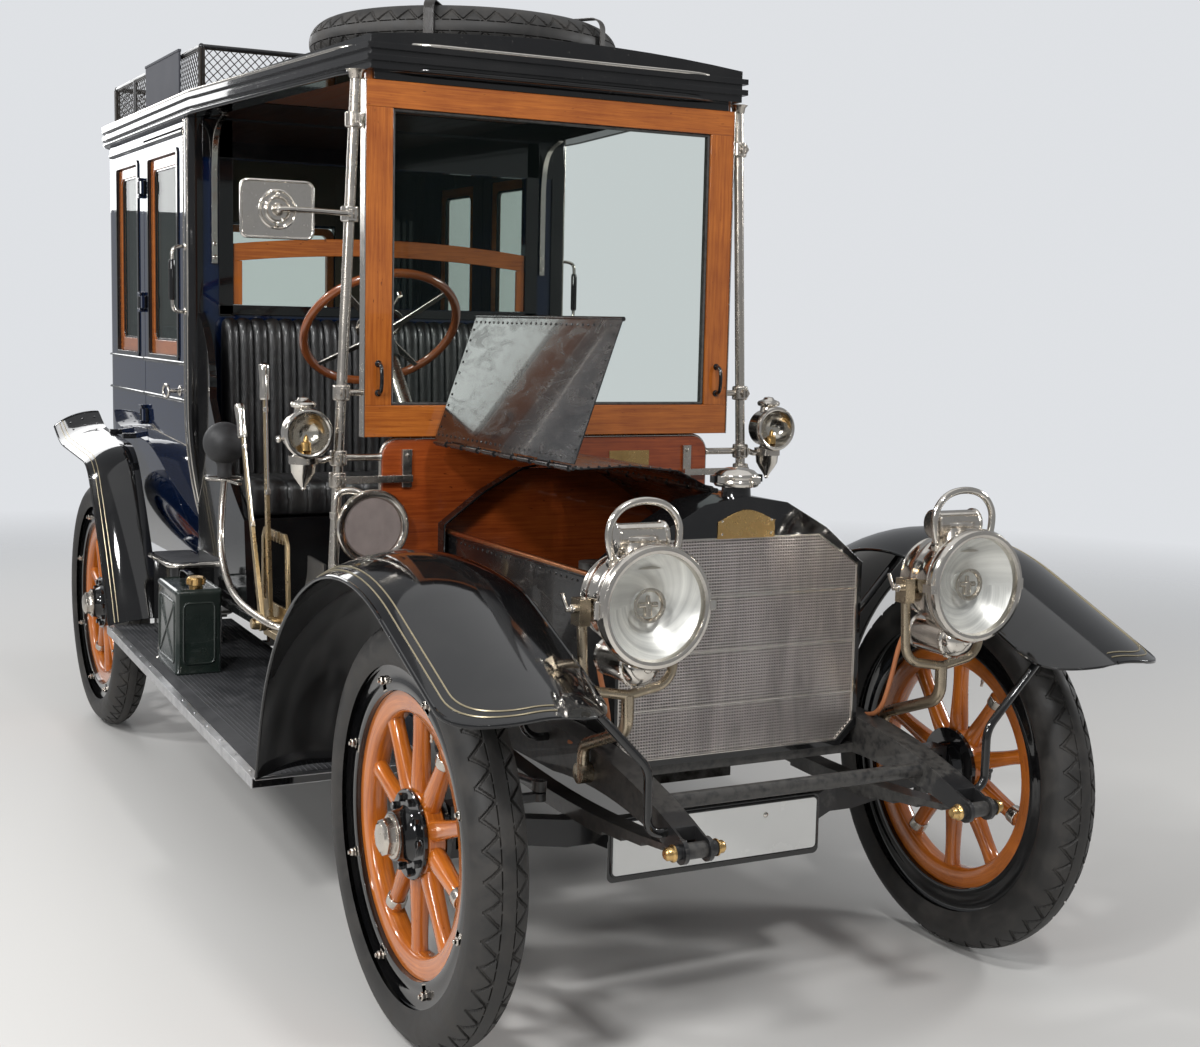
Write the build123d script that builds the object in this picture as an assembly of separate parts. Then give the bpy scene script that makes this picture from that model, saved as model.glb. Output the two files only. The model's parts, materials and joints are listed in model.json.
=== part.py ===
"""An Edwardian town car with an open driver's front, modelled as its separate pieces.

Millimetres. +X points forward, +Y to the car's left, +Z up. The origin is on the ground under the
middle of the car's overall box. Right-hand pieces are mirrored from left-hand ones.
"""
import os
from math import asin, atan2, cos, degrees, hypot, pi, radians, sin

from build123d import *

# Chassis and wheels
WHEELBASE = 3048
TRACK = 1394
FRONT_AXLE_X = 1471.5
TYRE_RADIUS = 440
TYRE_WIDTH = 120
TYRE_FLATS = 48
RIM_EDGE_RADIUS = 351
RIM_SEAT_RADIUS = 318
RIM_WIDTH = 70
FELLOE_OUTER_RADIUS = 294
FELLOE_DEPTH = 46
FELLOE_WIDTH = 46
SPOKES = 10
SPOKE_RADIUS = 17
NAVE_RADIUS = 88
NAVE_WIDTH = 40
HUB_BARREL_RADIUS = 47.7
HUB_FLANGE_RADIUS = 92
HUB_FLANGE_THICKNESS = 10
HUB_CAP_REACH = 93
HUB_CAP_RADIUS = 38
DRUM_RADIUS = 150
SEAT_GAP = 0.3
RUNNING_CLEARANCE = 0.05

# Frame rails
RAIL_Y = 340
RAIL_WIDTH = 56
RAIL_TOP = 620
RAIL_DEPTH = 100
RAIL_SHEET = 5
RAIL_REAR = -WHEELBASE - 412
DUMB_IRON_TIP = 490
SPRING_EYE_Z = 500
SPRING_EYE_RADIUS = 16
SPRING_PIN_RADIUS = 7
SPRING_WIDTH = 45
LEAF_THICKNESS = 7
LEAVES = 5
FRONT_SPRING_HALF = 490
REAR_SPRING_HALF = 400
REAR_SPRING_EYE_Z = 490
SPRING_PAD = 18

# Axles and steering
AXLE_HALF_THICKNESS = 22
AXLE_SEAT_Z = 434
KINGPIN_Y = 600
KINGPIN_RADIUS = 12
AXLE_EYE_RADIUS = 26
AXLE_EYE_LOW = 405
AXLE_EYE_HIGH = 475
YOKE_THICKNESS = 18
YOKE_GAP = 2
SPINDLE_RADIUS = 18
SPINDLE_END_Y = 752
TRACK_ARM = 150
TIE_ROD_Z = 363
TIE_ROD_RADIUS = 9
BALL_PIN_RADIUS = 8
EYE_RADIUS = 16
EYE_HEIGHT = 22
LINK_ARM_Y = 430
LINK_Z = 510
DROP_ARM_X = -640
DROP_SHAFT_Z = 565
DROP_ARM_LENGTH = 125
DROP_ARM_INNER_Y = -371
DROP_ARM_THICKNESS = 10
DROP_SHAFT_RADIUS = 12
REAR_TUBE_RADIUS = 38
REAR_SPINDLE_RADIUS = 25
DIFFERENTIAL_RADIUS = 150
SHAFT_HIGH = 510
SHAFT_LOW = 445
SHAFT_RADIUS = 30

# Engine and gearbox
ENGINE_REAR = -700
GEARBOX_FRONT = -1130
GEARBOX_REAR = -1560

# Steering column
COLUMN_Y = -250
COLUMN_FOOT = (-640, 600)
STEERING_WHEEL_AT = (-1460, 1455)
COLUMN_RADIUS = 20
STEERING_WHEEL_RADIUS = 235
STEERING_RIM_RADIUS = 13

# Radiator, bonnet and dash
RADIATOR_FRONT = 105
RADIATOR_BACK = -20
CORE_FACE = 99
CORE_BACK = 45
CORE_HALF_WIDTH = 302
CORE_BOTTOM = 566
CORE_TOP = 1036
CORE_CORNER = 44
CORE_CELLS_ACROSS = 14
CORE_CELLS_UP = 11
CORE_BAR = 9
CORE_CELL_DEPTH = 14
BONNET_FRONT = -25
BONNET_REAR = -795
BONNET_HALF_WIDTH = 320
BONNET_SHOULDER_Z = 968
BONNET_CREST_Z = 1124
BONNET_SIDE_LENGTH = 335
SHEET = 3
# Half of the bonnet's section from crest to shoulder as (y, z).
BONNET_SECTION = ((0, BONNET_CREST_Z), (104, 1108), (210, 1050), (BONNET_HALF_WIDTH, BONNET_SHOULDER_Z))
CREST_ROD_RADIUS = 5
SHOULDER_ROD_RADIUS = 4
HINGE_WALL = 3
HINGE_KNUCKLES = 4
HINGE_KNUCKLE_LENGTH = 60
TOP_LEAF_RAISED = 34.7
SIDE_LEAF_FOLDED = 164.8
DASH_FRONT = -845
DASH_THICKNESS = 20
DASH_HALF_WIDTH = 472
DASH_TOP = 1183
DASH_CORNER = 45

# Windscreen and posts
SCREEN_FRONT = -832
SCREEN_THICKNESS = 30
SCREEN_HALF_WIDTH = 524
SCREEN_BOTTOM = 1190
SCREEN_TOP = 2059
GLASS_HALF_WIDTH = 453.5
GLASS_BOTTOM = 1269
GLASS_TOP = 1994
GLASS_THICKNESS = 5
POST_X = -848
POST_FOOT_Y = 607
POST_HEAD_Y = 545
POST_RADIUS = 13
LAMP_ARM_Z = 1139

# Front compartment
FLOOR_HALF_WIDTH = 622
FLOOR_THICKNESS = 20
SEAT_BOX_FRONT = 1428 - WHEELBASE
SEAT_BOX_TOP = 900
CUSHION_TOP = 1012
BACKREST_TOP = 1478

# Cabin
CABIN_FRONT = 948 - WHEELBASE
CABIN_REAR = -WHEELBASE - 352
CABIN_CORNER = 190
CABIN_HALF_WIDTH = 637
CABIN_FOOT_HALF_WIDTH = 520
CABIN_BOTTOM = 640
CABIN_WAIST = 1200
CABIN_TOP = 2080
WALL = 32
CORNER_POST_X = CABIN_REAR + 200
DOOR_FRONT = CABIN_FRONT - 70
DOOR_REAR = 353 - WHEELBASE
DOOR_BOTTOM = 715
DOOR_TOP = 2050
DOOR_GAP = 5
DOOR_CUT_CENTRE = (DOOR_REAR - 95, 560)
DOOR_CUT_RADIUS = 500
WINDOW_BOTTOM = CABIN_WAIST + 150
WINDOW_TOP = 1985
DOOR_WINDOW = (DOOR_REAR + 70, DOOR_FRONT - 70)
QUARTER_WINDOW = (CORNER_POST_X + 90, DOOR_REAR - 95)
HINGE_PIN_Y = CABIN_HALF_WIDTH + 11
HINGE_HEIGHTS = (CABIN_WAIST - 80, (CABIN_WAIST + DOOR_TOP) / 2 - 125, DOOR_TOP - 170)
HANDLE_Z = CABIN_WAIST + 45

# Roof
ROOF_TOP = 2190
ROOF_FRONT = -800
ROOF_REAR = CABIN_REAR - 20
ROOF_FRONT_HALF_WIDTH = 525
ROOF_HALF_WIDTH = CABIN_HALF_WIDTH + 13
ROOF_RIM = 62
ROOF_CROWN_RADIUS = 4800
MOULDING_REACH = 12
RACK_HEIGHT = 105
SPARE_X = 1578 - WHEELBASE

# Wings and running boards
WING_THICKNESS = 4
FRONT_WING_INNER = 510
FRONT_WING_OUTER = 845
FRONT_WING_CROWN = 50
FRONT_WING_START = (530, 752)
FRONT_WING_HEADING = 157
FRONT_WING_RUNS = ((None, 420), (560, 43), (620, 54), (None, 128))
FRONT_WING_NOSE = 140
REAR_WING_INNER = CABIN_HALF_WIDTH + 18
REAR_WING_OUTER = 815
REAR_WING_RISE = 62
BOARD_FRONT = (-700, 391)
BOARD_REAR = (558 - WHEELBASE, 452)
BOARD_INNER = 400
BOARD_THICKNESS = 22

CAN_SIZE = (235, 140, 262)
CAN_AT = (1190 - WHEELBASE, -704)
TOOL_BOX_X = (DOOR_REAR + 300, DOOR_FRONT + 56)
TOOL_BOX_Y = (-690, -562)
STEP_THICKNESS = 14
STEP_CLEARANCE = 8

# Lamps
HEADLAMP_AT = (410, 387, 953)
HEADLAMP_RIM_RADIUS = 118
HEADLAMP_LENGTH = 190
LAMP_BOSS_Y = 95
PLATE_X = 86
PLATE_Y = (-300, 226)
PLATE_Z = (316, 438)
SIDE_LAMP_AT = (-803, 675, 1202)
SIDE_LAMP_RADIUS = 60

REAR_AXLE_X = FRONT_AXLE_X - WHEELBASE
WHEEL_Y = TRACK / 2
RAIL_BOTTOM = RAIL_TOP - RAIL_DEPTH
RAIL_OUTER = RAIL_Y + RAIL_WIDTH / 2
RAIL_INNER = RAIL_Y - RAIL_WIDTH / 2
FLOOR_TOP = RAIL_TOP + FLOOR_THICKNESS
YOKE_TOP = AXLE_EYE_HIGH + YOKE_GAP + YOKE_THICKNESS
YOKE_BOTTOM = AXLE_EYE_LOW - YOKE_GAP - YOKE_THICKNESS


def box(x, y, z):
    """A block between three (low, high) pairs."""
    size = Box(abs(x[1] - x[0]), abs(y[1] - y[0]), abs(z[1] - z[0]))
    return Pos((x[0] + x[1]) / 2, (y[0] + y[1]) / 2, (z[0] + z[1]) / 2) * size


def rod(start, end, radius):
    """A round bar between two points."""
    line = Vector(*end) - Vector(*start)
    bar = Cylinder(radius, line.length, align=(Align.CENTER, Align.CENTER, Align.MIN))
    return Plane(origin=start, z_dir=line) * bar


def bent_rod(points, radius, bends):
    """A round bar along straight runs joined by tangent arcs."""
    path = FilletPolyline(*points, radius=bends)
    start = Plane(origin=points[0], z_dir=Vector(*points[1]) - Vector(*points[0]))
    return sweep(start * Circle(radius), path=path)


def slab_xz(points, y):
    """A plate with an (x, z) outline between two y values."""
    face = make_face(Polyline(*[(px, y[0], pz) for px, pz in points], close=True))
    return extrude(face, amount=y[1] - y[0], dir=(0, 1, 0))


def slab_yz(points, x):
    """A plate with a (y, z) outline between two x values."""
    face = make_face(Polyline(*[(x[0], py, pz) for py, pz in points], close=True))
    return extrude(face, amount=x[1] - x[0], dir=(1, 0, 0))


def slab_xy(points, z):
    """A plate with an (x, y) outline between two z values."""
    face = make_face(Polyline(*[(px, py, z[0]) for px, py in points], close=True))
    return extrude(face, amount=z[1] - z[0], dir=(0, 0, 1))


def lathe(points):
    """An (offset, radius) outline turned about the Y axis."""
    face = make_face(Polyline(*[(0, offset, radius) for offset, radius in points], close=True))
    return revolve(face, Axis.Y)


def upright_lathe(points):
    """A (radius, height) outline turned about the Z axis."""
    face = make_face(Polyline(*[(radius, 0, height) for radius, height in points], close=True))
    return revolve(face, Axis.Z)


def forward_lathe(points):
    """A (station, radius) outline turned about the X axis."""
    face = make_face(Polyline(*[(station, 0, radius) for station, radius in points], close=True))
    return revolve(face, Axis.X)


def mirrored(shape):
    return mirror(shape, about=Plane.XZ)


def symmetric(outline):
    """Completes a half outline of (y, z) points that runs from the centre line outwards."""
    return list(outline) + [(-py, pz) for py, pz in reversed(outline) if py]


def from_axle(shape):
    """Moves a shape drawn about the front axle to its place in the car's frame."""
    return Pos(FRONT_AXLE_X, 0, 0) * shape


def export(name, *shapes):
    """Writes one node from its solids, moved from the front axle to the car's frame."""
    solids = [solid for shape in shapes for solid in from_axle(shape).solids()]
    os.makedirs("parts", exist_ok=True)
    export_step(solids[0] if len(solids) == 1 else Compound(children=solids), f"parts/{name}.step")


# Everything below is drawn with x counted from the front axle; export() moves it.

def tyre():
    """A tyre about the Y axis: a ring of flats with a round casing on a straight-sided bead."""
    casing = TYRE_WIDTH / 2
    centre = TYRE_RADIUS - casing
    bead = RIM_WIDTH / 2 - 7
    step = 2 * pi / TYRE_FLATS
    stretch = 1 / cos(step / 2)
    seat = (RIM_SEAT_RADIUS + SEAT_GAP) * stretch
    edge = (RIM_EDGE_RADIUS + 1) * stretch
    outline = [(-bead, seat), (bead, seat), (bead, edge)]
    for angle in (-22, 0, 30, 60, 90, 120, 150, 180, 202):
        outline.append((casing * cos(radians(angle)), centre + casing * sin(radians(angle))))
    outline.append((-bead, edge))

    def corner(index, flat):
        offset, radius = outline[index % len(outline)]
        turn = (flat % TYRE_FLATS) * step
        return (radius * sin(turn), offset, radius * cos(turn))

    faces = []
    for flat in range(TYRE_FLATS):
        for index in range(len(outline)):
            corners = (corner(index, flat), corner(index + 1, flat), corner(index + 1, flat + 1),
                       corner(index, flat + 1))
            faces.append(make_face(Polyline(*corners, close=True)))
    return Solid(Shell(faces))


def wood_wheel():
    """Nave, spokes and felloe of an artillery wheel, joined as the fitted wood is."""
    felloe_inner = FELLOE_OUTER_RADIUS - FELLOE_DEPTH
    half = FELLOE_WIDTH / 2
    chamfer = 8
    wheel = lathe([(-half, felloe_inner + chamfer), (-half + chamfer, felloe_inner),
                   (half - chamfer, felloe_inner),
                   (half, felloe_inner + chamfer), (half, FELLOE_OUTER_RADIUS), (-half, FELLOE_OUTER_RADIUS)])
    nave_half = NAVE_WIDTH / 2
    nave_bore = HUB_BARREL_RADIUS + SEAT_GAP
    wheel += lathe([(-nave_half, nave_bore), (nave_half, nave_bore), (nave_half, NAVE_RADIUS),
                    (-nave_half, NAVE_RADIUS)])
    start = NAVE_RADIUS - 14
    length = felloe_inner + 6 - start
    for index in range(SPOKES):
        spoke = Cone(SPOKE_RADIUS + 2, SPOKE_RADIUS - 3, length,
                     align=(Align.CENTER, Align.CENTER, Align.MIN))
        wheel += Rot(0, index * 360 / SPOKES, 0) * Pos(0, 0, start) * spoke
    return wheel


def rim():
    """The steel channel that carries the tyre."""
    half = RIM_WIDTH / 2
    wall = 6
    inner = FELLOE_OUTER_RADIUS + SEAT_GAP
    return lathe([(-half, inner), (half, inner), (half, RIM_EDGE_RADIUS), (half - wall, RIM_EDGE_RADIUS),
                  (half - wall, RIM_SEAT_RADIUS), (-half + wall, RIM_SEAT_RADIUS),
                  (-half + wall, RIM_EDGE_RADIUS),
                  (-half, RIM_EDGE_RADIUS)])


def hub(bore, drum):
    """The flanged steel hub with its cap, and a brake drum on its inner end at the rear."""
    nave = NAVE_WIDTH / 2
    flange = nave + HUB_FLANGE_THICKNESS
    outer = [(62, bore), (62, 0), (HUB_CAP_REACH, 0), (HUB_CAP_REACH, HUB_CAP_RADIUS - 5),
             (36, HUB_CAP_RADIUS),
             (36, 46), (flange, 46), (flange, HUB_FLANGE_RADIUS), (nave, HUB_FLANGE_RADIUS),
             (nave, HUB_BARREL_RADIUS),
             (-nave, HUB_BARREL_RADIUS), (-nave, HUB_FLANGE_RADIUS), (-flange, HUB_FLANGE_RADIUS)]
    if drum:
        inner = [(-flange, 60), (-36, 60), (-36, DRUM_RADIUS), (-80, DRUM_RADIUS), (-80, DRUM_RADIUS - 8),
                 (-44, DRUM_RADIUS - 8), (-44, 46), (-80, 42), (-80, bore)]
    else:
        inner = [(-flange, 46), (-52, 42), (-52, bore)]
    return lathe(outer + inner)


def at_wheel(shape, x, side):
    placed = Pos(x, WHEEL_Y, TYRE_RADIUS) * shape
    return placed if side > 0 else mirrored(placed)


def frame_rail():
    """The left rail: pressed channel open inwards, with its dumb iron forged to a fork."""
    tip = (DUMB_IRON_TIP, SPRING_EYE_Z)
    shoulder = -60
    edges = [
        Line((RAIL_REAR, RAIL_INNER, RAIL_TOP), (shoulder, RAIL_INNER, RAIL_TOP)),
        ThreePointArc((shoulder, RAIL_INNER, RAIL_TOP), (240, RAIL_INNER, 594),
                      (tip[0], RAIL_INNER, tip[1] + 22)),
        Line((tip[0], RAIL_INNER, tip[1] + 22), (tip[0], RAIL_INNER, tip[1] - 22)),
        ThreePointArc((tip[0], RAIL_INNER, tip[1] - 22), (240, RAIL_INNER, 525),
                      (shoulder, RAIL_INNER, RAIL_BOTTOM)),
        Line((shoulder, RAIL_INNER, RAIL_BOTTOM), (RAIL_REAR, RAIL_INNER, RAIL_BOTTOM)),
        Line((RAIL_REAR, RAIL_INNER, RAIL_BOTTOM), (RAIL_REAR, RAIL_INNER, RAIL_TOP)),
    ]
    rail = extrude(make_face(edges), amount=RAIL_WIDTH, dir=(0, 1, 0))
    pocket = box((RAIL_REAR - 1, -80), (RAIL_INNER - 1, RAIL_OUTER - RAIL_SHEET),
                 (RAIL_BOTTOM + RAIL_SHEET, RAIL_TOP - RAIL_SHEET))
    rail -= pocket
    cheek = 9
    slot = SPRING_WIDTH / 2 + 0.5
    rail += rod((tip[0], RAIL_Y - slot - cheek, tip[1]), (tip[0], RAIL_Y + slot + cheek, tip[1]), 24)
    rail -= box((tip[0] - 36, tip[0] + 40), (RAIL_Y - slot, RAIL_Y + slot), (tip[1] - 60, tip[1] + 60))
    rail -= box((tip[0] - 150, tip[0] - 35), (RAIL_Y - slot, RAIL_Y + slot), (tip[1] - 60, tip[1] + 8))
    cap_reach = slot + cheek + 14
    rail += rod((tip[0], RAIL_Y - cap_reach, tip[1]), (tip[0], RAIL_Y + cap_reach, tip[1]), SPRING_PIN_RADIUS)
    for sign in (-1, 1):
        face = RAIL_Y + sign * (slot + cheek)
        rail += rod((tip[0], face, tip[1]), (tip[0], face + sign * 14, tip[1]), 15)
    hangers = ((-FRONT_SPRING_HALF, SPRING_EYE_Z), (-WHEELBASE + REAR_SPRING_HALF, REAR_SPRING_EYE_Z),
               (-WHEELBASE - REAR_SPRING_HALF, REAR_SPRING_EYE_Z))
    for hanger_x, hanger_z in hangers:
        for sign in (-1, 1):
            inner = RAIL_Y + sign * slot
            outer = RAIL_Y + sign * (slot + cheek)
            rail += slab_xz([(hanger_x - 15, hanger_z - 16), (hanger_x + 15, hanger_z - 16),
                             (hanger_x + 20, RAIL_BOTTOM), (hanger_x - 12, RAIL_BOTTOM)],
                            (min(inner, outer), max(inner, outer)))
        rail += rod((hanger_x, RAIL_Y - slot - cheek, hanger_z), (hanger_x, RAIL_Y + slot + cheek, hanger_z),
                    SPRING_PIN_RADIUS)
    return rail


def cross_members():
    """Channel members between the rails, cut for the shafts, then the radiator's bearer and front tie."""
    reach = RAIL_OUTER - RAIL_SHEET - SEAT_GAP
    low = RAIL_BOTTOM + RAIL_SHEET + SEAT_GAP
    high = RAIL_TOP - RAIL_SHEET - SEAT_GAP
    clutch_room = rod((GEARBOX_FRONT, 0, 540), (ENGINE_REAR - 65, 0, 540), 41)
    shaft_end = (-WHEELBASE + DIFFERENTIAL_RADIUS, 0, SHAFT_LOW)
    shaft_room = rod((GEARBOX_REAR, 0, SHAFT_HIGH), shaft_end, SHAFT_RADIUS + 10)
    members = []
    for member_x in (-1060, CABIN_FRONT + 200, DOOR_REAR + 135, RAIL_REAR + 50):
        member = box((member_x - 25, member_x + 25), (-reach, reach), (low, high))
        member -= box((member_x - 20, member_x + 26), (-RAIL_INNER + 30, RAIL_INNER - 30),
                      (low - 1, RAIL_TOP - 12))
        members.append(member - clutch_room - shaft_room)
    edge = RAIL_INNER - SEAT_GAP
    members.append(box((-45, 95), (-edge, edge), (532, CORE_BOTTOM - 14)))
    members.append(rod((330, -edge, 548), (330, edge, 548), 16))
    return members


def frame():
    """Both rails, the right one bored for the drop arm's shaft, and the members between them."""
    left = frame_rail()
    shaft = (DROP_ARM_X, -RAIL_OUTER - 1, DROP_SHAFT_Z)
    right = mirrored(left) - rod(shaft, (DROP_ARM_X, -RAIL_INNER + 1, DROP_SHAFT_Z), DROP_SHAFT_RADIUS + 2)
    return [left, right, *cross_members()]


def leaf_spring(centre_x, half_length, seat_z, eye_z):
    """A half-elliptic spring: a stack of shortening leaves under a main leaf with rolled eyes."""
    low = RAIL_Y - SPRING_WIDTH / 2
    main_z = seat_z + (LEAVES - 0.5) * LEAF_THICKNESS
    rise = eye_z - main_z
    radius = (half_length ** 2 + rise ** 2) / (2 * rise)
    middle = main_z + radius
    pack = None
    for index in range(LEAVES):
        reach = half_length * (1 - 0.17 * index)
        outer = radius + (index + 0.5) * LEAF_THICKNESS
        inner = outer - LEAF_THICKNESS
        half_angle = asin(reach / radius)
        ends = (-half_angle, 0, half_angle)
        under = [(centre_x + outer * sin(angle), low, middle - outer * cos(angle)) for angle in ends]
        over = [(centre_x + inner * sin(angle), low, middle - inner * cos(angle)) for angle in ends]
        edges = [ThreePointArc(*under), Line(under[2], over[2]), ThreePointArc(*over),
                 Line(over[0], under[0])]
        leaf = extrude(make_face(edges), amount=SPRING_WIDTH, dir=(0, 1, 0))
        pack = leaf if pack is None else pack + leaf
    for sign in (-1, 1):
        eye_x = centre_x + sign * half_length
        pack += rod((eye_x, low, eye_z), (eye_x, low + SPRING_WIDTH, eye_z), SPRING_EYE_RADIUS)
        pack -= rod((eye_x, low - 1, eye_z), (eye_x, low + SPRING_WIDTH + 1, eye_z),
                    SPRING_PIN_RADIUS + RUNNING_CLEARANCE)
    return pack


def front_axle():
    """A dropped I-section beam with an upright eye at each end for the kingpin."""
    pad = RAIL_Y - 32
    outer_pad = RAIL_Y + 32
    top = [(0, 415), (pad - 40, 415), (pad, AXLE_SEAT_Z), (outer_pad, AXLE_SEAT_Z), (KINGPIN_Y, 468)]
    bottom = [(KINGPIN_Y, 412), (outer_pad, 374), (pad, 374), (pad - 40, 355), (0, 355)]
    half = slab_yz(top + bottom, (-AXLE_HALF_THICKNESS, AXLE_HALF_THICKNESS))
    beam = half + mirrored(half)
    for sign in (-1, 1):
        web = [(-pad + 46, 367), (pad - 46, 367), (pad - 46, 403), (-pad + 46, 403)]
        face = sign * AXLE_HALF_THICKNESS
        beam -= slab_yz(web, (min(face, face - sign * 14), max(face, face - sign * 14)))
        eye_y = sign * KINGPIN_Y
        beam += rod((0, eye_y, AXLE_EYE_LOW), (0, eye_y, AXLE_EYE_HIGH), AXLE_EYE_RADIUS)
    for sign in (-1, 1):
        eye_y = sign * KINGPIN_Y
        beam -= rod((0, eye_y, AXLE_EYE_LOW - 1), (0, eye_y, AXLE_EYE_HIGH + 1),
                    KINGPIN_RADIUS + RUNNING_CLEARANCE)
    return beam


def knuckle(link_arm):
    """The left steering knuckle: yoke, kingpin, spindle and track arm, with the link arm if it has one."""
    web = (KINGPIN_Y + 30, KINGPIN_Y + 42)
    body = box((-26, 26), web, (YOKE_BOTTOM, YOKE_TOP))
    for low in (YOKE_BOTTOM, YOKE_TOP - YOKE_THICKNESS):
        body += rod((0, KINGPIN_Y, low), (0, KINGPIN_Y, low + YOKE_THICKNESS), AXLE_EYE_RADIUS)
        body += box((-AXLE_EYE_RADIUS, AXLE_EYE_RADIUS), (KINGPIN_Y, web[0] + 1), (low, low + YOKE_THICKNESS))
    body += rod((0, KINGPIN_Y, YOKE_BOTTOM), (0, KINGPIN_Y, YOKE_TOP), KINGPIN_RADIUS)
    body += rod((0, web[1] - 4, TYRE_RADIUS), (0, web[1] + 2, TYRE_RADIUS), SPINDLE_RADIUS + 6)
    body += rod((0, web[1] - 4, TYRE_RADIUS), (0, SPINDLE_END_Y, TYRE_RADIUS), SPINDLE_RADIUS)
    arm_top = YOKE_BOTTOM + YOKE_THICKNESS
    body += box((-TRACK_ARM, 0), (KINGPIN_Y - 9, KINGPIN_Y + 9), (YOKE_BOTTOM, arm_top))
    body += rod((-TRACK_ARM, KINGPIN_Y, YOKE_BOTTOM), (-TRACK_ARM, KINGPIN_Y, arm_top), 15)
    pin_end = TIE_ROD_Z - EYE_HEIGHT / 2 - 6
    body += rod((-TRACK_ARM, KINGPIN_Y, arm_top), (-TRACK_ARM, KINGPIN_Y, pin_end), BALL_PIN_RADIUS)
    if link_arm:
        body += box((-9, 9), (LINK_ARM_Y, KINGPIN_Y), (YOKE_TOP - YOKE_THICKNESS, YOKE_TOP))
        body += rod((0, LINK_ARM_Y, YOKE_TOP - YOKE_THICKNESS), (0, LINK_ARM_Y, YOKE_TOP), 15)
        body += rod((0, LINK_ARM_Y, YOKE_TOP), (0, LINK_ARM_Y, LINK_Z + EYE_HEIGHT / 2 + 4), BALL_PIN_RADIUS)
    return body


def rod_eye(x, y, z, bore):
    eye = rod((x, y, z - EYE_HEIGHT / 2), (x, y, z + EYE_HEIGHT / 2), EYE_RADIUS)
    return eye - rod((x, y, z - EYE_HEIGHT), (x, y, z + EYE_HEIGHT), bore)


def tie_rod():
    """The rod behind the axle that joins the two track arms."""
    reach = KINGPIN_Y - EYE_RADIUS + 4
    bar = rod((-TRACK_ARM, -reach, TIE_ROD_Z), (-TRACK_ARM, reach, TIE_ROD_Z), TIE_ROD_RADIUS)
    bar += rod_eye(-TRACK_ARM, KINGPIN_Y, TIE_ROD_Z, BALL_PIN_RADIUS + RUNNING_CLEARANCE)
    bar += rod_eye(-TRACK_ARM, -KINGPIN_Y, TIE_ROD_Z, BALL_PIN_RADIUS + 0.6)
    return bar


def drag_link():
    """The rod from the steering drop arm to the right knuckle's link arm."""
    arm_foot = DROP_SHAFT_Z - DROP_ARM_LENGTH
    arm_face = DROP_ARM_INNER_Y - DROP_ARM_THICKNESS
    start = (-EYE_RADIUS + 4, -LINK_ARM_Y, LINK_Z)
    end = (DROP_ARM_X, arm_face - 13, arm_foot)
    bar = rod(start, end, 10)
    bar += rod((DROP_ARM_X, arm_face - 1, arm_foot), (DROP_ARM_X, arm_face - 20, arm_foot), 15)
    bar += rod_eye(0, -LINK_ARM_Y, LINK_Z, BALL_PIN_RADIUS + RUNNING_CLEARANCE)
    bar -= rod((0, -LINK_ARM_Y, LINK_Z - 40), (0, -LINK_ARM_Y, LINK_Z + 40),
               BALL_PIN_RADIUS + RUNNING_CLEARANCE)
    return bar


def drop_arm():
    """The lever outside the right rail, on the steering box's cross shaft."""
    outer = DROP_ARM_INNER_Y - DROP_ARM_THICKNESS
    foot = DROP_SHAFT_Z - DROP_ARM_LENGTH
    arm = slab_xz([(DROP_ARM_X - 20, DROP_SHAFT_Z), (DROP_ARM_X + 20, DROP_SHAFT_Z), (DROP_ARM_X + 13, foot),
                   (DROP_ARM_X - 13, foot)], (outer, DROP_ARM_INNER_Y))
    arm += rod((DROP_ARM_X, outer, DROP_SHAFT_Z), (DROP_ARM_X, DROP_ARM_INNER_Y, DROP_SHAFT_Z), 20)
    arm += rod((DROP_ARM_X, outer, foot), (DROP_ARM_X, DROP_ARM_INNER_Y, foot), 13)
    arm += rod((DROP_ARM_X, DROP_ARM_INNER_Y, DROP_SHAFT_Z), (DROP_ARM_X, -RAIL_INNER + 55, DROP_SHAFT_Z),
               DROP_SHAFT_RADIUS)
    return arm


def rear_axle():
    """Tapered axle tubes with a round differential housing and drum back plates."""
    end = WHEEL_Y - 84
    spindle_end = SPINDLE_END_Y
    outline = [(-spindle_end, 0), (spindle_end, 0), (spindle_end, REAR_SPINDLE_RADIUS),
               (end, REAR_SPINDLE_RADIUS),
               (end, 60), (end - 10, 60), (end - 10, REAR_TUBE_RADIUS), (220, REAR_TUBE_RADIUS),
               (120, REAR_TUBE_RADIUS + 14),
               (75, 110), (30, DIFFERENTIAL_RADIUS), (-30, DIFFERENTIAL_RADIUS), (-75, 110),
               (-120, REAR_TUBE_RADIUS + 14), (-220, REAR_TUBE_RADIUS), (-end + 10, REAR_TUBE_RADIUS),
               (-end + 10, 60), (-end, 60),
               (-end, REAR_SPINDLE_RADIUS), (-spindle_end, REAR_SPINDLE_RADIUS)]
    axle = lathe(outline)
    for sign in (-1, 1):
        low, high = sorted((sign * (RAIL_Y - 30), sign * (RAIL_Y + 30)))
        axle += box((-SPRING_PAD, SPRING_PAD), (low, high), (-REAR_TUBE_RADIUS, 0))
    return Pos(-WHEELBASE, 0, TYRE_RADIUS) * axle


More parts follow.
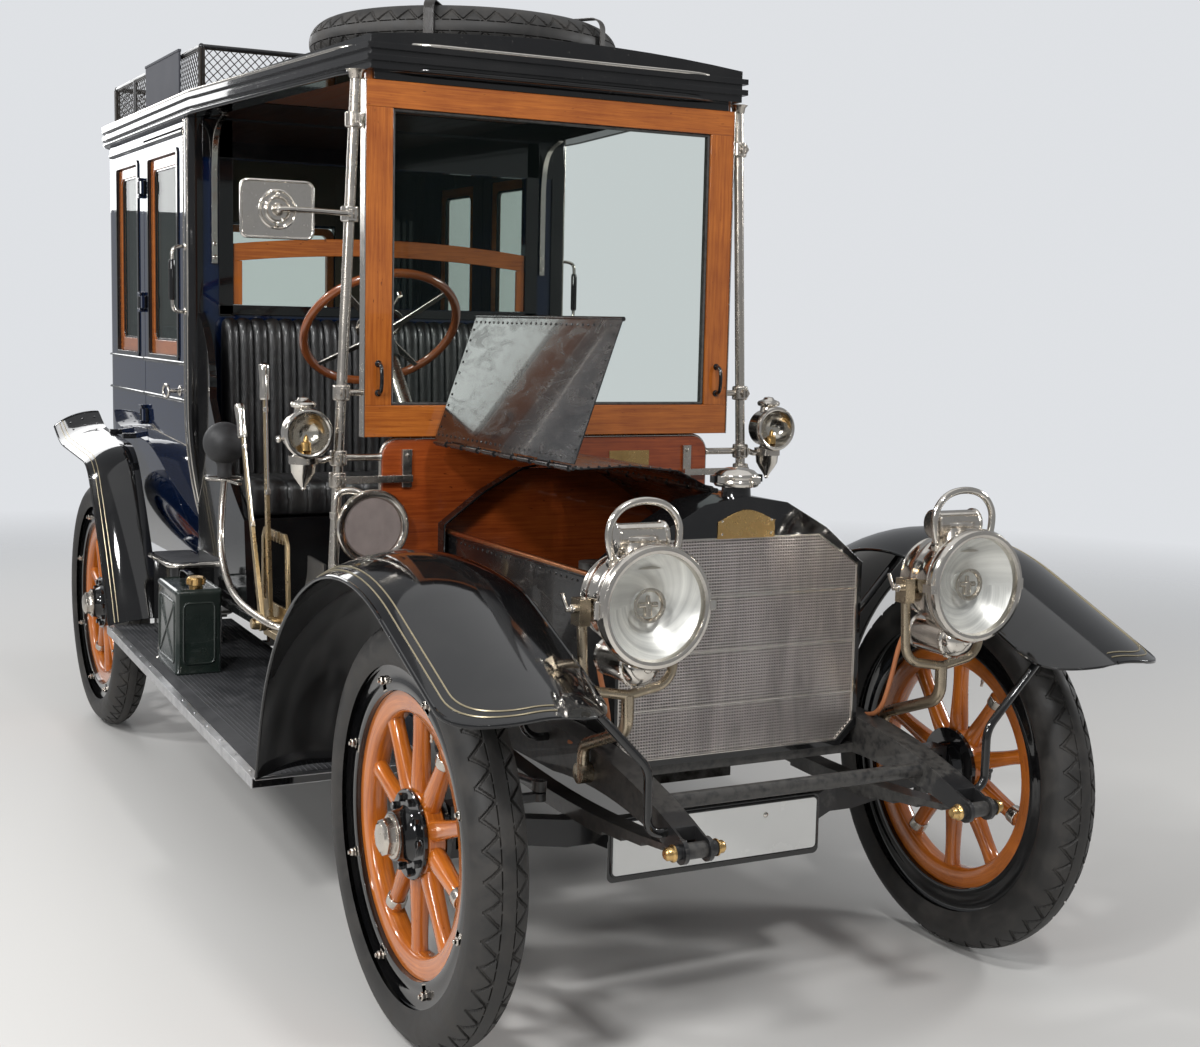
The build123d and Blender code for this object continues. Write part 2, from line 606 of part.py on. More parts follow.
def engine():
    """Crankcase, paired cylinders with their manifold, flywheel, gearbox and propeller shaft."""
    flange = RAIL_BOTTOM + RAIL_SHEET
    deck = 645
    crankcase = box((ENGINE_REAR, -130), (-130, 130), (440, 610))
    crankcase += box((-680, -150), (-110, 110), (600, deck))
    for bearer in (-540, -190):
        reach = RAIL_OUTER - RAIL_SHEET - 8
        crankcase += box((bearer, bearer + 50), (-reach, reach), (flange, flange + 35))
    cylinders = rod((-630, 105, 800), (-170, 105, 800), 26)
    for start in (-640, -380):
        cylinders += box((start, start + 220), (-75, 75), (deck + SEAT_GAP, 860))
        for bore in (start + 60, start + 160):
            cylinders += Pos(bore, 0, 860) * Cylinder(45, 60)
    for port in (-600, -460, -340, -220):
        cylinders += rod((port, 60, 800), (port, 105, 800), 20)
    cylinders += rod((-170, 0, 870), (-60, 0, 985), 22)
    flywheel_front = ENGINE_REAR - SEAT_GAP
    flywheel_rear = flywheel_front - 65
    flywheel = rod((flywheel_rear, 0, 560), (flywheel_front, 0, 560), 190)
    flywheel += rod((GEARBOX_FRONT + SEAT_GAP, 0, 540), (flywheel_rear, 0, 540), 35)
    gearbox = box((GEARBOX_REAR, GEARBOX_FRONT), (-110, 110), (430, 600))
    length = WHEELBASE - DIFFERENTIAL_RADIUS - SEAT_GAP
    shaft = rod((GEARBOX_REAR - 3, 0, SHAFT_HIGH), (-length, 0, SHAFT_LOW), SHAFT_RADIUS)
    return [crankcase, cylinders, flywheel, gearbox, shaft]


def column_line():
    foot = Vector(COLUMN_FOOT[0], COLUMN_Y, COLUMN_FOOT[1])
    head = Vector(STEERING_WHEEL_AT[0], COLUMN_Y, STEERING_WHEEL_AT[1])
    return foot, head, (head - foot).normalized()


def steering_column():
    """Steering box inside the right rail with the column tube that rises to the wheel."""
    foot, head, upward = column_line()
    inner = -RAIL_INNER + SEAT_GAP
    body = box((DROP_ARM_X - 45, DROP_ARM_X + 45), (inner, inner + 96), (DROP_SHAFT_Z - 40, RAIL_TOP - 8))
    body += rod(tuple(foot), tuple(head - upward * (37 + SEAT_GAP)), COLUMN_RADIUS)
    body += rod(tuple(head - upward * 120), tuple(head - upward * 60), COLUMN_RADIUS + 8)
    bore_end = (DROP_ARM_X, -RAIL_INNER + 60, DROP_SHAFT_Z)
    body -= rod((DROP_ARM_X, inner - 1, DROP_SHAFT_Z), bore_end, DROP_SHAFT_RADIUS + RUNNING_CLEARANCE)
    return body


def steering_wheel():
    """Round rim on four flat spokes, square to the column."""
    foot, head, upward = column_line()
    ring = Torus(STEERING_WHEEL_RADIUS - STEERING_RIM_RADIUS, STEERING_RIM_RADIUS)
    wheel = ring + Pos(0, 0, -20) * Cylinder(30, 34)
    reach = STEERING_WHEEL_RADIUS - STEERING_RIM_RADIUS
    for index in range(4):
        spoke = box((15, reach), (-8, 8), (-8, -2))
        wheel += Rot(0, 0, 45 + index * 90) * spoke
    return Plane(origin=tuple(head), x_dir=(0, 1, 0), z_dir=tuple(upward)) * wheel


def arch_outline(inset, bottom, corner):
    """The radiator's outline: the bonnet's section closed by a chamfered foot."""
    crest = [(y * (1 - inset / BONNET_HALF_WIDTH), z - inset) for y, z in BONNET_SECTION]
    half = BONNET_HALF_WIDTH - 10 - inset
    crest[-1] = (half, crest[-1][1])
    return symmetric(crest + [(half, bottom + corner), (half - corner, bottom)])


def core_outline(extra=0):
    """The core's outline: a rectangle with cut corners, the upper ones longer."""
    half = CORE_HALF_WIDTH + extra
    return symmetric([(192, CORE_TOP + extra), (half, BONNET_SHOULDER_Z - 6),
                      (half, CORE_BOTTOM + CORE_CORNER),
                      (half - CORE_CORNER, CORE_BOTTOM - extra)])


def radiator_shell():
    shell = slab_yz(arch_outline(0, CORE_BOTTOM - 12, CORE_CORNER), (RADIATOR_BACK, RADIATOR_FRONT))
    return shell - slab_yz(core_outline(SEAT_GAP), (CORE_BACK - SEAT_GAP, RADIATOR_FRONT + 1))


def radiator_core():
    """The core with its grid of open cells, three bars left whole across it."""
    core = slab_yz(core_outline(), (CORE_BACK, CORE_FACE))
    pitch_y = 2 * (CORE_HALF_WIDTH - 12) / CORE_CELLS_ACROSS
    pitch_z = (CORE_TOP - CORE_BOTTOM - 24) / CORE_CELLS_UP
    cells = []
    for column in range(CORE_CELLS_ACROSS):
        for row in range(CORE_CELLS_UP):
            y = -CORE_HALF_WIDTH + 12 + (column + 0.5) * pitch_y
            z = CORE_BOTTOM + 12 + (row + 0.5) * pitch_z
            corner = abs(y) + pitch_y / 2
            if row == 0 and corner > CORE_HALF_WIDTH - CORE_CORNER:
                continue
            if row == CORE_CELLS_UP - 1 and corner > 190:
                continue
            if row == CORE_CELLS_UP - 2 and corner > 250:
                continue
            cells.append(box((CORE_FACE - CORE_CELL_DEPTH, CORE_FACE + 1),
                             (y - pitch_y / 2 + CORE_BAR / 2, y + pitch_y / 2 - CORE_BAR / 2),
                             (z - pitch_z / 2 + CORE_BAR / 2, z + pitch_z / 2 - CORE_BAR / 2)))
    return core - cells


def filler_cap():
    """Neck and winged cap on the radiator's crest."""
    cap = upright_lathe([(0, BONNET_SECTION[1][1]), (30, BONNET_SECTION[1][1]), (28, 1142), (44, 1146),
                         (44, 1168), (36, 1176),
                         (0, 1178)])
    cap += box((-8, 8), (-62, 62), (1150, 1166))
    return Pos(60, 0, 0) * cap


def strip(points, thickness, x):
    """Sheet of even thickness bent along (y, z) points, lying below them."""
    lower = []
    for index, (y, z) in enumerate(points):
        before = points[max(index - 1, 0)]
        after = points[min(index + 1, len(points) - 1)]
        span = hypot(after[0] - before[0], after[1] - before[1])
        normal = ((after[1] - before[1]) / span, -(after[0] - before[0]) / span)
        lower.append((y + normal[0] * thickness, z + normal[1] * thickness))
    return slab_yz(list(points) + lower[::-1], x)


def knuckle_spans(first):
    """Places along a hinge for one leaf's barrels; the other leaf takes the odd ones."""
    pitch = (BONNET_FRONT - BONNET_REAR) / (2 * HINGE_KNUCKLES)
    start = BONNET_REAR + (pitch - HINGE_KNUCKLE_LENGTH) / 2
    return [(start + (2 * index + first) * pitch, start + (2 * index + first) * pitch + HINGE_KNUCKLE_LENGTH)
            for index in range(HINGE_KNUCKLES)]


def barrels(centre, rod_radius, reach, first):
    """Hinge barrels round a rod along X, each with a tab that reaches the leaf's edge."""
    outer = rod_radius + HINGE_WALL
    parts = []
    for low, high in knuckle_spans(first):
        barrel = rod((low, *centre), (high, *centre), outer)
        barrel += strip([centre, reach], SHEET, (low, high))
        barrel -= rod((low - 1, *centre), (high + 1, *centre), rod_radius + RUNNING_CLEARANCE)
        parts.append(barrel)
    return parts


def toward(start, end, distance):
    """The point at a distance from start on the way to end."""
    span = hypot(end[0] - start[0], end[1] - start[1])
    return (start[0] + (end[0] - start[0]) * distance / span,
            start[1] + (end[1] - start[1]) * distance / span)


def top_leaf(first):
    """The left top leaf, closed: crest edge to shoulder, with barrels at the crest and its shoulder rod."""
    crest, shoulder = BONNET_SECTION[0], BONNET_SECTION[-1]
    crest_edge = toward(crest, BONNET_SECTION[1], 12)
    shoulder_edge = toward(shoulder, BONNET_SECTION[-2], 10)
    points = [crest_edge, BONNET_SECTION[1], BONNET_SECTION[2], shoulder_edge]
    leaf = strip(points, SHEET, (BONNET_REAR, BONNET_FRONT))
    for part in barrels(crest, CREST_ROD_RADIUS, toward(crest, BONNET_SECTION[1], 20), first):
        leaf += part
    leaf += rod((BONNET_REAR, *shoulder), (BONNET_FRONT, *shoulder), SHOULDER_ROD_RADIUS)
    for low, high in knuckle_spans(first):
        leaf += rod((low, *shoulder), (high, *shoulder), SHOULDER_ROD_RADIUS + HINGE_WALL)
        leaf += strip([toward(shoulder, BONNET_SECTION[-2], 20), shoulder], SHEET, (low, high))
    return leaf


def side_leaf(first):
    """The left side leaf, closed: it hangs from the shoulder rod, with a rolled lower edge."""
    shoulder = BONNET_SECTION[-1]
    foot = (shoulder[0], shoulder[1] - BONNET_SIDE_LENGTH)
    leaf = strip([toward(shoulder, foot, 10), foot], SHEET, (BONNET_REAR, BONNET_FRONT))
    leaf += rod((BONNET_REAR, foot[0], foot[1]), (BONNET_FRONT, foot[0], foot[1]), 5)
    for part in barrels(shoulder, SHOULDER_ROD_RADIUS, toward(shoulder, foot, 20), first):
        leaf += part
    return leaf


def raised(shape, with_fold):
    """Moves a closed right-hand leaf to its open place."""
    shoulder = BONNET_SECTION[-1]
    if with_fold:
        shape = shape.rotate(Axis((0, -shoulder[0], shoulder[1]), (-1, 0, 0)), SIDE_LEAF_FOLDED)
    return shape.rotate(Axis((0, 0, BONNET_CREST_Z), (-1, 0, 0)), TOP_LEAF_RAISED)


def bonnet_frame():
    """What stays when the bonnet opens: lower sides, crest rod and the cowl band at the dash."""
    inner = BONNET_HALF_WIDTH - 14
    side = box((DASH_FRONT, RADIATOR_BACK), (inner - SHEET, inner), (RAIL_TOP, BONNET_SHOULDER_Z - 22))
    side += box((DASH_FRONT, RADIATOR_BACK), (inner - 16, inner), (RAIL_TOP, RAIL_TOP + SHEET))
    side += rod((DASH_FRONT, inner, BONNET_SHOULDER_Z - 22), (RADIATOR_BACK, inner, BONNET_SHOULDER_Z - 22),
                6)
    crest = rod((DASH_FRONT, 0, BONNET_CREST_Z), (RADIATOR_BACK, 0, BONNET_CREST_Z), CREST_ROD_RADIUS)
    band_points = [(-y, z) for y, z in reversed(BONNET_SECTION[1:])] + list(BONNET_SECTION[1:])
    foot = (BONNET_HALF_WIDTH, RAIL_TOP + 20)
    band_points = [(-foot[0], foot[1])] + band_points + [foot]
    band = strip(band_points, SHEET, (DASH_FRONT, BONNET_REAR - 5))
    band -= rod((DASH_FRONT - 1, 0, BONNET_CREST_Z), (BONNET_REAR, 0, BONNET_CREST_Z),
                CREST_ROD_RADIUS + SEAT_GAP)
    return [side, mirrored(side), crest, band]


def dash_board():
    """The wooden board behind the engine, round-cornered, with the column's hole."""
    foot, head, upward = column_line()
    low = FLOOR_TOP + SEAT_GAP
    outline = Plane.YZ * Pos(0, (low + DASH_TOP) / 2) * RectangleRounded(
        2 * DASH_HALF_WIDTH, DASH_TOP - low, DASH_CORNER)
    board = Pos(DASH_FRONT - DASH_THICKNESS, 0, 0) * extrude(outline, amount=DASH_THICKNESS, dir=(1, 0, 0))
    return board - rod(tuple(foot), tuple(head), COLUMN_RADIUS + 2)


def screen_frame():
    back = SCREEN_FRONT - SCREEN_THICKNESS
    frame_block = box((back, SCREEN_FRONT), (-SCREEN_HALF_WIDTH, SCREEN_HALF_WIDTH),
                      (SCREEN_BOTTOM, SCREEN_TOP))
    window = box((back - 1, SCREEN_FRONT + 1), (-GLASS_HALF_WIDTH, GLASS_HALF_WIDTH),
                 (GLASS_BOTTOM, GLASS_TOP))
    return frame_block - window


def screen_glass():
    middle = SCREEN_FRONT - SCREEN_THICKNESS / 2
    half = GLASS_HALF_WIDTH - SEAT_GAP
    return box((middle - GLASS_THICKNESS / 2, middle + GLASS_THICKNESS / 2), (-half, half),
               (GLASS_BOTTOM + SEAT_GAP, GLASS_TOP - SEAT_GAP))


def post_y(z):
    """How far out the leaning windscreen post stands at a height."""
    return POST_FOOT_Y + (POST_HEAD_Y - POST_FOOT_Y) * (z - FLOOR_TOP) / (CABIN_TOP - FLOOR_TOP)


def windscreen_post():
    """The left post with its stays to dash and screen and its side-lamp arm."""
    post = rod((POST_X, POST_FOOT_Y, FLOOR_TOP + 1), (POST_X, POST_HEAD_Y, CABIN_TOP - 1), POST_RADIUS)
    post += rod((POST_X, POST_FOOT_Y, FLOOR_TOP + SEAT_GAP), (POST_X, POST_FOOT_Y, FLOOR_TOP + 12), 26)
    for z in (800, LAMP_ARM_Z):
        post += rod((POST_X - 7, DASH_HALF_WIDTH + SEAT_GAP, z), (POST_X - 7, post_y(z), z), 9)
        post += rod((POST_X, post_y(z), z - 18), (POST_X, post_y(z), z + 18), POST_RADIUS + 7)
    for z in (1300, 1960):
        post += rod((POST_X, SCREEN_HALF_WIDTH + SEAT_GAP, z), (POST_X, post_y(z), z), 8)
    post += rod((POST_X, post_y(LAMP_ARM_Z), LAMP_ARM_Z), (POST_X, SIDE_LAMP_AT[1] - 31.2, LAMP_ARM_Z), 8)
    return post


def mirror_plate():
    """The rectangular mirror on an arm from the right post."""
    z = 1734
    arm = rod((POST_X, -post_y(z) - POST_RADIUS - 2 * SEAT_GAP, z), (POST_X, -SCREEN_HALF_WIDTH - 150, z), 7)
    arm += rod((POST_X, -SCREEN_HALF_WIDTH - 145, z), (-800, -755, z - 5), 7)
    plate = box((-808, -796), (-845, -665), (z - 70, z + 68))
    return arm + fillet(plate.edges().filter_by(Axis.X), 18)


def side_lamp():
    """A round oil lamp with a glass front, chimney and pointed font."""
    x, y, z = SIDE_LAMP_AT
    lamp = forward_lathe([(-95, 0), (-95, 30), (-70, 48), (-14, 50), (-12, SIDE_LAMP_RADIUS),
                          (0, SIDE_LAMP_RADIUS),
                          (0, SIDE_LAMP_RADIUS - 10), (-8, SIDE_LAMP_RADIUS - 12), (-6, 0)])
    font = upright_lathe([(0, -40), (22, -40), (32, -75), (30, -100), (8, -128), (0, -130)])
    chimney = upright_lathe([(0, 40), (24, 40), (22, 64), (30, 68), (26, 78), (0, 82)])
    lamp += Pos(-45, 0, 0) * (font + chimney)
    return Pos(x, y, z) * lamp


def horn():
    """The horn's round mouth and trumpet on a bracket, and its bulb on a bracket beside the levers."""
    x, y, z = (-806, -508, 968)
    mouth = forward_lathe([(0, 0), (-2, 80), (0, 92), (-6, 93), (-18, 78), (-30, 34), (-42, 26), (-150, 16),
                           (-150, 0)])
    mouth = Pos(x, y, z) * mouth
    post_face = -post_y(z) + POST_RADIUS + 2 * SEAT_GAP
    return mouth + rod((POST_X, y - 10, z), (POST_X, post_face, z), 8)


def horn_bulb():
    bulb_at = (-1590, -668, 1123)
    bulb = Pos(*bulb_at) * Sphere(60)
    neck = rod((bulb_at[0], bulb_at[1], 1026), bulb_at, 20)
    return bulb + neck


def horn_tube():
    """The bulb's tube and tray, from the bulb down to the floor's edge."""
    tray = Pos(-1590, -668, 1022) * Cylinder(52, 8)
    tube = bent_rod([(-1590, -668, 1018), (-1585, -690, 860), (-1330, -705, 715), (-1060, -690, 690),
                     (-1035, -FLOOR_HALF_WIDTH - 12, 680)], 10, [80, 120, 60])
    return tray + tube + box((-1060, -1010), (-FLOOR_HALF_WIDTH - 18, -FLOOR_HALF_WIDTH), (622, 695))


def hand_levers():
    """Gear and brake levers on one pivot, in a quadrant on the floor's right edge."""
    inner = -FLOOR_HALF_WIDTH
    quadrant = slab_xz([(-1340, 622), (-1110, 622), (-1130, 905), (-1340, 905)], (inner - 10, inner))
    quadrant -= slab_xz([(-1310, 715), (-1145, 715), (-1158, 880), (-1310, 880)], (inner - 11, inner + 1))
    pivot_x, pivot_z = -1215, 668
    levers = quadrant + rod((pivot_x, inner - 1, pivot_z), (pivot_x, inner - 58, pivot_z), 15)
    for top_x, top_z, offset in ((-1270, 1345, 26), (-1425, 1230, 48)):
        y = inner - offset
        levers += rod((pivot_x, y, pivot_z), (top_x, y, top_z), 8)
        levers += rod((top_x, y, top_z - 70), (top_x, y, top_z + 10), 14)
    return levers


def front_body():
    """Floor, toe board, seat box and the curved boards at the seat's ends."""
    half = FLOOR_HALF_WIDTH
    floor = box((CABIN_FRONT, DASH_FRONT), (-half, half), (RAIL_TOP, FLOOR_TOP))
    for sign in (-1, 1):
        low, high = sorted((sign * (DASH_HALF_WIDTH + 20), sign * half))
        floor += box((DASH_FRONT - 1, DASH_FRONT + 30), (low, high), (RAIL_TOP, FLOOR_TOP))
    toe = slab_xz([(-1130, FLOOR_TOP), (-1105, FLOOR_TOP), (-866, 790), (-866, 815)],
                  (-DASH_HALF_WIDTH, DASH_HALF_WIDTH))
    body = floor + toe
    inside = 20
    seat_box = box((CABIN_FRONT, SEAT_BOX_FRONT), (-half + 32, half - 32), (FLOOR_TOP, SEAT_BOX_TOP))
    seat_box -= box((CABIN_FRONT + inside, SEAT_BOX_FRONT - inside), (-half + 52, half - 52),
                    (FLOOR_TOP - 1, SEAT_BOX_TOP - inside))
    body += seat_box
    foot_x = SEAT_BOX_FRONT + 60
    elbow_x = SEAT_BOX_FRONT + 30
    hip_x = CABIN_FRONT + 140
    side_edges = [
        Line((CABIN_FRONT, half - 32, FLOOR_TOP), (foot_x, half - 32, FLOOR_TOP)),
        Line((foot_x, half - 32, FLOOR_TOP), (elbow_x, half - 32, 900)),
        ThreePointArc((elbow_x, half - 32, 900), (elbow_x - 210, half - 32, 1050), (hip_x, half - 32, 1230)),
        ThreePointArc((hip_x, half - 32, 1230), (hip_x - 40, half - 32, 1400),
                      (CABIN_FRONT, half - 32, 1490)),
        Line((CABIN_FRONT, half - 32, 1490), (CABIN_FRONT, half - 32, FLOOR_TOP)),
    ]
    side = extrude(make_face(side_edges), amount=22, dir=(0, 1, 0))
    body += side
    body += mirrored(side)
    foot, head, upward = column_line()
    return body - rod(tuple(foot), tuple(head), COLUMN_RADIUS + 2)


def front_seat():
    """Cushion and tall back of the driver's bench."""
    half = FLOOR_HALF_WIDTH - 36
    back_face = CABIN_FRONT + 100
    cushion = box((back_face, SEAT_BOX_FRONT - 4), (-half, half), (SEAT_BOX_TOP + SEAT_GAP, CUSHION_TOP))
    cushion = fillet(cushion.edges().filter_by(Axis.Y).group_by(Axis.Z)[-1], 30)
    rear = CABIN_FRONT + 2
    low = SEAT_BOX_TOP + SEAT_GAP
    back = slab_xz([(rear, low), (back_face - SEAT_GAP, low), (back_face - SEAT_GAP, CUSHION_TOP),
                    (back_face - 20, BACKREST_TOP - 40), (back_face - 50, BACKREST_TOP),
                    (rear, BACKREST_TOP)],
                   (-half + 40, half - 40))
    return [cushion, back]


def rear_seat():
    half = 452
    rear = CABIN_REAR + 220
    base = box((rear - 35, rear + 320), (-half, half), (CABIN_BOTTOM + 20, 900))
    cushion = box((rear, rear + 340), (-half, half), (900 + SEAT_GAP, 1010))
    cushion = fillet(cushion.edges().filter_by(Axis.Y).group_by(Axis.Z)[-1], 30)
    back = slab_xz([(rear - 120, 900 + SEAT_GAP), (rear - SEAT_GAP, 900 + SEAT_GAP), (rear - 20, 1440),
                    (rear - 140, 1440)],
                   (-half, half))
    return [base, cushion, back]


def cabin_side_y(z, inset=0):
    """Half width of the cabin below its waist, where the side tucks under in an arc."""
    tuck = CABIN_HALF_WIDTH - CABIN_FOOT_HALF_WIDTH
    drop = CABIN_WAIST - CABIN_BOTTOM
    radius = (drop ** 2 + tuck ** 2) / (2 * tuck)
    return CABIN_HALF_WIDTH - inset - radius + (radius ** 2 - (CABIN_WAIST - z) ** 2) ** 0.5


def cabin_block(inset, extra):
    """The cabin's outer form shrunk by inset, from below its foot to above its top by extra."""
    low, high = CABIN_BOTTOM - extra, CABIN_TOP + extra
    half = CABIN_HALF_WIDTH - inset
    foot = CABIN_FOOT_HALF_WIDTH - inset
    knee_z = (CABIN_BOTTOM + CABIN_WAIST) / 2
    knee = cabin_side_y(knee_z, inset)
    x_low, x_high = CABIN_REAR + inset, CABIN_FRONT - inset
    section = [
        ThreePointArc((x_low, foot, CABIN_BOTTOM), (x_low, knee, knee_z), (x_low, half, CABIN_WAIST)),
        Polyline((x_low, half, CABIN_WAIST), (x_low, half, high), (x_low, -half, high),
                 (x_low, -half, CABIN_WAIST)),
        ThreePointArc((x_low, -half, CABIN_WAIST), (x_low, -knee, knee_z), (x_low, -foot, CABIN_BOTTOM)),
        Polyline((x_low, -foot, CABIN_BOTTOM), (x_low, -foot, low), (x_low, foot, low),
                 (x_low, foot, CABIN_BOTTOM))
        if extra else Line((x_low, -foot, CABIN_BOTTOM), (x_low, foot, CABIN_BOTTOM)),
    ]
    across = extrude(make_face(section), amount=x_high - x_low, dir=(1, 0, 0))
    radius = CABIN_CORNER - inset
    plan = box((x_low, x_high), (-half, half), (low, high))
    plan = fillet(plan.edges().filter_by(Axis.Z).group_by(Axis.X)[0], radius)
    return across & plan


def door_outline(grow):
    """The door's side view grown by a margin: a tall rectangle with its lower rear swept away."""
    x_low, x_high = DOOR_REAR - grow, DOOR_FRONT + grow
    z_low, z_high = DOOR_BOTTOM - grow, DOOR_TOP + grow
    plate = box((x_low, x_high), (300, 800), (z_low, z_high))
    centre_x, centre_z = DOOR_CUT_CENTRE
    cut = rod((centre_x, 299, centre_z), (centre_x, 801, centre_z), DOOR_CUT_RADIUS - grow)
    return plate - cut


def cabin_parts():
    """Splits the cabin's shell into floor, sides, partition, back and doors, with their windows."""
    shell = cabin_block(0, 0) - cabin_block(WALL, 60)
    partition_back = CABIN_FRONT - WALL
    side_zone = box((CORNER_POST_X, partition_back), (300, 800), (CABIN_BOTTOM - 1, CABIN_TOP + 1))
    side = shell & side_zone
    window_z = (WINDOW_BOTTOM, WINDOW_TOP)
    door = side & door_outline(0)
    door -= box(DOOR_WINDOW, (300, 800), window_z)
    side -= door_outline(DOOR_GAP)
    side -= box(QUARTER_WINDOW, (300, 800), window_z)
    back_zone = box((CABIN_REAR - 1, CORNER_POST_X), (-800, 800), (CABIN_BOTTOM - 1, CABIN_TOP + 1))
    back = shell & back_zone
    back -= box((CABIN_REAR - 1, CABIN_REAR + WALL + 1), (-260, 260), (1480, 1830))
    partition_zone = box((partition_back, CABIN_FRONT), (-800, 800), (CABIN_BOTTOM - 1, CABIN_TOP + 1))
    partition = cabin_block(0, 0) & partition_zone
    partition -= box((partition_back - 1, CABIN_FRONT + 1), (-500, 500), (1515, 1960))
    floor = box((CABIN_REAR + 150, partition_back), (-CABIN_FOOT_HALF_WIDTH + WALL + 2,
                                                     CABIN_FOOT_HALF_WIDTH - WALL - 2),
                (CABIN_BOTTOM, CABIN_BOTTOM + 20))
    sills = box((CABIN_REAR + 160, partition_back), (RAIL_INNER, RAIL_OUTER), (RAIL_TOP, CABIN_BOTTOM))
    return side, back, partition, [floor + sills + mirrored(sills)], door


def pane_y(x_span):
    middle = CABIN_HALF_WIDTH - WALL / 2
    return box((x_span[0] + SEAT_GAP, x_span[1] - SEAT_GAP), (middle - GLASS_THICKNESS / 2,
                                                              middle + GLASS_THICKNESS / 2),
               (WINDOW_BOTTOM + SEAT_GAP, WINDOW_TOP - SEAT_GAP))


def fixed_glass():
    """Panes of the quarter windows, the partition, the back window and the windscreen."""
    quarter = pane_y(QUARTER_WINDOW)
    front = box((CABIN_FRONT - WALL / 2 - 2, CABIN_FRONT - WALL / 2 + 2), (-500 + SEAT_GAP, 500 - SEAT_GAP),
                (1515 + SEAT_GAP, 1960 - SEAT_GAP))
    back = box((CABIN_REAR + WALL / 2 - 2, CABIN_REAR + WALL / 2 + 2), (-260 + SEAT_GAP, 260 - SEAT_GAP),
               (1480 + SEAT_GAP, 1830 - SEAT_GAP))
    return [quarter, mirrored(quarter), front, back, screen_glass()]


def door_with_hinges(door):
    """A door with its three hinge barrels and its loop handle."""
    for z in HINGE_HEIGHTS:
        door += rod((DOOR_REAR - 2, HINGE_PIN_Y, z), (DOOR_REAR - 2, HINGE_PIN_Y, z + 40), 8)
        door += box((DOOR_REAR + 4, DOOR_REAR + 30), (CABIN_HALF_WIDTH - 4, HINGE_PIN_Y + 6), (z, z + 40))
        door += box((DOOR_REAR - 2, DOOR_REAR + 6), (HINGE_PIN_Y - 4, HINGE_PIN_Y + 4), (z, z + 40))
        door -= rod((DOOR_REAR - 2, HINGE_PIN_Y, z - 1), (DOOR_REAR - 2, HINGE_PIN_Y, z + 41),
                    4 + RUNNING_CLEARANCE)
    handle_x = DOOR_FRONT - 45
    grip_y = CABIN_HALF_WIDTH + 38
    door += rod((handle_x, CABIN_HALF_WIDTH - 5, HANDLE_Z), (handle_x, grip_y, HANDLE_Z), 7)
    door += rod((handle_x + 8, grip_y, HANDLE_Z), (handle_x - 70, grip_y, HANDLE_Z - 7), 8)
    return door


def side_with_pins(side):
    """A side wall with the hinge pins that stand on small brackets behind the door."""
    for z in HINGE_HEIGHTS:
        for low in (z - 13, z + 41):
            side += box((DOOR_REAR - 34, DOOR_REAR - DOOR_GAP), (CABIN_HALF_WIDTH - 3, HINGE_PIN_Y + 8),
                        (low, low + 12))
            side += box((DOOR_REAR - DOOR_GAP - 1, DOOR_REAR + 4), (CABIN_HALF_WIDTH + 4, HINGE_PIN_Y + 8),
                        (low, low + 12))
        side += rod((DOOR_REAR - 2, HINGE_PIN_Y, z - 2), (DOOR_REAR - 2, HINGE_PIN_Y, z + 42), 4)
    return side


def roof_plan(grow):
    """The roof's plan: narrow front, wider over the cabin, rounded corners."""
    front, rear = ROOF_FRONT + grow, ROOF_REAR - grow
    outline = [(front, -ROOF_FRONT_HALF_WIDTH - grow), (front, ROOF_FRONT_HALF_WIDTH + grow),
               (CABIN_FRONT + 80, ROOF_HALF_WIDTH + grow), (rear, ROOF_HALF_WIDTH + grow),
               (rear, -ROOF_HALF_WIDTH - grow), (CABIN_FRONT + 80, -ROOF_HALF_WIDTH - grow)]
    return outline


def roof():
    """A crowned roof on a deep rim, hollow below at the front and over the cabin, with two edge mouldings."""
    body = slab_xy(roof_plan(0), (CABIN_TOP, ROOF_TOP + 10))
    body = fillet(body.edges().filter_by(Axis.Z).group_by(Axis.X)[0], 200)
    crown = rod((ROOF_REAR - 50, 0, ROOF_TOP - ROOF_CROWN_RADIUS),
                (ROOF_FRONT + 50, 0, ROOF_TOP - ROOF_CROWN_RADIUS),
                ROOF_CROWN_RADIUS)
    body &= crown
    for low in (CABIN_TOP + 18, CABIN_TOP + 46):
        moulding = slab_xy(roof_plan(MOULDING_REACH), (low, low + 14))
        body += fillet(moulding.edges().filter_by(Axis.Z).group_by(Axis.X)[0], 200 + MOULDING_REACH)
    rib = CABIN_FRONT - WALL / 2
    taper = (ROOF_HALF_WIDTH - ROOF_FRONT_HALF_WIDTH)
    front_half = ROOF_FRONT_HALF_WIDTH - ROOF_RIM + 10
    pocket_top = CABIN_TOP + 60
    body -= slab_xy([(ROOF_FRONT - ROOF_RIM - 20, -front_half), (ROOF_FRONT - ROOF_RIM - 20, front_half),
                     (rib + 50, front_half + taper - 20), (rib + 50, -front_half - taper + 20)],
                    (CABIN_TOP - 1, pocket_top))
    inner = ROOF_HALF_WIDTH - ROOF_RIM
    body -= box((ROOF_REAR + 210, rib - 50), (-inner, inner), (CABIN_TOP - 1, pocket_top))
    back = SCREEN_FRONT - SCREEN_THICKNESS
    body += box((back, SCREEN_FRONT), (-SCREEN_HALF_WIDTH + 20, SCREEN_HALF_WIDTH - 20),
                (SCREEN_TOP + SEAT_GAP, CABIN_TOP + 1))
    return body


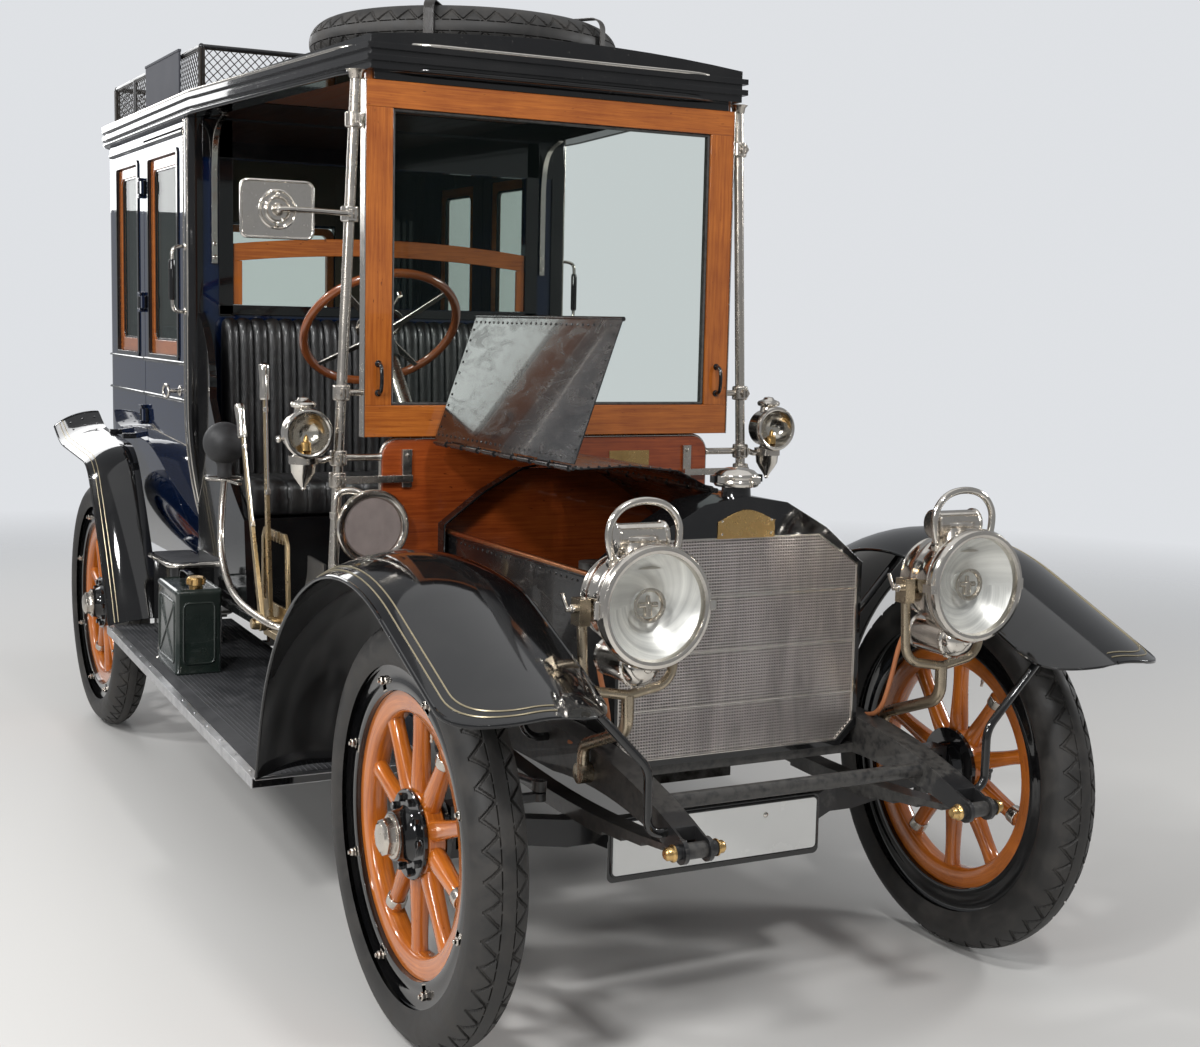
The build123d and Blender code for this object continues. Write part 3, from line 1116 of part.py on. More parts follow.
def roof_rack():
    """A low railing round the cabin's roof: top rail on short posts."""
    front, rear, half = CABIN_FRONT - 20, CABIN_REAR + 80, 590
    crown_drop = half ** 2 / (2 * ROOF_CROWN_RADIUS)
    low, high = ROOF_TOP - crown_drop + 1, ROOF_TOP + RACK_HEIGHT
    corners = [(front, -half), (front, half), (rear, half), (rear, -half)]
    rack = None
    for index, start in enumerate(corners):
        end = corners[(index + 1) % 4]
        rail = rod((*start, high), (*end, high), 7)
        rack = rail if rack is None else rack + rail
        rack += rod((*start, low), (*start, high), 8)
        rack += Pos(*start, high) * Sphere(9)
    for x in (front - 300, front - 600, front - 900):
        for side in (-half, half):
            rack += rod((x, side, low), (x, side, high), 7)
    return rack


def roof_bracket():
    """The left curved iron that holds the front roof to the cabin."""
    x = CABIN_FRONT + 8
    y = CABIN_HALF_WIDTH - 77
    return bent_rod([(x, y, 1700), (x, y, 1960), (x + 130, y, CABIN_TOP - SEAT_GAP)], 8, 120)


def wing_path(start, heading, segments):
    """Stations along a chain of tangent (radius, turn) arcs and (None, length) lines in the XZ plane."""
    x, z = start
    stations = []
    for radius, amount in segments:
        stations.append((x, z, heading, radius, amount))
        if radius is None:
            x += amount * cos(radians(heading))
            z += amount * sin(radians(heading))
        else:
            turn = heading + amount
            sign = 1 if amount > 0 else -1
            x += sign * radius * (sin(radians(turn)) - sin(radians(heading)))
            z += sign * radius * (cos(radians(heading)) - cos(radians(turn)))
            heading = turn
    return stations


def wing_section(x, z, heading, points, thickness):
    """A curved sheet's section square to the path: (y, outward offset) at its edges and middle."""
    outward = (sin(radians(heading)), -cos(radians(heading)))

    def place(y, offset):
        return (x + outward[0] * offset, y, z + outward[1] * offset)

    outer = [place(y, offset) for y, offset in points]
    inner = [place(y, offset - thickness) for y, offset in points]
    edges = [ThreePointArc(*outer), Line(outer[2], inner[2]), ThreePointArc(*inner), Line(inner[0], outer[0])]
    return make_face(edges)


def wing(start, heading, segments, points, thickness=WING_THICKNESS):
    """A wing built from its section swept along lines and revolved along arcs."""
    whole = None
    for x, z, angle, radius, amount in wing_path(start, heading, segments):
        face = wing_section(x, z, angle, points, thickness)
        if radius is None:
            piece = extrude(face, amount=amount, dir=(cos(radians(angle)), 0, sin(radians(angle))))
        else:
            side = 1 if amount > 0 else -1
            centre = (x - side * radius * sin(radians(angle)), 0, z + side * radius * cos(radians(angle)))
            piece = revolve(face, Axis(centre, (0, -side, 0)), abs(amount))
        whole = piece if whole is None else whole + piece
    return whole


def front_wing():
    """The left front wing with its rounded nose, and the two stays that carry it from the rail."""
    middle = (FRONT_WING_INNER + FRONT_WING_OUTER) / 2
    points = [(FRONT_WING_INNER, 0), (middle, FRONT_WING_CROWN), (FRONT_WING_OUTER, 0)]
    blade = wing(FRONT_WING_START, FRONT_WING_HEADING, FRONT_WING_RUNS, points)
    nose_x = FRONT_WING_START[0] + FRONT_WING_CROWN * sin(radians(FRONT_WING_HEADING))
    plan = box((BOARD_FRONT[0] - 100, nose_x), (FRONT_WING_INNER - 1, FRONT_WING_OUTER + 1),
               (0, BONNET_CREST_Z + 100))
    blade &= fillet(plan.edges().filter_by(Axis.Z).group_by(Axis.X)[-1], FRONT_WING_NOSE)
    beyond = 80
    above = [(y, offset + beyond) for y, offset in points]
    seat = wing(FRONT_WING_START, FRONT_WING_HEADING, FRONT_WING_RUNS, above,
                beyond + WING_THICKNESS + SEAT_GAP)
    rear_stay = bent_rod([(-90, RAIL_OUTER, 590), (-90, 430, 590), (-90, 430, 800), (-90, 617, 998)], 9,
                         [45, 80])
    front_stay = bent_rod([(430, RAIL_OUTER, 522), (430, 410, 522), (430, 410, 650), (430, 577, 824)], 9,
                          [30, 60])
    return [blade, rear_stay - seat, front_stay - seat]


def rear_wing():
    """The left rear wing with its flared tail, and two stays from the cabin's side."""
    middle = (REAR_WING_INNER + REAR_WING_OUTER) / 2
    points = [(REAR_WING_INNER, REAR_WING_RISE), (middle + 15, REAR_WING_RISE * 0.72), (REAR_WING_OUTER, 0)]
    blade = wing((BOARD_REAR[0] + 10, BOARD_REAR[1] + 3), 117,
                 [(3200, 9.5), (160, 49.5), (None, 360), (350, -20), (None, 75)], points)
    for x in (148 - WHEELBASE, -72 - WHEELBASE):
        blade += box((x - 12, x + 12), (cabin_side_y(1062) + SEAT_GAP, REAR_WING_INNER + 18), (1044, 1062))
    return blade


def board_top(x):
    """Height of the sloping running board's upper face."""
    slope = (BOARD_REAR[1] - BOARD_FRONT[1]) / (BOARD_REAR[0] - BOARD_FRONT[0])
    return BOARD_FRONT[1] + slope * (x - BOARD_FRONT[0])


def running_board():
    """The left board, a plank that rises and narrows a little to the rear, on two irons from the rail."""
    front_x, front_z = BOARD_FRONT
    rear_x, rear_z = BOARD_REAR
    plan = slab_xy([(front_x, BOARD_INNER), (front_x, FRONT_WING_OUTER), (rear_x, REAR_WING_OUTER),
                    (rear_x, BOARD_INNER)],
                   (0, 1000))
    side = slab_xz([(front_x, front_z), (rear_x, rear_z), (rear_x, rear_z - BOARD_THICKNESS),
                    (front_x, front_z - BOARD_THICKNESS)], (0, 1000))
    board = plan & side
    for x in (-1000, -1600, BOARD_REAR[0] + 290):
        under = board_top(x) - BOARD_THICKNESS
        board += box((x - 18, x + 18), (RAIL_INNER, FRONT_WING_OUTER - 60), (under - 10, under + 4))
        board += box((x - 18, x + 18), (RAIL_INNER + 10, RAIL_OUTER - 10), (under - 10, RAIL_BOTTOM))
    return board


def fuel_can():
    """An upright can that stands square on the sloping board, with a screw cap and a folded handle."""
    length, width, height = CAN_SIZE
    can = box((-length / 2, length / 2), (-width / 2, width / 2), (SEAT_GAP, height))
    can = fillet(can.edges().filter_by(Axis.Z), 8)
    can -= box((-length / 2 + 6, length / 2 - 6), (-width / 2 + 6, width / 2 - 6), (height - 9, height + 1))
    can += Pos(length / 2 - 45, 0, height) * Cylinder(23, 40)
    can += box((-length / 2 + 30, length / 2 - 90), (-6, 6), (height - 10, height + 16))
    tilt = degrees(atan2(BOARD_REAR[1] - BOARD_FRONT[1], BOARD_FRONT[0] - BOARD_REAR[0]))
    return Pos(CAN_AT[0], CAN_AT[1], board_top(CAN_AT[0])) * Rot(0, tilt, 0) * can


def tool_box():
    """The box between the board and the door's step plate, standing on the sloping board."""
    rear, front = TOOL_BOX_X
    outer, inner = TOOL_BOX_Y
    top = DOOR_BOTTOM - STEP_CLEARANCE - STEP_THICKNESS
    chest = slab_xz([(rear, board_top(rear) + SEAT_GAP), (front, board_top(front) + SEAT_GAP), (front, top),
                     (rear, top)],
                    (outer, inner))
    chest = fillet(chest.edges().filter_by(Axis.Z).group_by(Axis.Y)[0], 30)
    step = box((rear - 10, front + 10), (outer - 10, inner), (top, top + STEP_THICKNESS))
    return chest + fillet(step.edges().filter_by(Axis.Z).group_by(Axis.Y)[0], 40)


def headlamp():
    """A gas lamp: drum with a deep rounded rim, chimney, cross tube, bail, and generator slung below."""
    x, y, z = HEADLAMP_AT
    r = HEADLAMP_RIM_RADIUS
    lamp = forward_lathe([(-6, r), (0, r - 7), (-2, r - 16), (-12, r - 22), (-60, 40), (-60, 0),
                          (-HEADLAMP_LENGTH, 0),
                          (-HEADLAMP_LENGTH, 52), (-HEADLAMP_LENGTH + 30, 84), (-70, 92), (-36, r - 9),
                          (-28, r)])
    chimney = upright_lathe([(0, 80), (42, 80), (34, 102), (0, 102)])
    lamp += Pos(-90, 0, 0) * chimney
    tube_z = 124
    lamp += rod((-90, -58, tube_z), (-90, 52, tube_z), 30)
    lamp -= rod((-90, -59, tube_z), (-90, -15, tube_z), 26)
    lamp -= rod((-90, 15, tube_z), (-90, 53, tube_z), 26)
    generator = forward_lathe([(-196, 0), (-196, 34), (-188, 40), (-62, 40), (-44, 30), (-36, 14), (-34, 0)])
    lamp += Pos(0, 0, -124) * generator
    for sign in (-1, 1):
        lamp += rod((-110, sign * 80, -12), (-110, sign * (LAMP_BOSS_Y - SEAT_GAP), -12), 10)
    lamp += bent_rod([(-60, -62, 60), (-60, -78, 150), (-60, -40, 196), (-60, 40, 196), (-60, 78, 150),
                      (-60, 62, 60)], 8, 26)
    return Pos(x, y, z) * lamp


def lamp_bracket():
    """A forked iron that rises from the rail and carries the headlamp by its two sides."""
    x, y, z = HEADLAMP_AT
    fork_z = z - 190
    foot_y = RAIL_OUTER + 16
    stem = bent_rod([(110, foot_y, 548), (110, foot_y, 620), (x - 110, y, 690), (x - 110, y, fork_z)], 13,
                    [35, 45])
    for sign in (-1, 1):
        stem += bent_rod([(x - 110, y, fork_z), (x - 110, y + sign * 98, fork_z + 18),
                          (x - 110, y + sign * 106, z - 10)],
                         10, 45)
        boss = sorted((y + sign * LAMP_BOSS_Y, y + sign * (LAMP_BOSS_Y + 24)))
        stem += box((x - 128, x - 92), boss, (z - 44, z + 8))
    stem += rod((110, RAIL_OUTER, 560), (110, RAIL_OUTER + 28, 560), 22)
    return stem


def number_plate():
    """The blank plate on its holder, which two brackets carry from the front axle's face."""
    y_low, y_high = PLATE_Y
    z_low, z_high = PLATE_Z
    back = PLATE_X - 4
    plate = box((PLATE_X, PLATE_X + 3), PLATE_Y, PLATE_Z)
    holder = box((back, PLATE_X), (y_low - 8, y_high + 8), (z_low - 12, z_high + 5))
    for y in (y_low + 140, y_high - 140):
        holder += box((AXLE_HALF_THICKNESS, back), (y - 12, y + 12), (z_low + 89, z_low + 98))
    return [plate, holder]


def build():
    side, back, partition, floor, door = cabin_parts()
    side = side_with_pins(side)
    door = door_with_hinges(door)
    for name, x, label_side in (("front_left", 0, 1), ("front_right", 0, -1), ("rear_left", -WHEELBASE, 1),
                                ("rear_right", -WHEELBASE, -1)):
        rear = x < 0
        bore = (REAR_SPINDLE_RADIUS if rear else SPINDLE_RADIUS) + RUNNING_CLEARANCE
        export(f"wheel_{name}", at_wheel(wood_wheel(), x, label_side))
        export(f"hub_rim_{name}", at_wheel(hub(bore, rear), x, label_side), at_wheel(rim(), x, label_side))
        export(f"tyre_{name}", at_wheel(tyre(), x, label_side))
    spare = Pos(SPARE_X, 0, ROOF_TOP + TYRE_WIDTH / 2 + SEAT_GAP) * Rot(90, 0, 0) * tyre()
    export("spare_tyre", spare)
    export("frame_rails", *frame())
    front_pack = leaf_spring(0, FRONT_SPRING_HALF, AXLE_SEAT_Z + SEAT_GAP, SPRING_EYE_Z)
    seat = TYRE_RADIUS - REAR_TUBE_RADIUS - LEAVES * LEAF_THICKNESS - 2 * SEAT_GAP
    rear_pack = leaf_spring(-WHEELBASE, REAR_SPRING_HALF, seat, REAR_SPRING_EYE_Z)
    export("leaf_springs", front_pack, mirrored(front_pack), rear_pack, mirrored(rear_pack))
    export("front_axle", front_axle())
    export("rear_axle", rear_axle())
    export("engine_and_gearbox", *engine())
    export("knuckle_left", knuckle(False))
    export("knuckle_right", mirrored(knuckle(True)))
    export("tie_rod", tie_rod())
    export("drag_link", drag_link())
    export("drop_arm", drop_arm())
    export("steering_column", steering_column())
    export("steering_wheel", steering_wheel())
    export("radiator_shell", radiator_shell() + filler_cap())
    export("radiator_core", radiator_core())
    export("bonnet_frame", *bonnet_frame())
    export("bonnet_top_left", top_leaf(0))
    export("bonnet_side_left", side_leaf(1))
    export("bonnet_top_right", raised(mirrored(top_leaf(1)), False))
    export("bonnet_side_right", raised(mirrored(side_leaf(0)), True))
    export("dash_board", dash_board())
    export("windscreen_frame", screen_frame())
    export("fixed_glass", *fixed_glass())
    post = windscreen_post()
    bracket = roof_bracket()
    export("roof_posts", post, mirrored(post), bracket, mirrored(bracket))
    export("rear_view_mirror", mirror_plate())
    lamp = side_lamp()
    export("side_lamps", lamp, mirrored(lamp))
    export("horn", horn(), horn_tube())
    export("horn_bulb", horn_bulb())
    export("hand_levers", hand_levers())
    export("front_body", front_body())
    export("seats", *front_seat(), *rear_seat())
    export("cabin_floor", *floor)
    export("cabin_sides", side, mirrored(side))
    export("cabin_ends", partition, back)
    export("door_left", door)
    export("door_right", mirrored(door))
    glass = pane_y(DOOR_WINDOW)
    export("door_glass_left", glass)
    export("door_glass_right", mirrored(glass))
    export("roof", roof())
    export("roof_rack", roof_rack())
    for name, pieces in (("wings", (*front_wing(), rear_wing())), ("running_boards", (running_board(),)),
                         ("headlamps", (headlamp(),)), ("headlamp_brackets", (lamp_bracket(),))):
        export(name, *pieces, *[mirrored(piece) for piece in pieces])
    export("fuel_can", fuel_can())
    export("tool_box", tool_box())
    export("number_plate", *number_plate())


build()
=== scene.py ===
import json
from math import atan2, cos, degrees, pi, radians, sin

import bmesh
import bpy
import numpy as np
from mathutils import Matrix, Vector


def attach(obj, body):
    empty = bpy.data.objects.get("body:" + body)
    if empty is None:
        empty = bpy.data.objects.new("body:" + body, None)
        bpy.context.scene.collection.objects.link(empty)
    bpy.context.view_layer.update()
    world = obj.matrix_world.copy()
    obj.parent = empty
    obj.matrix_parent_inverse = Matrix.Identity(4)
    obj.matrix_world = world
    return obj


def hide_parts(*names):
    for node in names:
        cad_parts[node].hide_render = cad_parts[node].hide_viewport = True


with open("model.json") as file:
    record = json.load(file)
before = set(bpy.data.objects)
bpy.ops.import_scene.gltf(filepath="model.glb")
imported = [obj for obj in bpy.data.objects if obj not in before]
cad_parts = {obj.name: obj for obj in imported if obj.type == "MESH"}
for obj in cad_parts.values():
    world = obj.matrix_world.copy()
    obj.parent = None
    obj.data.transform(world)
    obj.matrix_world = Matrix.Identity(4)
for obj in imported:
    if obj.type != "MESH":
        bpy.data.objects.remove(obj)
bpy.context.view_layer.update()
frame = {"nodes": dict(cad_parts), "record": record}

# Studio
# A pale floor under one wide soft lamp, with smaller lamps round it that glint in paint and nickel. The
# camera stands where the photograph was taken, three metres ahead of the car's right front wheel.
FRONT_AXLE_X = 1.4715
CAMERA_AT = (4.61556, -1.95807, 1.48394)
CAMERA_RIGHT = (0.46432, 0.88538, 0.02244)
CAMERA_UP = (-0.11439, 0.03483, 0.99283)
CAMERA_BACK = (0.87825, -0.46356, 0.11745)
CAMERA_LENS = 50.81
CAMERA_SENSOR = 36
FLOOR_TINT = (0.62, 0.61, 0.59)
FLOOR_ROUGHNESS = 0.55
FLOOR_REACH = 14
# The floor fades out between these distances from the car's middle.
FLOOR_FADE = (2.6, 8.5)
SKY_TINT = (0.80, 0.82, 0.85)
# The sky is brighter where the camera sees it than as a light on the car.
SKY_LIGHT = 0.34
SKY_SEEN = 0.92
# Each lamp: name, place, the point it faces, width, height, watts.
LAMPS = (("overhead", (0.6, 0.2, 5.2), (0.2, 0, 0.8), 7.0, 5.0, 52),
         ("right_side", (4.4, -6.0, 3.2), (0.4, -0.2, 0.9), 1.5, 1.1, 130),
         ("spot_front", (4.2, -0.4, 4.0), (1.2, -0.2, 0.8), 0.4, 0.4, 62),
         ("spot_nose", (3.4, -3.0, 3.6), (1.2, -0.6, 0.8), 0.4, 0.4, 60),
         ("spot_right", (0.6, -3.8, 3.9), (0.2, -0.6, 0.9), 0.4, 0.4, 60),
         ("spot_cabin", (-1.8, -4.0, 3.8), (-0.9, -0.6, 1.1), 0.4, 0.4, 60),
         ("left_side", (1.6, 5.2, 3.0), (0.2, 0.2, 0.9), 1.2, 0.9, 90),
         ("rear", (-5.4, -1.2, 3.0), (-1.0, 0, 1.0), 3.0, 2.0, 70))

scene = bpy.context.scene
scene.view_settings.view_transform = "Standard"

camera_data = bpy.data.cameras.new("photograph")
camera_data.lens = CAMERA_LENS
camera_data.sensor_width = CAMERA_SENSOR
camera = bpy.data.objects.new("photograph", camera_data)
scene.collection.objects.link(camera)
turn = Matrix((CAMERA_RIGHT, CAMERA_UP, CAMERA_BACK)).transposed().to_4x4()
camera.matrix_world = Matrix.Translation(CAMERA_AT) @ turn
scene.camera = camera

for lamp_name, place, target, width, height, watts in LAMPS:
    lamp_data = bpy.data.lights.new(lamp_name, "AREA")
    lamp_data.shape = "RECTANGLE"
    lamp_data.size = width
    lamp_data.size_y = height
    lamp_data.energy = watts
    lamp = bpy.data.objects.new(lamp_name, lamp_data)
    scene.collection.objects.link(lamp)
    lamp.location = place
    lamp.rotation_euler = (Vector(target) - Vector(place)).to_track_quat("-Z", "Y").to_euler()

world = bpy.data.worlds.new("studio")
scene.world = world
world.use_nodes = True
sky_nodes = world.node_tree.nodes
sky_links = world.node_tree.links
ambient = sky_nodes["Background"]
ambient.inputs["Color"].default_value = (*SKY_TINT, 1)
ambient.inputs["Strength"].default_value = SKY_LIGHT
backdrop = sky_nodes.new("ShaderNodeBackground")
backdrop.inputs["Color"].default_value = (*SKY_TINT, 1)
backdrop.inputs["Strength"].default_value = SKY_SEEN
light_path = sky_nodes.new("ShaderNodeLightPath")
seen = sky_nodes.new("ShaderNodeMath")
seen.operation = "MAXIMUM"
sky_links.new(light_path.outputs["Is Camera Ray"], seen.inputs[0])
sky_links.new(light_path.outputs["Is Transmission Ray"], seen.inputs[1])
choose = sky_nodes.new("ShaderNodeMixShader")
sky_links.new(seen.outputs[0], choose.inputs[0])
sky_links.new(ambient.outputs[0], choose.inputs[1])
sky_links.new(backdrop.outputs[0], choose.inputs[2])
sky_links.new(choose.outputs[0], sky_nodes["World Output"].inputs["Surface"])

# Frame, axles and springs
# Pressed steel channel rails with forged dumb irons, a forged front beam and half-elliptic springs.
# All of it is brushed with black chassis enamel, which lies thicker in corners and wears at edges.
WELD_DISTANCE = 0.00002
SHARP_ANGLE = radians(32)
CHASSIS_BLACK = (0.011, 0.011, 0.012)
CHASSIS_WORN = (0.055, 0.052, 0.048)


class Value:
    """A number that varies over a surface: each operator adds one Math node to its finish."""

    def __init__(self, finish, socket):
        self.finish = finish
        self.socket = socket

    def math(self, operation, *others):
        return self.finish.node("Math", {"operation": operation}, self, *others)

    def __add__(self, other):
        return self.math("ADD", other)

    def __rsub__(self, other):
        return self.finish.node("Math", {"operation": "SUBTRACT"}, other, self)

    def __mul__(self, other):
        return self.math("MULTIPLY", other)

    __radd__ = __add__
    __rmul__ = __mul__


class Finish:
    """A material on one principled shader, made of nodes that node() adds."""

    def __init__(self, name, colour, roughness, metallic=0.0, coat=0.0, **constants):
        self.material = bpy.data.materials.new(name)
        self.material.use_nodes = True
        self.tree = self.material.node_tree
        self.shader = self.tree.nodes["Principled BSDF"]
        self.set("Base Color", colour)
        self.set("Roughness", roughness)
        self.set("Metallic", metallic)
        self.set("Coat Weight", coat)
        self.set("Coat Roughness", 0.03)
        for label, value in constants.items():
            self.set(label.replace("_", " ").title().replace("Ior", "IOR"), value)

    def set(self, label, value):
        """Puts a value or a link on one of the shader's sockets."""
        self.feed(self.shader.inputs[label], value)

    def feed(self, socket, value):
        if isinstance(value, Value):
            self.tree.links.new(value.socket, socket)
        elif isinstance(value, tuple) and len(value) == 3 and len(socket.default_value) == 4:
            socket.default_value = (*value, 1)
        else:
            socket.default_value = value

    def node(self, kind, settings, *values, output=0, **named):
        """Adds a node: its settings first, then its inputs by place or by name; gives one output."""
        made = self.tree.nodes.new("ShaderNode" + kind)
        for label, value in settings.items():
            setattr(made, label, value)
        for socket, value in zip(made.inputs, values):
            self.feed(socket, value)
        for label, value in named.items():
            self.feed(made.inputs[label.replace("_", " ")], value)
        return Value(self, made.outputs[output])

    def place(self, scale=(1, 1, 1)):
        """Object coordinates through a Mapping node, so that a pattern can be stretched."""
        coordinates = self.node("TexCoord", {}, output="Object")
        return self.node("Mapping", {}, Vector=coordinates, Scale=scale)

    def along(self, scale):
        """A piece's own grain coordinates in metres: along it first, then across it."""
        grain = self.node("Attribute", {"attribute_name": "grain"}, output="Vector")
        return self.node("Mapping", {}, Vector=grain, Scale=scale)

    def noise(self, vector, scale, detail, roughness=0.55, distortion=0.0):
        return self.node("TexNoise", {}, Vector=vector, Scale=scale, Detail=detail, Roughness=roughness,
                         Distortion=distortion)

    def band(self, value, low, high, start=0.0, end=1.0):
        """A value from low to high laid out from start to end, clamped."""
        return self.node("MapRange", {"clamp": True}, value, low, high, start, end)

    def blend(self, factor, first, second):
        mixer = self.tree.nodes.new("ShaderNodeMix")
        mixer.data_type = "RGBA"
        colour_sockets = [socket for socket in mixer.inputs if socket.type == "RGBA"]
        self.feed(mixer.inputs[0], factor)
        self.feed(colour_sockets[0], first)
        self.feed(colour_sockets[1], second)
        return Value(self, [socket for socket in mixer.outputs if socket.type == "RGBA"][0])

    def relief(self, *heights, rounding=0.0):
        """Bump from (height, strength, distance) triples, over edges softened by a bevel."""
        under = {"Normal": self.node("Bevel", {"samples": 4}, Radius=rounding)} if rounding else {}
        for height, strength, distance in heights:
            normal = self.node("Bump", {}, Height=height, Strength=strength, Distance=distance, **under)
            under = {"Normal": normal}
        self.set("Normal", normal)

    def wear(self, amount):
        """How much an outward edge shows at a point, from 0 to 1."""
        return self.band(self.pointiness(), 0.52, 0.60) * amount

    def hollow(self, deepest):
        """How much a point lies in a hollow, from 0 to 1."""
        return self.band(self.pointiness(), deepest, 0.50, 1.0, 0.0)

    def pointiness(self):
        return self.node("NewGeometry", {}, output="Pointiness")


def black_iron_finish():
    """Brushed black enamel on forgings: fine brush ripple, dusty patches, thin grey wear on edges."""
    finish = Finish("black_iron", CHASSIS_BLACK, 0.42, coat=0.25)
    here = finish.place()
    dust = finish.band(finish.noise(here, 7, 5), 0.45, 0.72)
    ripple = finish.noise(finish.place((3, 40, 40)), 6, 3)
    scuffs = finish.band(finish.noise(here, 60, 4) + finish.wear(0.5), 0.80, 1.05)
    colour = finish.blend(dust * 0.35, CHASSIS_BLACK, CHASSIS_WORN)
    finish.set("Base Color", finish.blend(scuffs, colour, CHASSIS_WORN))
    finish.set("Roughness", 0.34 + dust * 0.22 + scuffs * 0.1)
    finish.relief((ripple, 0.12, 0.0006), (finish.noise(here, 240, 2), 0.06, 0.0003), rounding=0.0018)
    return finish.material


def softened(node, material):
    """A welded copy of a CAD node, smooth but for its sharp edges, that stands for the node."""
    source = frame["nodes"][node]
    mesh = source.data.copy()
    mesh.materials.clear()
    mesh.materials.append(material)
    welded = bmesh.new()
    welded.from_mesh(mesh)
    bmesh.ops.remove_doubles(welded, verts=welded.verts, dist=WELD_DISTANCE)
    for face in welded.faces:
        face.smooth = True
        face.material_index = 0
    for edge in welded.edges:
        if edge.is_manifold:
            edge.smooth = edge.calc_face_angle(0) < SHARP_ANGLE
        else:
            edge.smooth = False
    welded.to_mesh(mesh)
    welded.free()
    copy = bpy.data.objects.new(node + "_finished", mesh)
    scene.collection.objects.link(copy)
    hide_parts(node)
    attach(copy, body_of_node(node))
    return copy


def body_of_node(node):
    """The record's body that carries a node."""
    bodies = frame["record"]["behaviour"]["bodies"]
    return next(body for body, nodes in bodies.items() if node in nodes)


black_iron = black_iron_finish()
for iron_node in ("frame_rails", "leaf_springs", "front_axle", "rear_axle", "knuckle_left", "knuckle_right",
                  "tie_rod", "drag_link", "drop_arm", "steering_column"):
    softened(iron_node, black_iron)

# Wheels
# Artillery wheels: ten ash spokes mitred into the nave and let into a bent felloe, varnished orange,
# between black flanges on a turned hub with a nickel cap; eight nutted clamps hold the rim's lips.
MM = 0.001
BEVEL_SEGMENTS = 2
WHEELBASE = 3048
WHEELS = (("front_left", 0), ("front_right", 0), ("rear_left", -WHEELBASE), ("rear_right", -WHEELBASE))
WHEEL_Y = 697
AXLE_HEIGHT = 440
SPOKE_COUNT = 10
# Spokes: distance from the centre, half width round the wheel, half width across it.
SPOKE_STATIONS = ((62, 20, 15), (84, 24, 19), (108, 22, 21), (150, 19, 19), (200, 17, 17), (232, 18, 17),
                  (244, 21, 17), (252, 22, 16))
# Below 1 this power squares up the spoke's oval.
SPOKE_POWER = 0.82
FELLOE_INNER = 247
FELLOE_OUTER = 294
FELLOE_HALF_WIDTH = 24
CLAMP_COUNT = 8
CLAMP_RADIUS = 333
NUT_CHAMFER = 1.5
TREAD_PITCHES = 46
TREAD_DEPTH = 6.0
# The tyre: its centre line's radius, its section's radius, how far the tread is flattened, its greatest
# radius, and the height of the thin rib on each side wall.
TYRE_CENTRE = 380
TYRE_SECTION = 60
TREAD_FLATTENING = 2.2
TYRE_LIMIT = 439.8
SIDE_RIB = 0.8
VARNISH_LIGHT = (0.64, 0.185, 0.020)
VARNISH_DARK = (0.30, 0.064, 0.007)
VARNISH_KNOT = (0.11, 0.022, 0.004)
NICKEL = (0.66, 0.61, 0.545)
NICKEL_DULL = (0.36, 0.32, 0.275)
RUBBER = (0.020, 0.019, 0.018)
RUBBER_DUSTY = (0.082, 0.074, 0.066)


class Shape:
    """Corners in millimetres from the front axle, groups of like-sided faces, and each corner's grain."""

    def __init__(self, corners, faces, grain=None):
        self.corners = np.asarray(corners, float).reshape(-1, 3)
        self.faces = [np.asarray(group, int) for group in faces]
        self.grain = self.corners.copy() if grain is None else np.asarray(grain, float).reshape(-1, 3)

    def __add__(self, other):
        return joined([self, other])

    def changed(self, corners, flipped=False):
        faces = [group[:, ::-1] for group in self.faces] if flipped else self.faces
        return Shape(corners, faces, self.grain)

    def moved(self, x=0, y=0, z=0):
        return self.changed(self.corners + np.array((x, y, z), float))

    def turned(self, axis, angle, about=(0, 0, 0)):
        """Turned by degrees about an axis letter or a direction, through a point."""
        rotation = np.array(Matrix.Rotation(radians(angle), 3, axis))
        return self.changed((self.corners - about) @ rotation.T + about)

    def across(self):
        """The same piece on the car's other side."""
        return self.changed(self.corners * (1, -1, 1), flipped=True)

    def both(self):
        return self + self.across()

    def copies(self, places, turns=None):
        """One shape of many copies, each turned by its own 3 x 3 turn and then moved to its place."""
        places = np.asarray(places, float).reshape(-1, 1, 3)
        if turns is None:
            corners = self.corners[None] + places
        else:
            corners = np.einsum("cij,nj->cni", np.asarray(turns, float), self.corners) + places
        shifts = np.arange(len(places)) * len(self.corners)
        faces = [(group[None] + shifts[:, None, None]).reshape(-1, group.shape[1]) for group in self.faces]
        return Shape(corners, faces, np.tile(self.grain, (len(places), 1)))


def joined(shapes):
    shapes = list(shapes)
    starts = np.cumsum([0] + [len(shape.corners) for shape in shapes])
    faces = [group + start for shape, start in zip(shapes, starts) for group in shape.faces]
    grain = np.vstack([shape.grain for shape in shapes])
    return Shape(np.vstack([shape.corners for shape in shapes]), faces, grain)


def triples(first, second, third):
    """Points or sizes by their three parts, each an array or one number for all."""
    return np.stack(np.broadcast_arrays(first, second, third), -1)


def grid(points, wrap_u=False, wrap_v=False, grain=None):
    """The surface through points[u, v]: a quad between each four neighbours, closed round where it wraps."""
    rows, columns = points.shape[:2]
    index = np.arange(rows * columns).reshape(rows, columns)
    if wrap_u:
        index = np.vstack([index, index[:1]])
    if wrap_v:
        index = np.hstack([index, index[:, :1]])
    quads = np.stack([index[:-1, :-1], index[1:, :-1], index[1:, 1:], index[:-1, 1:]], -1).reshape(-1, 4)
    return Shape(points, [quads], grain)


def loft(rings, grain=None):
    """A closed form through rings of points, with a face over its first ring and its last."""
    count, rim = len(rings), np.arange(rings.shape[1])
    side = grid(rings, wrap_v=True, grain=grain)
    return Shape(side.corners, side.faces + [[rim[::-1]], [rim + (count - 1) * len(rim)]], side.grain)


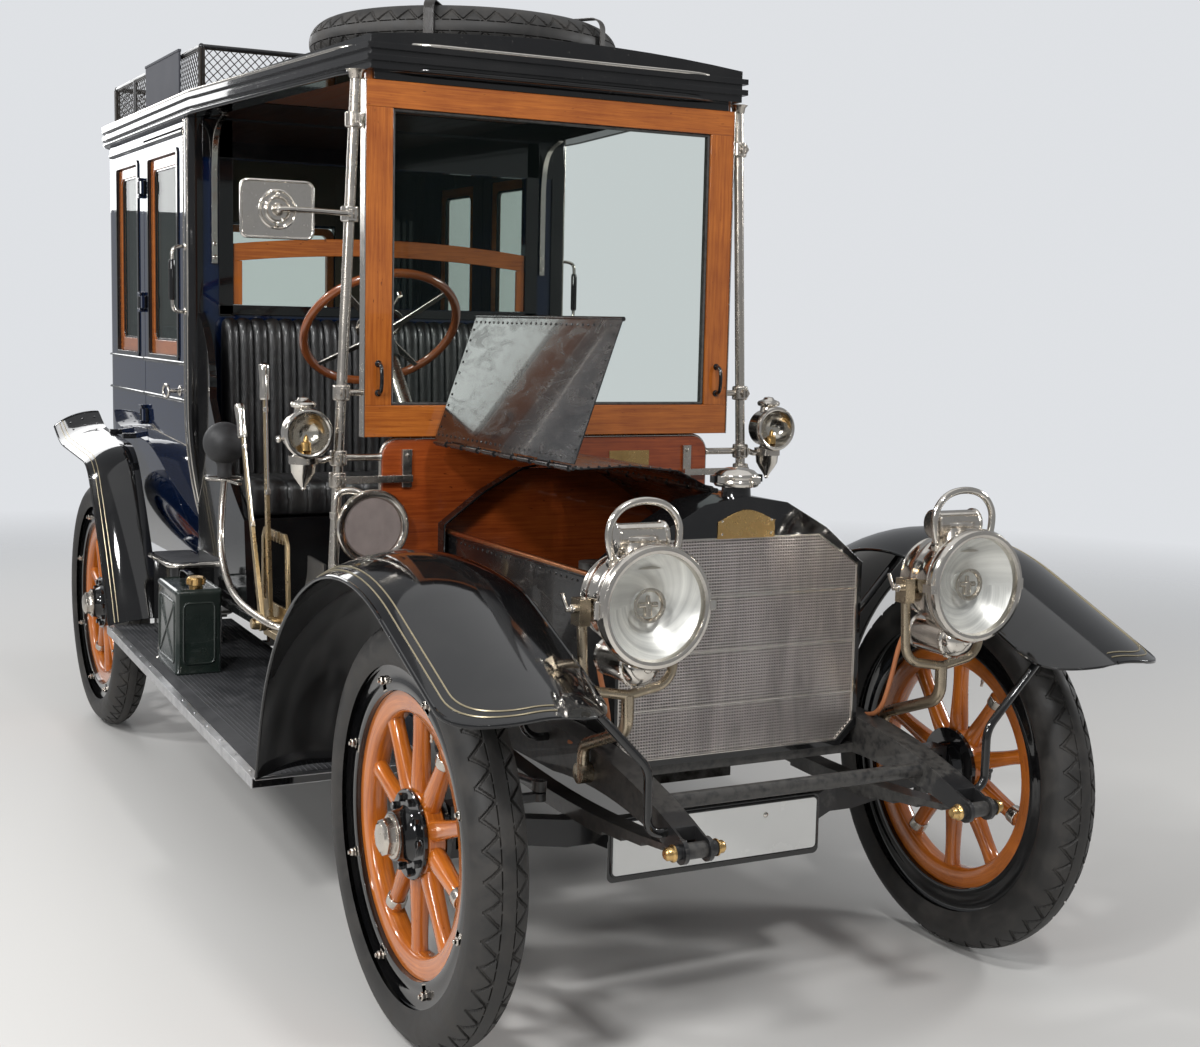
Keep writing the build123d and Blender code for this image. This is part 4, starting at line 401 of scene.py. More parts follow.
def turned(profile, axis="y", sides=48, centre=(0, 0, 0)):
    """A profile of (station, radius) pairs carried round an axis through a centre."""
    profile = np.asarray(profile, float)
    angle = np.linspace(0, 2 * pi, sides, endpoint=False)
    station = profile[:, 0, None]
    first = profile[:, 1, None] * np.cos(angle)
    second = profile[:, 1, None] * np.sin(angle)
    order = {"x": (station, first, second), "y": (second, station, first),
             "z": (first, second, station)}[axis]
    length = np.cumsum(np.hypot(*np.diff(profile, axis=0, prepend=profile[:1]).T))
    grain = triples(profile[:, 1, None] * angle, length[:, None], 0)
    return grid(triples(*order) + np.array(centre, float), wrap_v=True, grain=grain)


def eased(points, steps=8):
    """A smooth line near its points: a quadratic B-spline, which weighs three neighbours at each step."""
    points = np.asarray(points, float)
    padded = np.vstack([2 * points[0] - points[1], points, 2 * points[-1] - points[-2]])
    step = np.linspace(0, 1, steps, endpoint=False)[None, :, None]
    before, here, after = padded[:-2, None], padded[1:-1, None], padded[2:, None]
    curve = 0.5 * ((1 - step) ** 2 * before + (1 + 2 * step - 2 * step ** 2) * here + step ** 2 * after)
    curve = curve.reshape(-1, points.shape[1])
    inside = slice(steps // 2 + 1, len(curve) - steps // 2)
    return np.vstack([points[:1], curve[inside], points[-1:]])


def carried(section, path, upward=(0, 0, 1), closed=False, scale=1.0):
    """A closed (side, up) section carried along a path: side and up are square to the path's direction."""
    section = np.asarray(section, float)
    path = np.asarray(path, float)
    if closed:
        ahead = np.roll(path, -1, axis=0) - np.roll(path, 1, axis=0)
    else:
        ahead = np.gradient(path, axis=0)
    ahead /= np.linalg.norm(ahead, axis=1, keepdims=True)
    side = np.cross(np.broadcast_to(np.asarray(upward, float), ahead.shape), ahead)
    side /= np.linalg.norm(side, axis=1, keepdims=True)
    up = np.cross(ahead, side)
    spread = section[None] * np.broadcast_to(scale, len(path))[:, None, None]
    points = path[:, None] + spread[..., :1] * side[:, None] + spread[..., 1:] * up[:, None]
    run = np.cumsum(np.linalg.norm(np.diff(path, axis=0, prepend=path[:1]), axis=1))
    grain = np.concatenate([np.broadcast_to(run[:, None, None], (*points.shape[:2], 1)), spread], -1)
    return grid(points, wrap_u=True, wrap_v=True, grain=grain) if closed else loft(points, grain)


def ring(radius, sides):
    """A round section."""
    angle = np.linspace(0, 2 * pi, sides, endpoint=False)
    return np.stack([np.cos(angle), np.sin(angle)], -1) * radius


def tube(points, radius, sides, upward=(0.31, 0.17, 0.93), smooth=True):
    """Round bar or pipe along an eased line, or straight from point to point."""
    return carried(ring(radius, sides), eased(points) if smooth else points, upward)


def block(x, y, z):
    """A six-sided block between (low, high) pairs; its grain runs along its longest side."""
    spans = np.array([x, y, z], float)
    corners = np.array([[spans[0, i], spans[1, j], spans[2, k]] for i in (0, 1) for j in (0, 1)
                        for k in (0, 1)])
    faces = [(0, 1, 3, 2), (4, 6, 7, 5), (0, 4, 5, 1), (2, 3, 7, 6), (0, 2, 6, 4), (1, 5, 7, 3)]
    order = np.argsort(-(spans[:, 1] - spans[:, 0]), kind="stable")
    return Shape(corners, [faces], corners[:, order])


def piece(name, material, shapes, body="chassis", replaces=(), bevel=0.0, sharp=38):
    """Makes one finished object of shapes: millimetres become metres in the car's frame, seams are welded."""
    whole = shapes if isinstance(shapes, Shape) else joined(shapes)
    mesh = bpy.data.meshes.new(name)
    places = whole.corners * MM + (FRONT_AXLE_X, 0, 0)
    mesh.vertices.add(len(places))
    mesh.vertices.foreach_set("co", places.ravel())
    sizes = np.concatenate([np.full(len(group), group.shape[1]) for group in whole.faces])
    mesh.loops.add(int(sizes.sum()))
    mesh.loops.foreach_set("vertex_index", np.concatenate([group.ravel() for group in whole.faces]))
    mesh.polygons.add(len(sizes))
    mesh.polygons.foreach_set("loop_start", np.concatenate([[0], np.cumsum(sizes)[:-1]]))
    mesh.update(calc_edges=True)
    grain = mesh.attributes.new("grain", "FLOAT_VECTOR", "POINT")
    grain.data.foreach_set("vector", (whole.grain * MM).ravel())
    mesh.materials.append(material)
    shell = bmesh.new()
    shell.from_mesh(mesh)
    bmesh.ops.remove_doubles(shell, verts=shell.verts, dist=WELD_DISTANCE)
    bmesh.ops.dissolve_degenerate(shell, edges=shell.edges, dist=WELD_DISTANCE)
    bmesh.ops.recalc_face_normals(shell, faces=shell.faces)
    for face in shell.faces:
        face.smooth = True
    for edge in shell.edges:
        edge.smooth = len(edge.link_faces) != 2 or edge.calc_face_angle(0) < radians(sharp)
    shell.to_mesh(mesh)
    shell.free()
    made = bpy.data.objects.new(name, mesh)
    scene.collection.objects.link(made)
    if bevel:
        rounding = made.modifiers.new("rounded edges", "BEVEL")
        rounding.width = bevel * MM
        rounding.segments = BEVEL_SEGMENTS
        rounding.limit_method = "ANGLE"
        rounding.angle_limit = radians(sharp)
        rounding.harden_normals = True
    if replaces:
        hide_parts(*replaces)
    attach(made, body)
    return made


def varnished_finish(name, light, dark, knot, roughness=0.16):
    """Varnished wood: long streaks of grain, slow drifts of tone, small dark knots under a glossy coat."""
    finish = Finish(name, light, roughness, coat=0.85, coat_roughness=0.04)
    streaks = finish.noise(finish.along((2.2, 55, 55)), 3.2, 6, 0.62, 0.35)
    fine = finish.noise(finish.along((9, 420, 420)), 2.0, 3)
    drift = finish.noise(finish.place(), 9, 3)
    tone = finish.band(streaks * 0.62 + fine * 0.2 + drift * 0.3, 0.36, 0.72)
    flecks = finish.band(finish.noise(finish.along((26, 90, 90)), 1.6, 2), 0.70, 0.76)
    colour = finish.blend(tone, dark, light)
    finish.set("Base Color", finish.blend(flecks * 0.75, colour, knot))
    finish.set("Roughness", roughness + fine * 0.10)
    finish.relief((fine, 0.06, 0.0003), (streaks, 0.05, 0.0006), rounding=0.0016)
    return finish.material


def nickel_finish(name="nickel", clean=NICKEL, dull=NICKEL_DULL, roughness=0.19):
    """Old nickel plate: warm grey metal, hazed in patches, darker where polish never reaches."""
    finish = Finish(name, clean, roughness, metallic=1.0)
    here = finish.place()
    haze = finish.band(finish.noise(here, 22, 5, 0.6, 0.4), 0.42, 0.70)
    spots = finish.band(finish.noise(here, 130, 3), 0.62, 0.72)
    colour = finish.blend(haze * 0.42 + finish.hollow(0.40) * 0.35, clean, dull)
    finish.set("Base Color", finish.blend(spots * 0.35, colour, dull))
    finish.set("Roughness", roughness + haze * 0.14 + spots * 0.12)
    finish.relief((finish.noise(here, 420, 2), 0.05, 0.0002), rounding=0.0012)
    return finish.material


def rubber_finish(name, clean, dusty, groove=0.5):
    """Old tyre rubber: brown-grey dust in the hollows, paler scuffs on the ribs, fine crazing."""
    finish = Finish(name, clean, 0.62)
    here = finish.place()
    dust = finish.band(finish.noise(here, 14, 6, 0.65, 0.5), 0.44, 0.74)
    crazing = finish.node("TexVoronoi", {"feature": "DISTANCE_TO_EDGE"}, Vector=here, Scale=260)
    finish.set("Base Color", finish.blend(dust * 0.5 + finish.hollow(0.44) * groove, clean, dusty))
    finish.set("Roughness", 0.52 + dust * 0.26)
    finish.relief((crazing, 0.10, 0.0004), (finish.noise(here, 320, 3), 0.14, 0.0005), rounding=0.0012)
    return finish.material


def enamel_finish(name, colour, dusty, roughness=0.055, dust_amount=0.22):
    """Coach enamel: deep gloss under a clear coat, faint brush flow in it, dust that dulls its top sides."""
    finish = Finish(name, colour, roughness, coat=0.55, coat_roughness=0.02)
    here = finish.place()
    clouds = finish.band(finish.noise(here, 5, 6, 0.6), 0.44, 0.78)
    swirls = finish.noise(finish.place((5, 5, 26)), 5, 2)
    chips = finish.band(finish.noise(here, 95, 3) + finish.wear(0.3), 0.96, 1.06)
    finish.set("Base Color", finish.blend(clouds * dust_amount * 0.35 + chips * 0.3, colour, dusty))
    finish.set("Roughness", roughness + clouds * dust_amount * 0.5 + chips * 0.25)
    finish.relief((swirls, 0.05, 0.0012), (finish.noise(here, 150, 2), 0.015, 0.0004), rounding=0.0016)
    return finish.material


orange_wood = varnished_finish("varnished_ash", VARNISH_LIGHT, VARNISH_DARK, VARNISH_KNOT)
nickel = nickel_finish()
tyre_rubber = rubber_finish("tyre_rubber", RUBBER, RUBBER_DUSTY)
black_enamel = enamel_finish("black_enamel", (0.0045, 0.0045, 0.005), (0.10, 0.095, 0.085))


def spoke():
    """One spoke up the Z axis: ovals whose two half widths follow the table, eased between stations."""
    stations = eased(np.array(SPOKE_STATIONS, float), 4)
    wide, deep = (np.sign(part) * np.abs(part) ** SPOKE_POWER for part in ring(1, 20).T)
    points = triples(stations[:, 1, None] * wide, stations[:, 2, None] * deep, stations[:, :1])
    return grid(points, wrap_v=True, grain=points[..., [2, 0, 1]])


def round_turns(count, start=0.0):
    """Turns about the wheel's Y axis, evenly spaced, as 3 x 3 matrices."""
    angle = start + np.arange(count) * 2 * pi / count
    turns = np.zeros((count, 3, 3))
    turns[:, 0, 0] = turns[:, 2, 2] = np.cos(angle)
    turns[:, 0, 2] = np.sin(angle)
    turns[:, 2, 0] = -np.sin(angle)
    turns[:, 1, 1] = 1
    return turns


def round_wheel(shape, count, start=0.0):
    """Copies of a shape evenly round the wheel's axis."""
    return shape.copies(np.zeros((count, 3)), round_turns(count, start))


def spread_grain(shape, count):
    """Shifts each copy's grain so that no two copies show the same figure."""
    shifts = np.repeat(np.arange(count) * 733.0, len(shape.corners) // count)
    shape.grain = shape.grain + shifts[:, None]
    return shape


def felloe():
    """The bent felloe's ring, with chamfered inner edges and a saddle where each spoke enters."""
    half = FELLOE_HALF_WIDTH
    profile = [(-half, FELLOE_OUTER), (-half, FELLOE_INNER + 9), (-half + 3, FELLOE_INNER + 4),
               (-half + 9, FELLOE_INNER + 1), (-6, FELLOE_INNER), (6, FELLOE_INNER),
               (half - 9, FELLOE_INNER + 1), (half - 3, FELLOE_INNER + 4), (half, FELLOE_INNER + 9),
               (half, FELLOE_OUTER), (-half, FELLOE_OUTER)]
    return turned(profile, "y", 120)


def tread_height(around, across):
    """Tread: a plain middle rib, a thin groove each side of it, then slots that lean to and fro in turn."""
    phase = around * TREAD_PITCHES % 1.0
    edge = np.abs(across)
    target = np.where(phase < 0.5, 1 - phase * 2, (phase - 0.5) * 2)
    slot_line = np.abs((edge - 15) / 27 - target)
    slot = (slot_line < 0.14) & (edge > 16) & (edge < 44)
    groove = (edge > 13.2) & (edge < 15.6) & ((around * TREAD_PITCHES * 1.5 % 1.0) < 0.82)
    return np.where(slot | groove, -TREAD_DEPTH, 0.0)


def casing():
    """The tyre's casing: a circle about its centre line, its upper part raised to the tread's height."""
    count = TREAD_PITCHES * 24
    around = np.linspace(0, 1, count, endpoint=False)
    section = np.concatenate([np.linspace(-34, 38, 13), np.linspace(41, 139, 64), np.linspace(142, 214, 13)])
    angle = np.radians(section)
    tread_part = (section > 40) & (section < 140)
    flat = np.clip(1 - (np.abs(section - 90) / 62) ** 6, 0, 1)
    on_rib = (np.abs(section - 14) < 3) | (np.abs(section - 166) < 3)
    radius = TYRE_SECTION - TREAD_FLATTENING * flat + np.where(on_rib, SIDE_RIB, 0) - SIDE_RIB
    height = np.where(tread_part, tread_height(around[:, None], radius * np.cos(angle)), 0.0)
    lift = TYRE_CENTRE + (radius + height) * np.sin(angle) + TREAD_FLATTENING * flat
    lift = np.minimum(lift, TYRE_LIMIT)
    side = (radius + height * 0.2) * np.cos(angle)
    turn_angle = around[:, None] * 2 * pi
    return grid(triples(lift * np.sin(turn_angle), side, lift * np.cos(turn_angle)), wrap_u=True)


def hexagon(low, high, radius):
    """A hexagonal nut or bolt head about the Y axis, with its corners taken off."""
    return turned([(low, 0), (low, radius), (high - NUT_CHAMFER, radius), (high, radius - NUT_CHAMFER),
                   (high, 0)], "y", 6)


def clamp():
    """A rim clamp seen from outside: a small lug under a plain nut with its stud's end."""
    lug = block((-11, 11), (30, 37), (-20, 8))
    return lug, hexagon(36, 46, 9.5) + turned([(45, 0), (45, 5), (51, 5), (52, 3.5), (52, 0)], "y", 12)


def wheel_pieces(name, axle_x):
    """All that one wheel shows, about its own axle, then moved to its place."""
    body = "wheel_" + name

    def placed(shape):
        shape = shape.moved(axle_x, WHEEL_Y, AXLE_HEIGHT)
        return shape.across() if name.endswith("right") else shape

    spokes = spread_grain(round_wheel(spoke(), SPOKE_COUNT), SPOKE_COUNT)
    nave = turned([(-20, 48.5), (-20, 88), (-16, 92), (16, 92), (20, 88), (20, 48.5), (-20, 48.5)], "y", 60)
    piece("wood_" + name, orange_wood, placed(joined([spokes, felloe(), nave])), body, replaces=[body])
    rim_profile = [(-35, 294.6), (35, 294.6), (37, 300), (37, 312), (35, 318), (35, 347), (38, 351),
                   (35, 353), (31, 352), (29.5, 346), (29, 320), (-29, 320), (-29.5, 346), (-31, 352),
                   (-35, 353), (-38, 351), (-35, 347), (-35, 318), (-37, 312), (-37, 300), (-35, 294.6)]
    flange = [(20.3, 46), (20.3, 90), (22, 93), (28, 93), (30, 91), (31, 78), (33, 60), (40, 54), (60, 51),
              (62, 51), (62, 40), (20.3, 46)]
    bolts = round_wheel(hexagon(30, 41, 9).moved(z=76), SPOKE_COUNT, pi / SPOKE_COUNT)
    back = [(-20.3, 46), (-20.3, 92), (-30, 92), (-33, 58), (-52, 48), (-52, 25), (-20.3, 25), (-20.3, 46)]
    drum = [(-30, 58), (-36, 60), (-36, 146), (-40, 150), (-76, 150), (-80, 147), (-80, 142), (-46, 142),
            (-44, 46), (-30, 46), (-30, 58)]
    black_parts = [turned(rim_profile, "y", 120), turned(flange, "y", 48), bolts, turned(back, "y", 48)]
    if axle_x < 0:
        black_parts.append(turned(drum, "y", 72))
    piece("hub_and_rim_" + name, black_enamel, placed(joined(black_parts)), body,
          replaces=["hub_rim_" + name])
    lug, nut = clamp()
    lugs = round_wheel(lug.moved(z=CLAMP_RADIUS - 16), CLAMP_COUNT, pi / CLAMP_COUNT)
    nuts = round_wheel(nut.moved(z=CLAMP_RADIUS - 12), CLAMP_COUNT, pi / CLAMP_COUNT)
    cap = turned([(58, 0), (58, 41), (66, 42), (70, 40), (84, 39), (86, 34), (90, 30), (92, 14), (93, 0)],
                 "y", 8)
    cap_neck = turned([(52, 44), (60, 47), (66, 46), (68, 40), (60, 36), (52, 44)], "y", 48)
    ferrules = turned([(214, 18.5), (214, 21), (217, 22), (236, 22.5), (238, 21), (238, 18.5)], "z", 24)
    ferrules = ferrules.copies(np.zeros((3, 3)), round_turns(SPOKE_COUNT)[[1, 3, 6]])
    valve = turned([(246, 0), (246, 5), (228, 5), (226, 3.5), (216, 3.5), (216, 0)], "z", 12)
    nickel_parts = joined([lugs, nuts, cap, cap_neck, ferrules, valve.moved(y=6).turned("Y", 18)])
    piece("clamps_" + name, nickel, placed(nickel_parts), body, bevel=0.7)
    piece("casing_" + name, tyre_rubber, placed(casing()), body, replaces=["tyre_" + name], sharp=30)


for wheel_name, wheel_x in WHEELS:
    wheel_pieces(wheel_name, wheel_x)

# Engine and radiator
# The engine is a cast block with paired cylinders. The radiator is a black pressed shell round a core of
# fine square nickel cells, three of whose cross strips are left bright, under a nickel-capped filler.
CORE_HALF = 302
CORE_SPAN_Z = (566, 1036)
CORE_SHOULDER = (192, 962)
CORE_CORNER = 44
CORE_FACE = 99
CELL_PITCH = 6.6
CELL_WALL = 2.5
CELL_DEPTH = 9
BRIGHT_STRIPS = (0.27, 0.52, 0.77)
CORE_METAL = (0.74, 0.68, 0.64)
CAP_X = 60
BADGE_HALF = 72
BADGE_SPAN_Z = (1034, 1090)


def core_top(y):
    """Height of the core's upper outline: level, then falling in a straight line to its shoulder."""
    reach = CORE_HALF - CORE_SHOULDER[0]
    return np.minimum(CORE_SPAN_Z[1], CORE_SPAN_Z[1] - (np.abs(y) - CORE_SHOULDER[0])
                      * (CORE_SPAN_Z[1] - CORE_SHOULDER[1]) / reach)


def core_foot(y):
    """Height of the core's lower outline: level, then rising at 45 degrees to its corner."""
    return np.maximum(CORE_SPAN_Z[0], CORE_SPAN_Z[0] + np.abs(y) - (CORE_HALF - CORE_CORNER))


def core_half_width(z):
    """Half width at a height: the lesser of the side and the two sloping corners."""
    slope = (CORE_HALF - CORE_SHOULDER[0]) / (CORE_SPAN_Z[1] - CORE_SHOULDER[1])
    upper = CORE_SHOULDER[0] + (CORE_SPAN_Z[1] - z) * slope
    lower = CORE_HALF - CORE_CORNER + (z - CORE_SPAN_Z[0])
    return np.minimum(np.minimum(CORE_HALF, upper), lower)


def bars(centres, sizes):
    """Many straight bars at once: a unit block stretched to each size and moved to each centre."""
    unit = block((-0.5, 0.5), (-0.5, 0.5), (-0.5, 0.5))
    return unit.copies(centres, [np.diag(size) for size in sizes])


def core_cells():
    """Upright and level strips on one pitch, each as long as the core's outline lets it be."""
    y = np.arange(-CORE_HALF + 5, CORE_HALF - 4, CELL_PITCH)
    low, high = core_foot(y), core_top(y)
    middle_x = CORE_FACE - CELL_DEPTH / 2
    upright = bars(triples(middle_x, y, (low + high) / 2), triples(CELL_DEPTH, CELL_WALL, high - low))
    z = np.arange(CORE_SPAN_Z[0] + 4, CORE_SPAN_Z[1] - 3, CELL_PITCH)
    across = bars(triples(middle_x + 0.3, 0, z), triples(CELL_DEPTH, 2 * core_half_width(z), CELL_WALL))
    return upright + across


def core_border():
    """A flat nickel edge round the core's outline."""
    y = np.array([-CORE_HALF, -CORE_SHOULDER[0], CORE_SHOULDER[0], CORE_HALF, CORE_HALF,
                  CORE_HALF - CORE_CORNER, CORE_CORNER - CORE_HALF, -CORE_HALF], float)
    z = np.array([CORE_SHOULDER[1], CORE_SPAN_Z[1], CORE_SPAN_Z[1], CORE_SHOULDER[1],
                  CORE_SPAN_Z[0] + CORE_CORNER, CORE_SPAN_Z[0], CORE_SPAN_Z[0], CORE_SPAN_Z[0] + CORE_CORNER])
    path = triples(CORE_FACE + 0.5, y * 0.994, z)
    return carried([(-2.2, -3), (2.2, -3), (2.2, 3), (-2.2, 3)], path, (1, 0, 0), closed=True)


def core_finish():
    """Bare solder-dipped strips: pinkish grey metal with darker, oily uprights in drifts."""
    finish = Finish("core_metal", CORE_METAL, 0.34, metallic=0.9)
    drift = finish.band(finish.noise(finish.place((1, 1, 0.25)), 16, 4, 0.6, 0.5), 0.40, 0.66)
    finish.set("Base Color", finish.blend(drift * 0.55, CORE_METAL, (0.32, 0.30, 0.29)))
    finish.set("Roughness", 0.28 + drift * 0.25)
    return finish.material


def engine_finish():
    """Oily cast aluminium and iron: sand-cast bump, dark oil film in the low places."""
    finish = Finish("cast_metal", (0.16, 0.155, 0.145), 0.5, metallic=0.7)
    here = finish.place()
    oil = finish.band(finish.noise(here, 12, 5, 0.65), 0.42, 0.66)
    finish.set("Base Color", finish.blend(oil, (0.19, 0.185, 0.175), (0.028, 0.024, 0.02)))
    finish.set("Roughness", 0.62 - oil * 0.3)
    finish.relief((finish.noise(here, 210, 3), 0.3, 0.0006), rounding=0.003)
    return finish.material


core_metal = core_finish()
cast_metal = engine_finish()
bright_nickel = nickel_finish("bright_nickel", (0.74, 0.70, 0.64), (0.48, 0.44, 0.39), 0.12)
brass = nickel_finish("brass", (0.70, 0.46, 0.19), (0.30, 0.17, 0.06), 0.24)

softened("engine_and_gearbox", cast_metal)
softened("radiator_shell", black_enamel)
# Behind the shallow cells a near-black block fills the core: painted shade that stands for the dark depth of
# the cells.
backing_y = np.linspace(-CORE_HALF + 1, CORE_HALF - 1, 61)
backing = [triples(x, backing_y, edge(backing_y)) for x, edge in
           ((46, core_foot), (46, core_top), (90.5, core_top), (90.5, core_foot))]
painted_cell_shade = Finish("core_cell_shade", (0.012, 0.011, 0.010), 0.75).material
piece("core_cell_shade", painted_cell_shade, loft(np.stack(backing, 1)), replaces=["radiator_core"])
piece("core_cells", core_metal, core_cells())
strip_z = CORE_SPAN_Z[1] - np.array(BRIGHT_STRIPS) * (CORE_SPAN_Z[1] - CORE_SPAN_Z[0])
bright_strips = bars([(CORE_FACE - 2, 0, z) for z in strip_z],
                     [(7, 2 * float(core_half_width(z)) - 6, 3.2) for z in strip_z])
piece("core_edge", bright_nickel, [core_border(), bright_strips])

neck = turned([(1106, 0), (1106, 36), (1112, 33), (1140, 31), (1143, 0)], "z", 40, (CAP_X, 0, 0))
piece("filler_neck", black_enamel, neck)
cap_profile = [(1141, 0), (1141, 45.5), (1146, 49), (1152, 49), (1155, 46.5), (1159, 46.5), (1162, 48),
               (1168, 47), (1176, 38), (1181, 22), (1183, 0)]
lugs = joined([block((-9, 9), (44, 58), (1150, 1166)).turned("Z", angle)
               for angle in (22.5, 112.5, 202.5, 292.5)])
cap = turned(cap_profile, "z", 48, (CAP_X, 0, 0))
piece("filler_cap", bright_nickel, [cap, lugs.moved(x=CAP_X)], bevel=1.6)

badge_y = np.linspace(-BADGE_HALF, BADGE_HALF, 25)
badge_top = BADGE_SPAN_Z[1] - 14 * (np.abs(badge_y) / BADGE_HALF) ** 2 + 5 * np.cos(badge_y / BADGE_HALF * pi)
badge_rows = [triples(x, badge_y, z) for x, z in
              ((105.2, BADGE_SPAN_Z[0]), (108, BADGE_SPAN_Z[0]), (108, badge_top), (105.2, badge_top))]
badge = loft(np.stack(badge_rows, 1))
badge_beads = turned([(0, 0), (0, 3.2), (1.4, 2.6), (2, 0)], "x", 12).copies(
    [(108, y, z) for y in (-62, 62) for z in (1044, 1072)])
piece("shell_plate", brass, badge, bevel=1.2)
piece("shell_plate_pins", bright_nickel, badge_beads)

# Bonnet
# Four hinged leaves of black sheet with riveted edges and a copper-tinted rolled wire along the lower
# joint. The right pair stands open, as in the photograph; the left pair is shut.
BONNET_SPAN_X = (-795, -25)
BONNET_HALF = ((0, 1124), (104, 1108), (210, 1050), (320, 968))
BONNET_SIDE_LENGTH = 335
TOP_LEAF_RAISED = 34.7
SIDE_LEAF_FOLDED = 164.8
RIVET_PITCH = 26
# How far the rivet heads on a leaf's outer and inner faces stand off its outer face, and their direction.
LEAF_FACES = ((0.2, 1), (-3.2, -1))
COPPER = (0.62, 0.27, 0.12)


def opened(shape, with_fold):
    """Turns a shut right-hand leaf about its hinges to where it stands open."""
    if with_fold:
        shape = shape.turned((-1, 0, 0), SIDE_LEAF_FOLDED, (0, -BONNET_HALF[-1][0], BONNET_HALF[-1][1]))
    return shape.turned((-1, 0, 0), TOP_LEAF_RAISED, (0, 0, BONNET_HALF[0][1]))


def rivet_line(start, end, pitch, outward):
    """Round heads from start to end on a pitch, facing outward."""
    start, end = np.array(start, float), np.array(end, float)
    count = int(np.linalg.norm(end - start) / pitch) + 1
    places = start + (end - start) * np.linspace(0, 1, count)[:, None]
    head = turned([(0, 3.4), (0.9, 3.2), (1.8, 2.0), (2.2, 0)], "z", 8)
    turn = np.array(Vector((0, 0, 1)).rotation_difference(Vector(outward)).to_matrix())
    return head.copies(places, np.broadcast_to(turn, (count, 3, 3)))


def along_section(share):
    """The (y, z) point and outward direction at a share of the way from crest to shoulder."""
    points = np.array(BONNET_HALF, float)
    lengths = np.hypot(*np.diff(points, axis=0).T)
    run = np.concatenate([[0], np.cumsum(lengths)])
    distance = share * run[-1]
    y, z = np.interp(distance, run, points[:, 0]), np.interp(distance, run, points[:, 1])
    leg = min(int(np.searchsorted(run, distance, "right")) - 1, len(lengths) - 1)
    ahead = (points[leg + 1] - points[leg]) / lengths[leg]
    return np.array((y, z)), np.array((-ahead[1], ahead[0]))


def top_leaf_rivets():
    """Rivets round a shut right-hand top leaf, on both of its faces."""
    lines = []
    for share in (0.07, 0.93):
        point, outward = along_section(share)
        for lift, sign in LEAF_FACES:
            place = point + outward * lift
            lines.append(rivet_line((BONNET_SPAN_X[0] + 12, -place[0], place[1]),
                                    (BONNET_SPAN_X[1] - 12, -place[0], place[1]), RIVET_PITCH,
                                    (0, -outward[0] * sign, outward[1] * sign)))
    for x in (BONNET_SPAN_X[0] + 14, BONNET_SPAN_X[1] - 14):
        for share in np.linspace(0.12, 0.88, 12):
            point, outward = along_section(share)
            for lift, sign in LEAF_FACES:
                place = (x, *(point + outward * lift) * (-1, 1))
                lines.append(rivet_line(place, place, RIVET_PITCH,
                                        (0, -outward[0] * sign, outward[1] * sign)))
    return joined(lines)


def side_leaf_rivets():
    """Rivets round a shut right-hand side leaf, on both of its faces."""
    y, top = -BONNET_HALF[-1][0], BONNET_HALF[-1][1]
    low, high = top - BONNET_SIDE_LENGTH + 16, top - 22
    start, end = BONNET_SPAN_X[0] + 14, BONNET_SPAN_X[1] - 14
    lines = []
    for lift, sign in LEAF_FACES:
        face = y - lift
        for z in (low, high):
            lines.append(rivet_line((start, face, z), (end, face, z), RIVET_PITCH, (0, -sign, 0)))
        for x in (start, end):
            lines.append(rivet_line((x, face, low + 20), (x, face, high - 20), RIVET_PITCH, (0, -sign, 0)))
    return joined(lines)


def soot_finish():
    """Bonnet enamel: gloss black outside and in, with greasy smears and heat haze."""
    finish = Finish("bonnet_enamel", (0.008, 0.008, 0.0085), 0.10, coat=0.3)
    here = finish.place()
    smear = finish.band(finish.noise(finish.place((2, 9, 5)), 4, 6, 0.7, 1.2), 0.46, 0.74)
    finish.set("Base Color", finish.blend(smear * 0.5, (0.007, 0.007, 0.0075), (0.040, 0.037, 0.033)))
    finish.set("Roughness", 0.16 + smear * 0.26)
    finish.relief((finish.noise(here, 4, 2), 0.10, 0.01), (finish.noise(here, 90, 3), 0.03, 0.0006),
                  rounding=0.001)
    return finish.material


bonnet_enamel = soot_finish()
copper = nickel_finish("copper_rod", COPPER, (0.20, 0.07, 0.03), 0.28)
for leaf in ("bonnet_top_left", "bonnet_side_left", "bonnet_top_right", "bonnet_side_right", "bonnet_frame"):
    softened(leaf, bonnet_enamel)
piece("rivets_top_right", black_enamel, opened(top_leaf_rivets(), False), "bonnet_top_right")
piece("rivets_side_right", black_enamel, opened(side_leaf_rivets(), True), "bonnet_side_right")
piece("rivets_top_left", black_enamel, top_leaf_rivets().across(), "bonnet_top_left")
piece("rivets_side_left", black_enamel, side_leaf_rivets().across(), "bonnet_side_left")
lower_rod = tube([(-842, 306, 950), (-26, 306, 950)], 6.8, 16, smooth=False)
piece("bonnet_sill_rod", copper, lower_rod.both())
sill_rivets = joined([rivet_line((-835, 306.2, z), (-30, 306.2, z), RIVET_PITCH, (0, 1, 0))
                      for z in (930, 640)])
piece("bonnet_sill_rivets", black_enamel, sill_rivets.both())
band_rows = [along_section(share) for share in np.linspace(0, 1, 25)]
band_path = np.array([(-820, *(point + outward * 1.5)) for point, outward in band_rows])
band_path = np.vstack([band_path, [(-820, 321.5, 800), (-820, 321.5, 645)]])
edge_wire = carried(ring(3.2, 8), band_path + (22.5, 0, 0), (1, 0, 0))
piece("cowl_edge", black_enamel, edge_wire.both())
handle_foot = block((-8, 8), (-2, 6), (-14, 14))
handle_bar = tube([(0, 4, -10), (0, 26, -10), (0, 30, 0), (0, 26, 10), (0, 4, 10)], 3.2, 8)
side_catch = (handle_foot + handle_bar).moved(y=BONNET_HALF[-1][0])
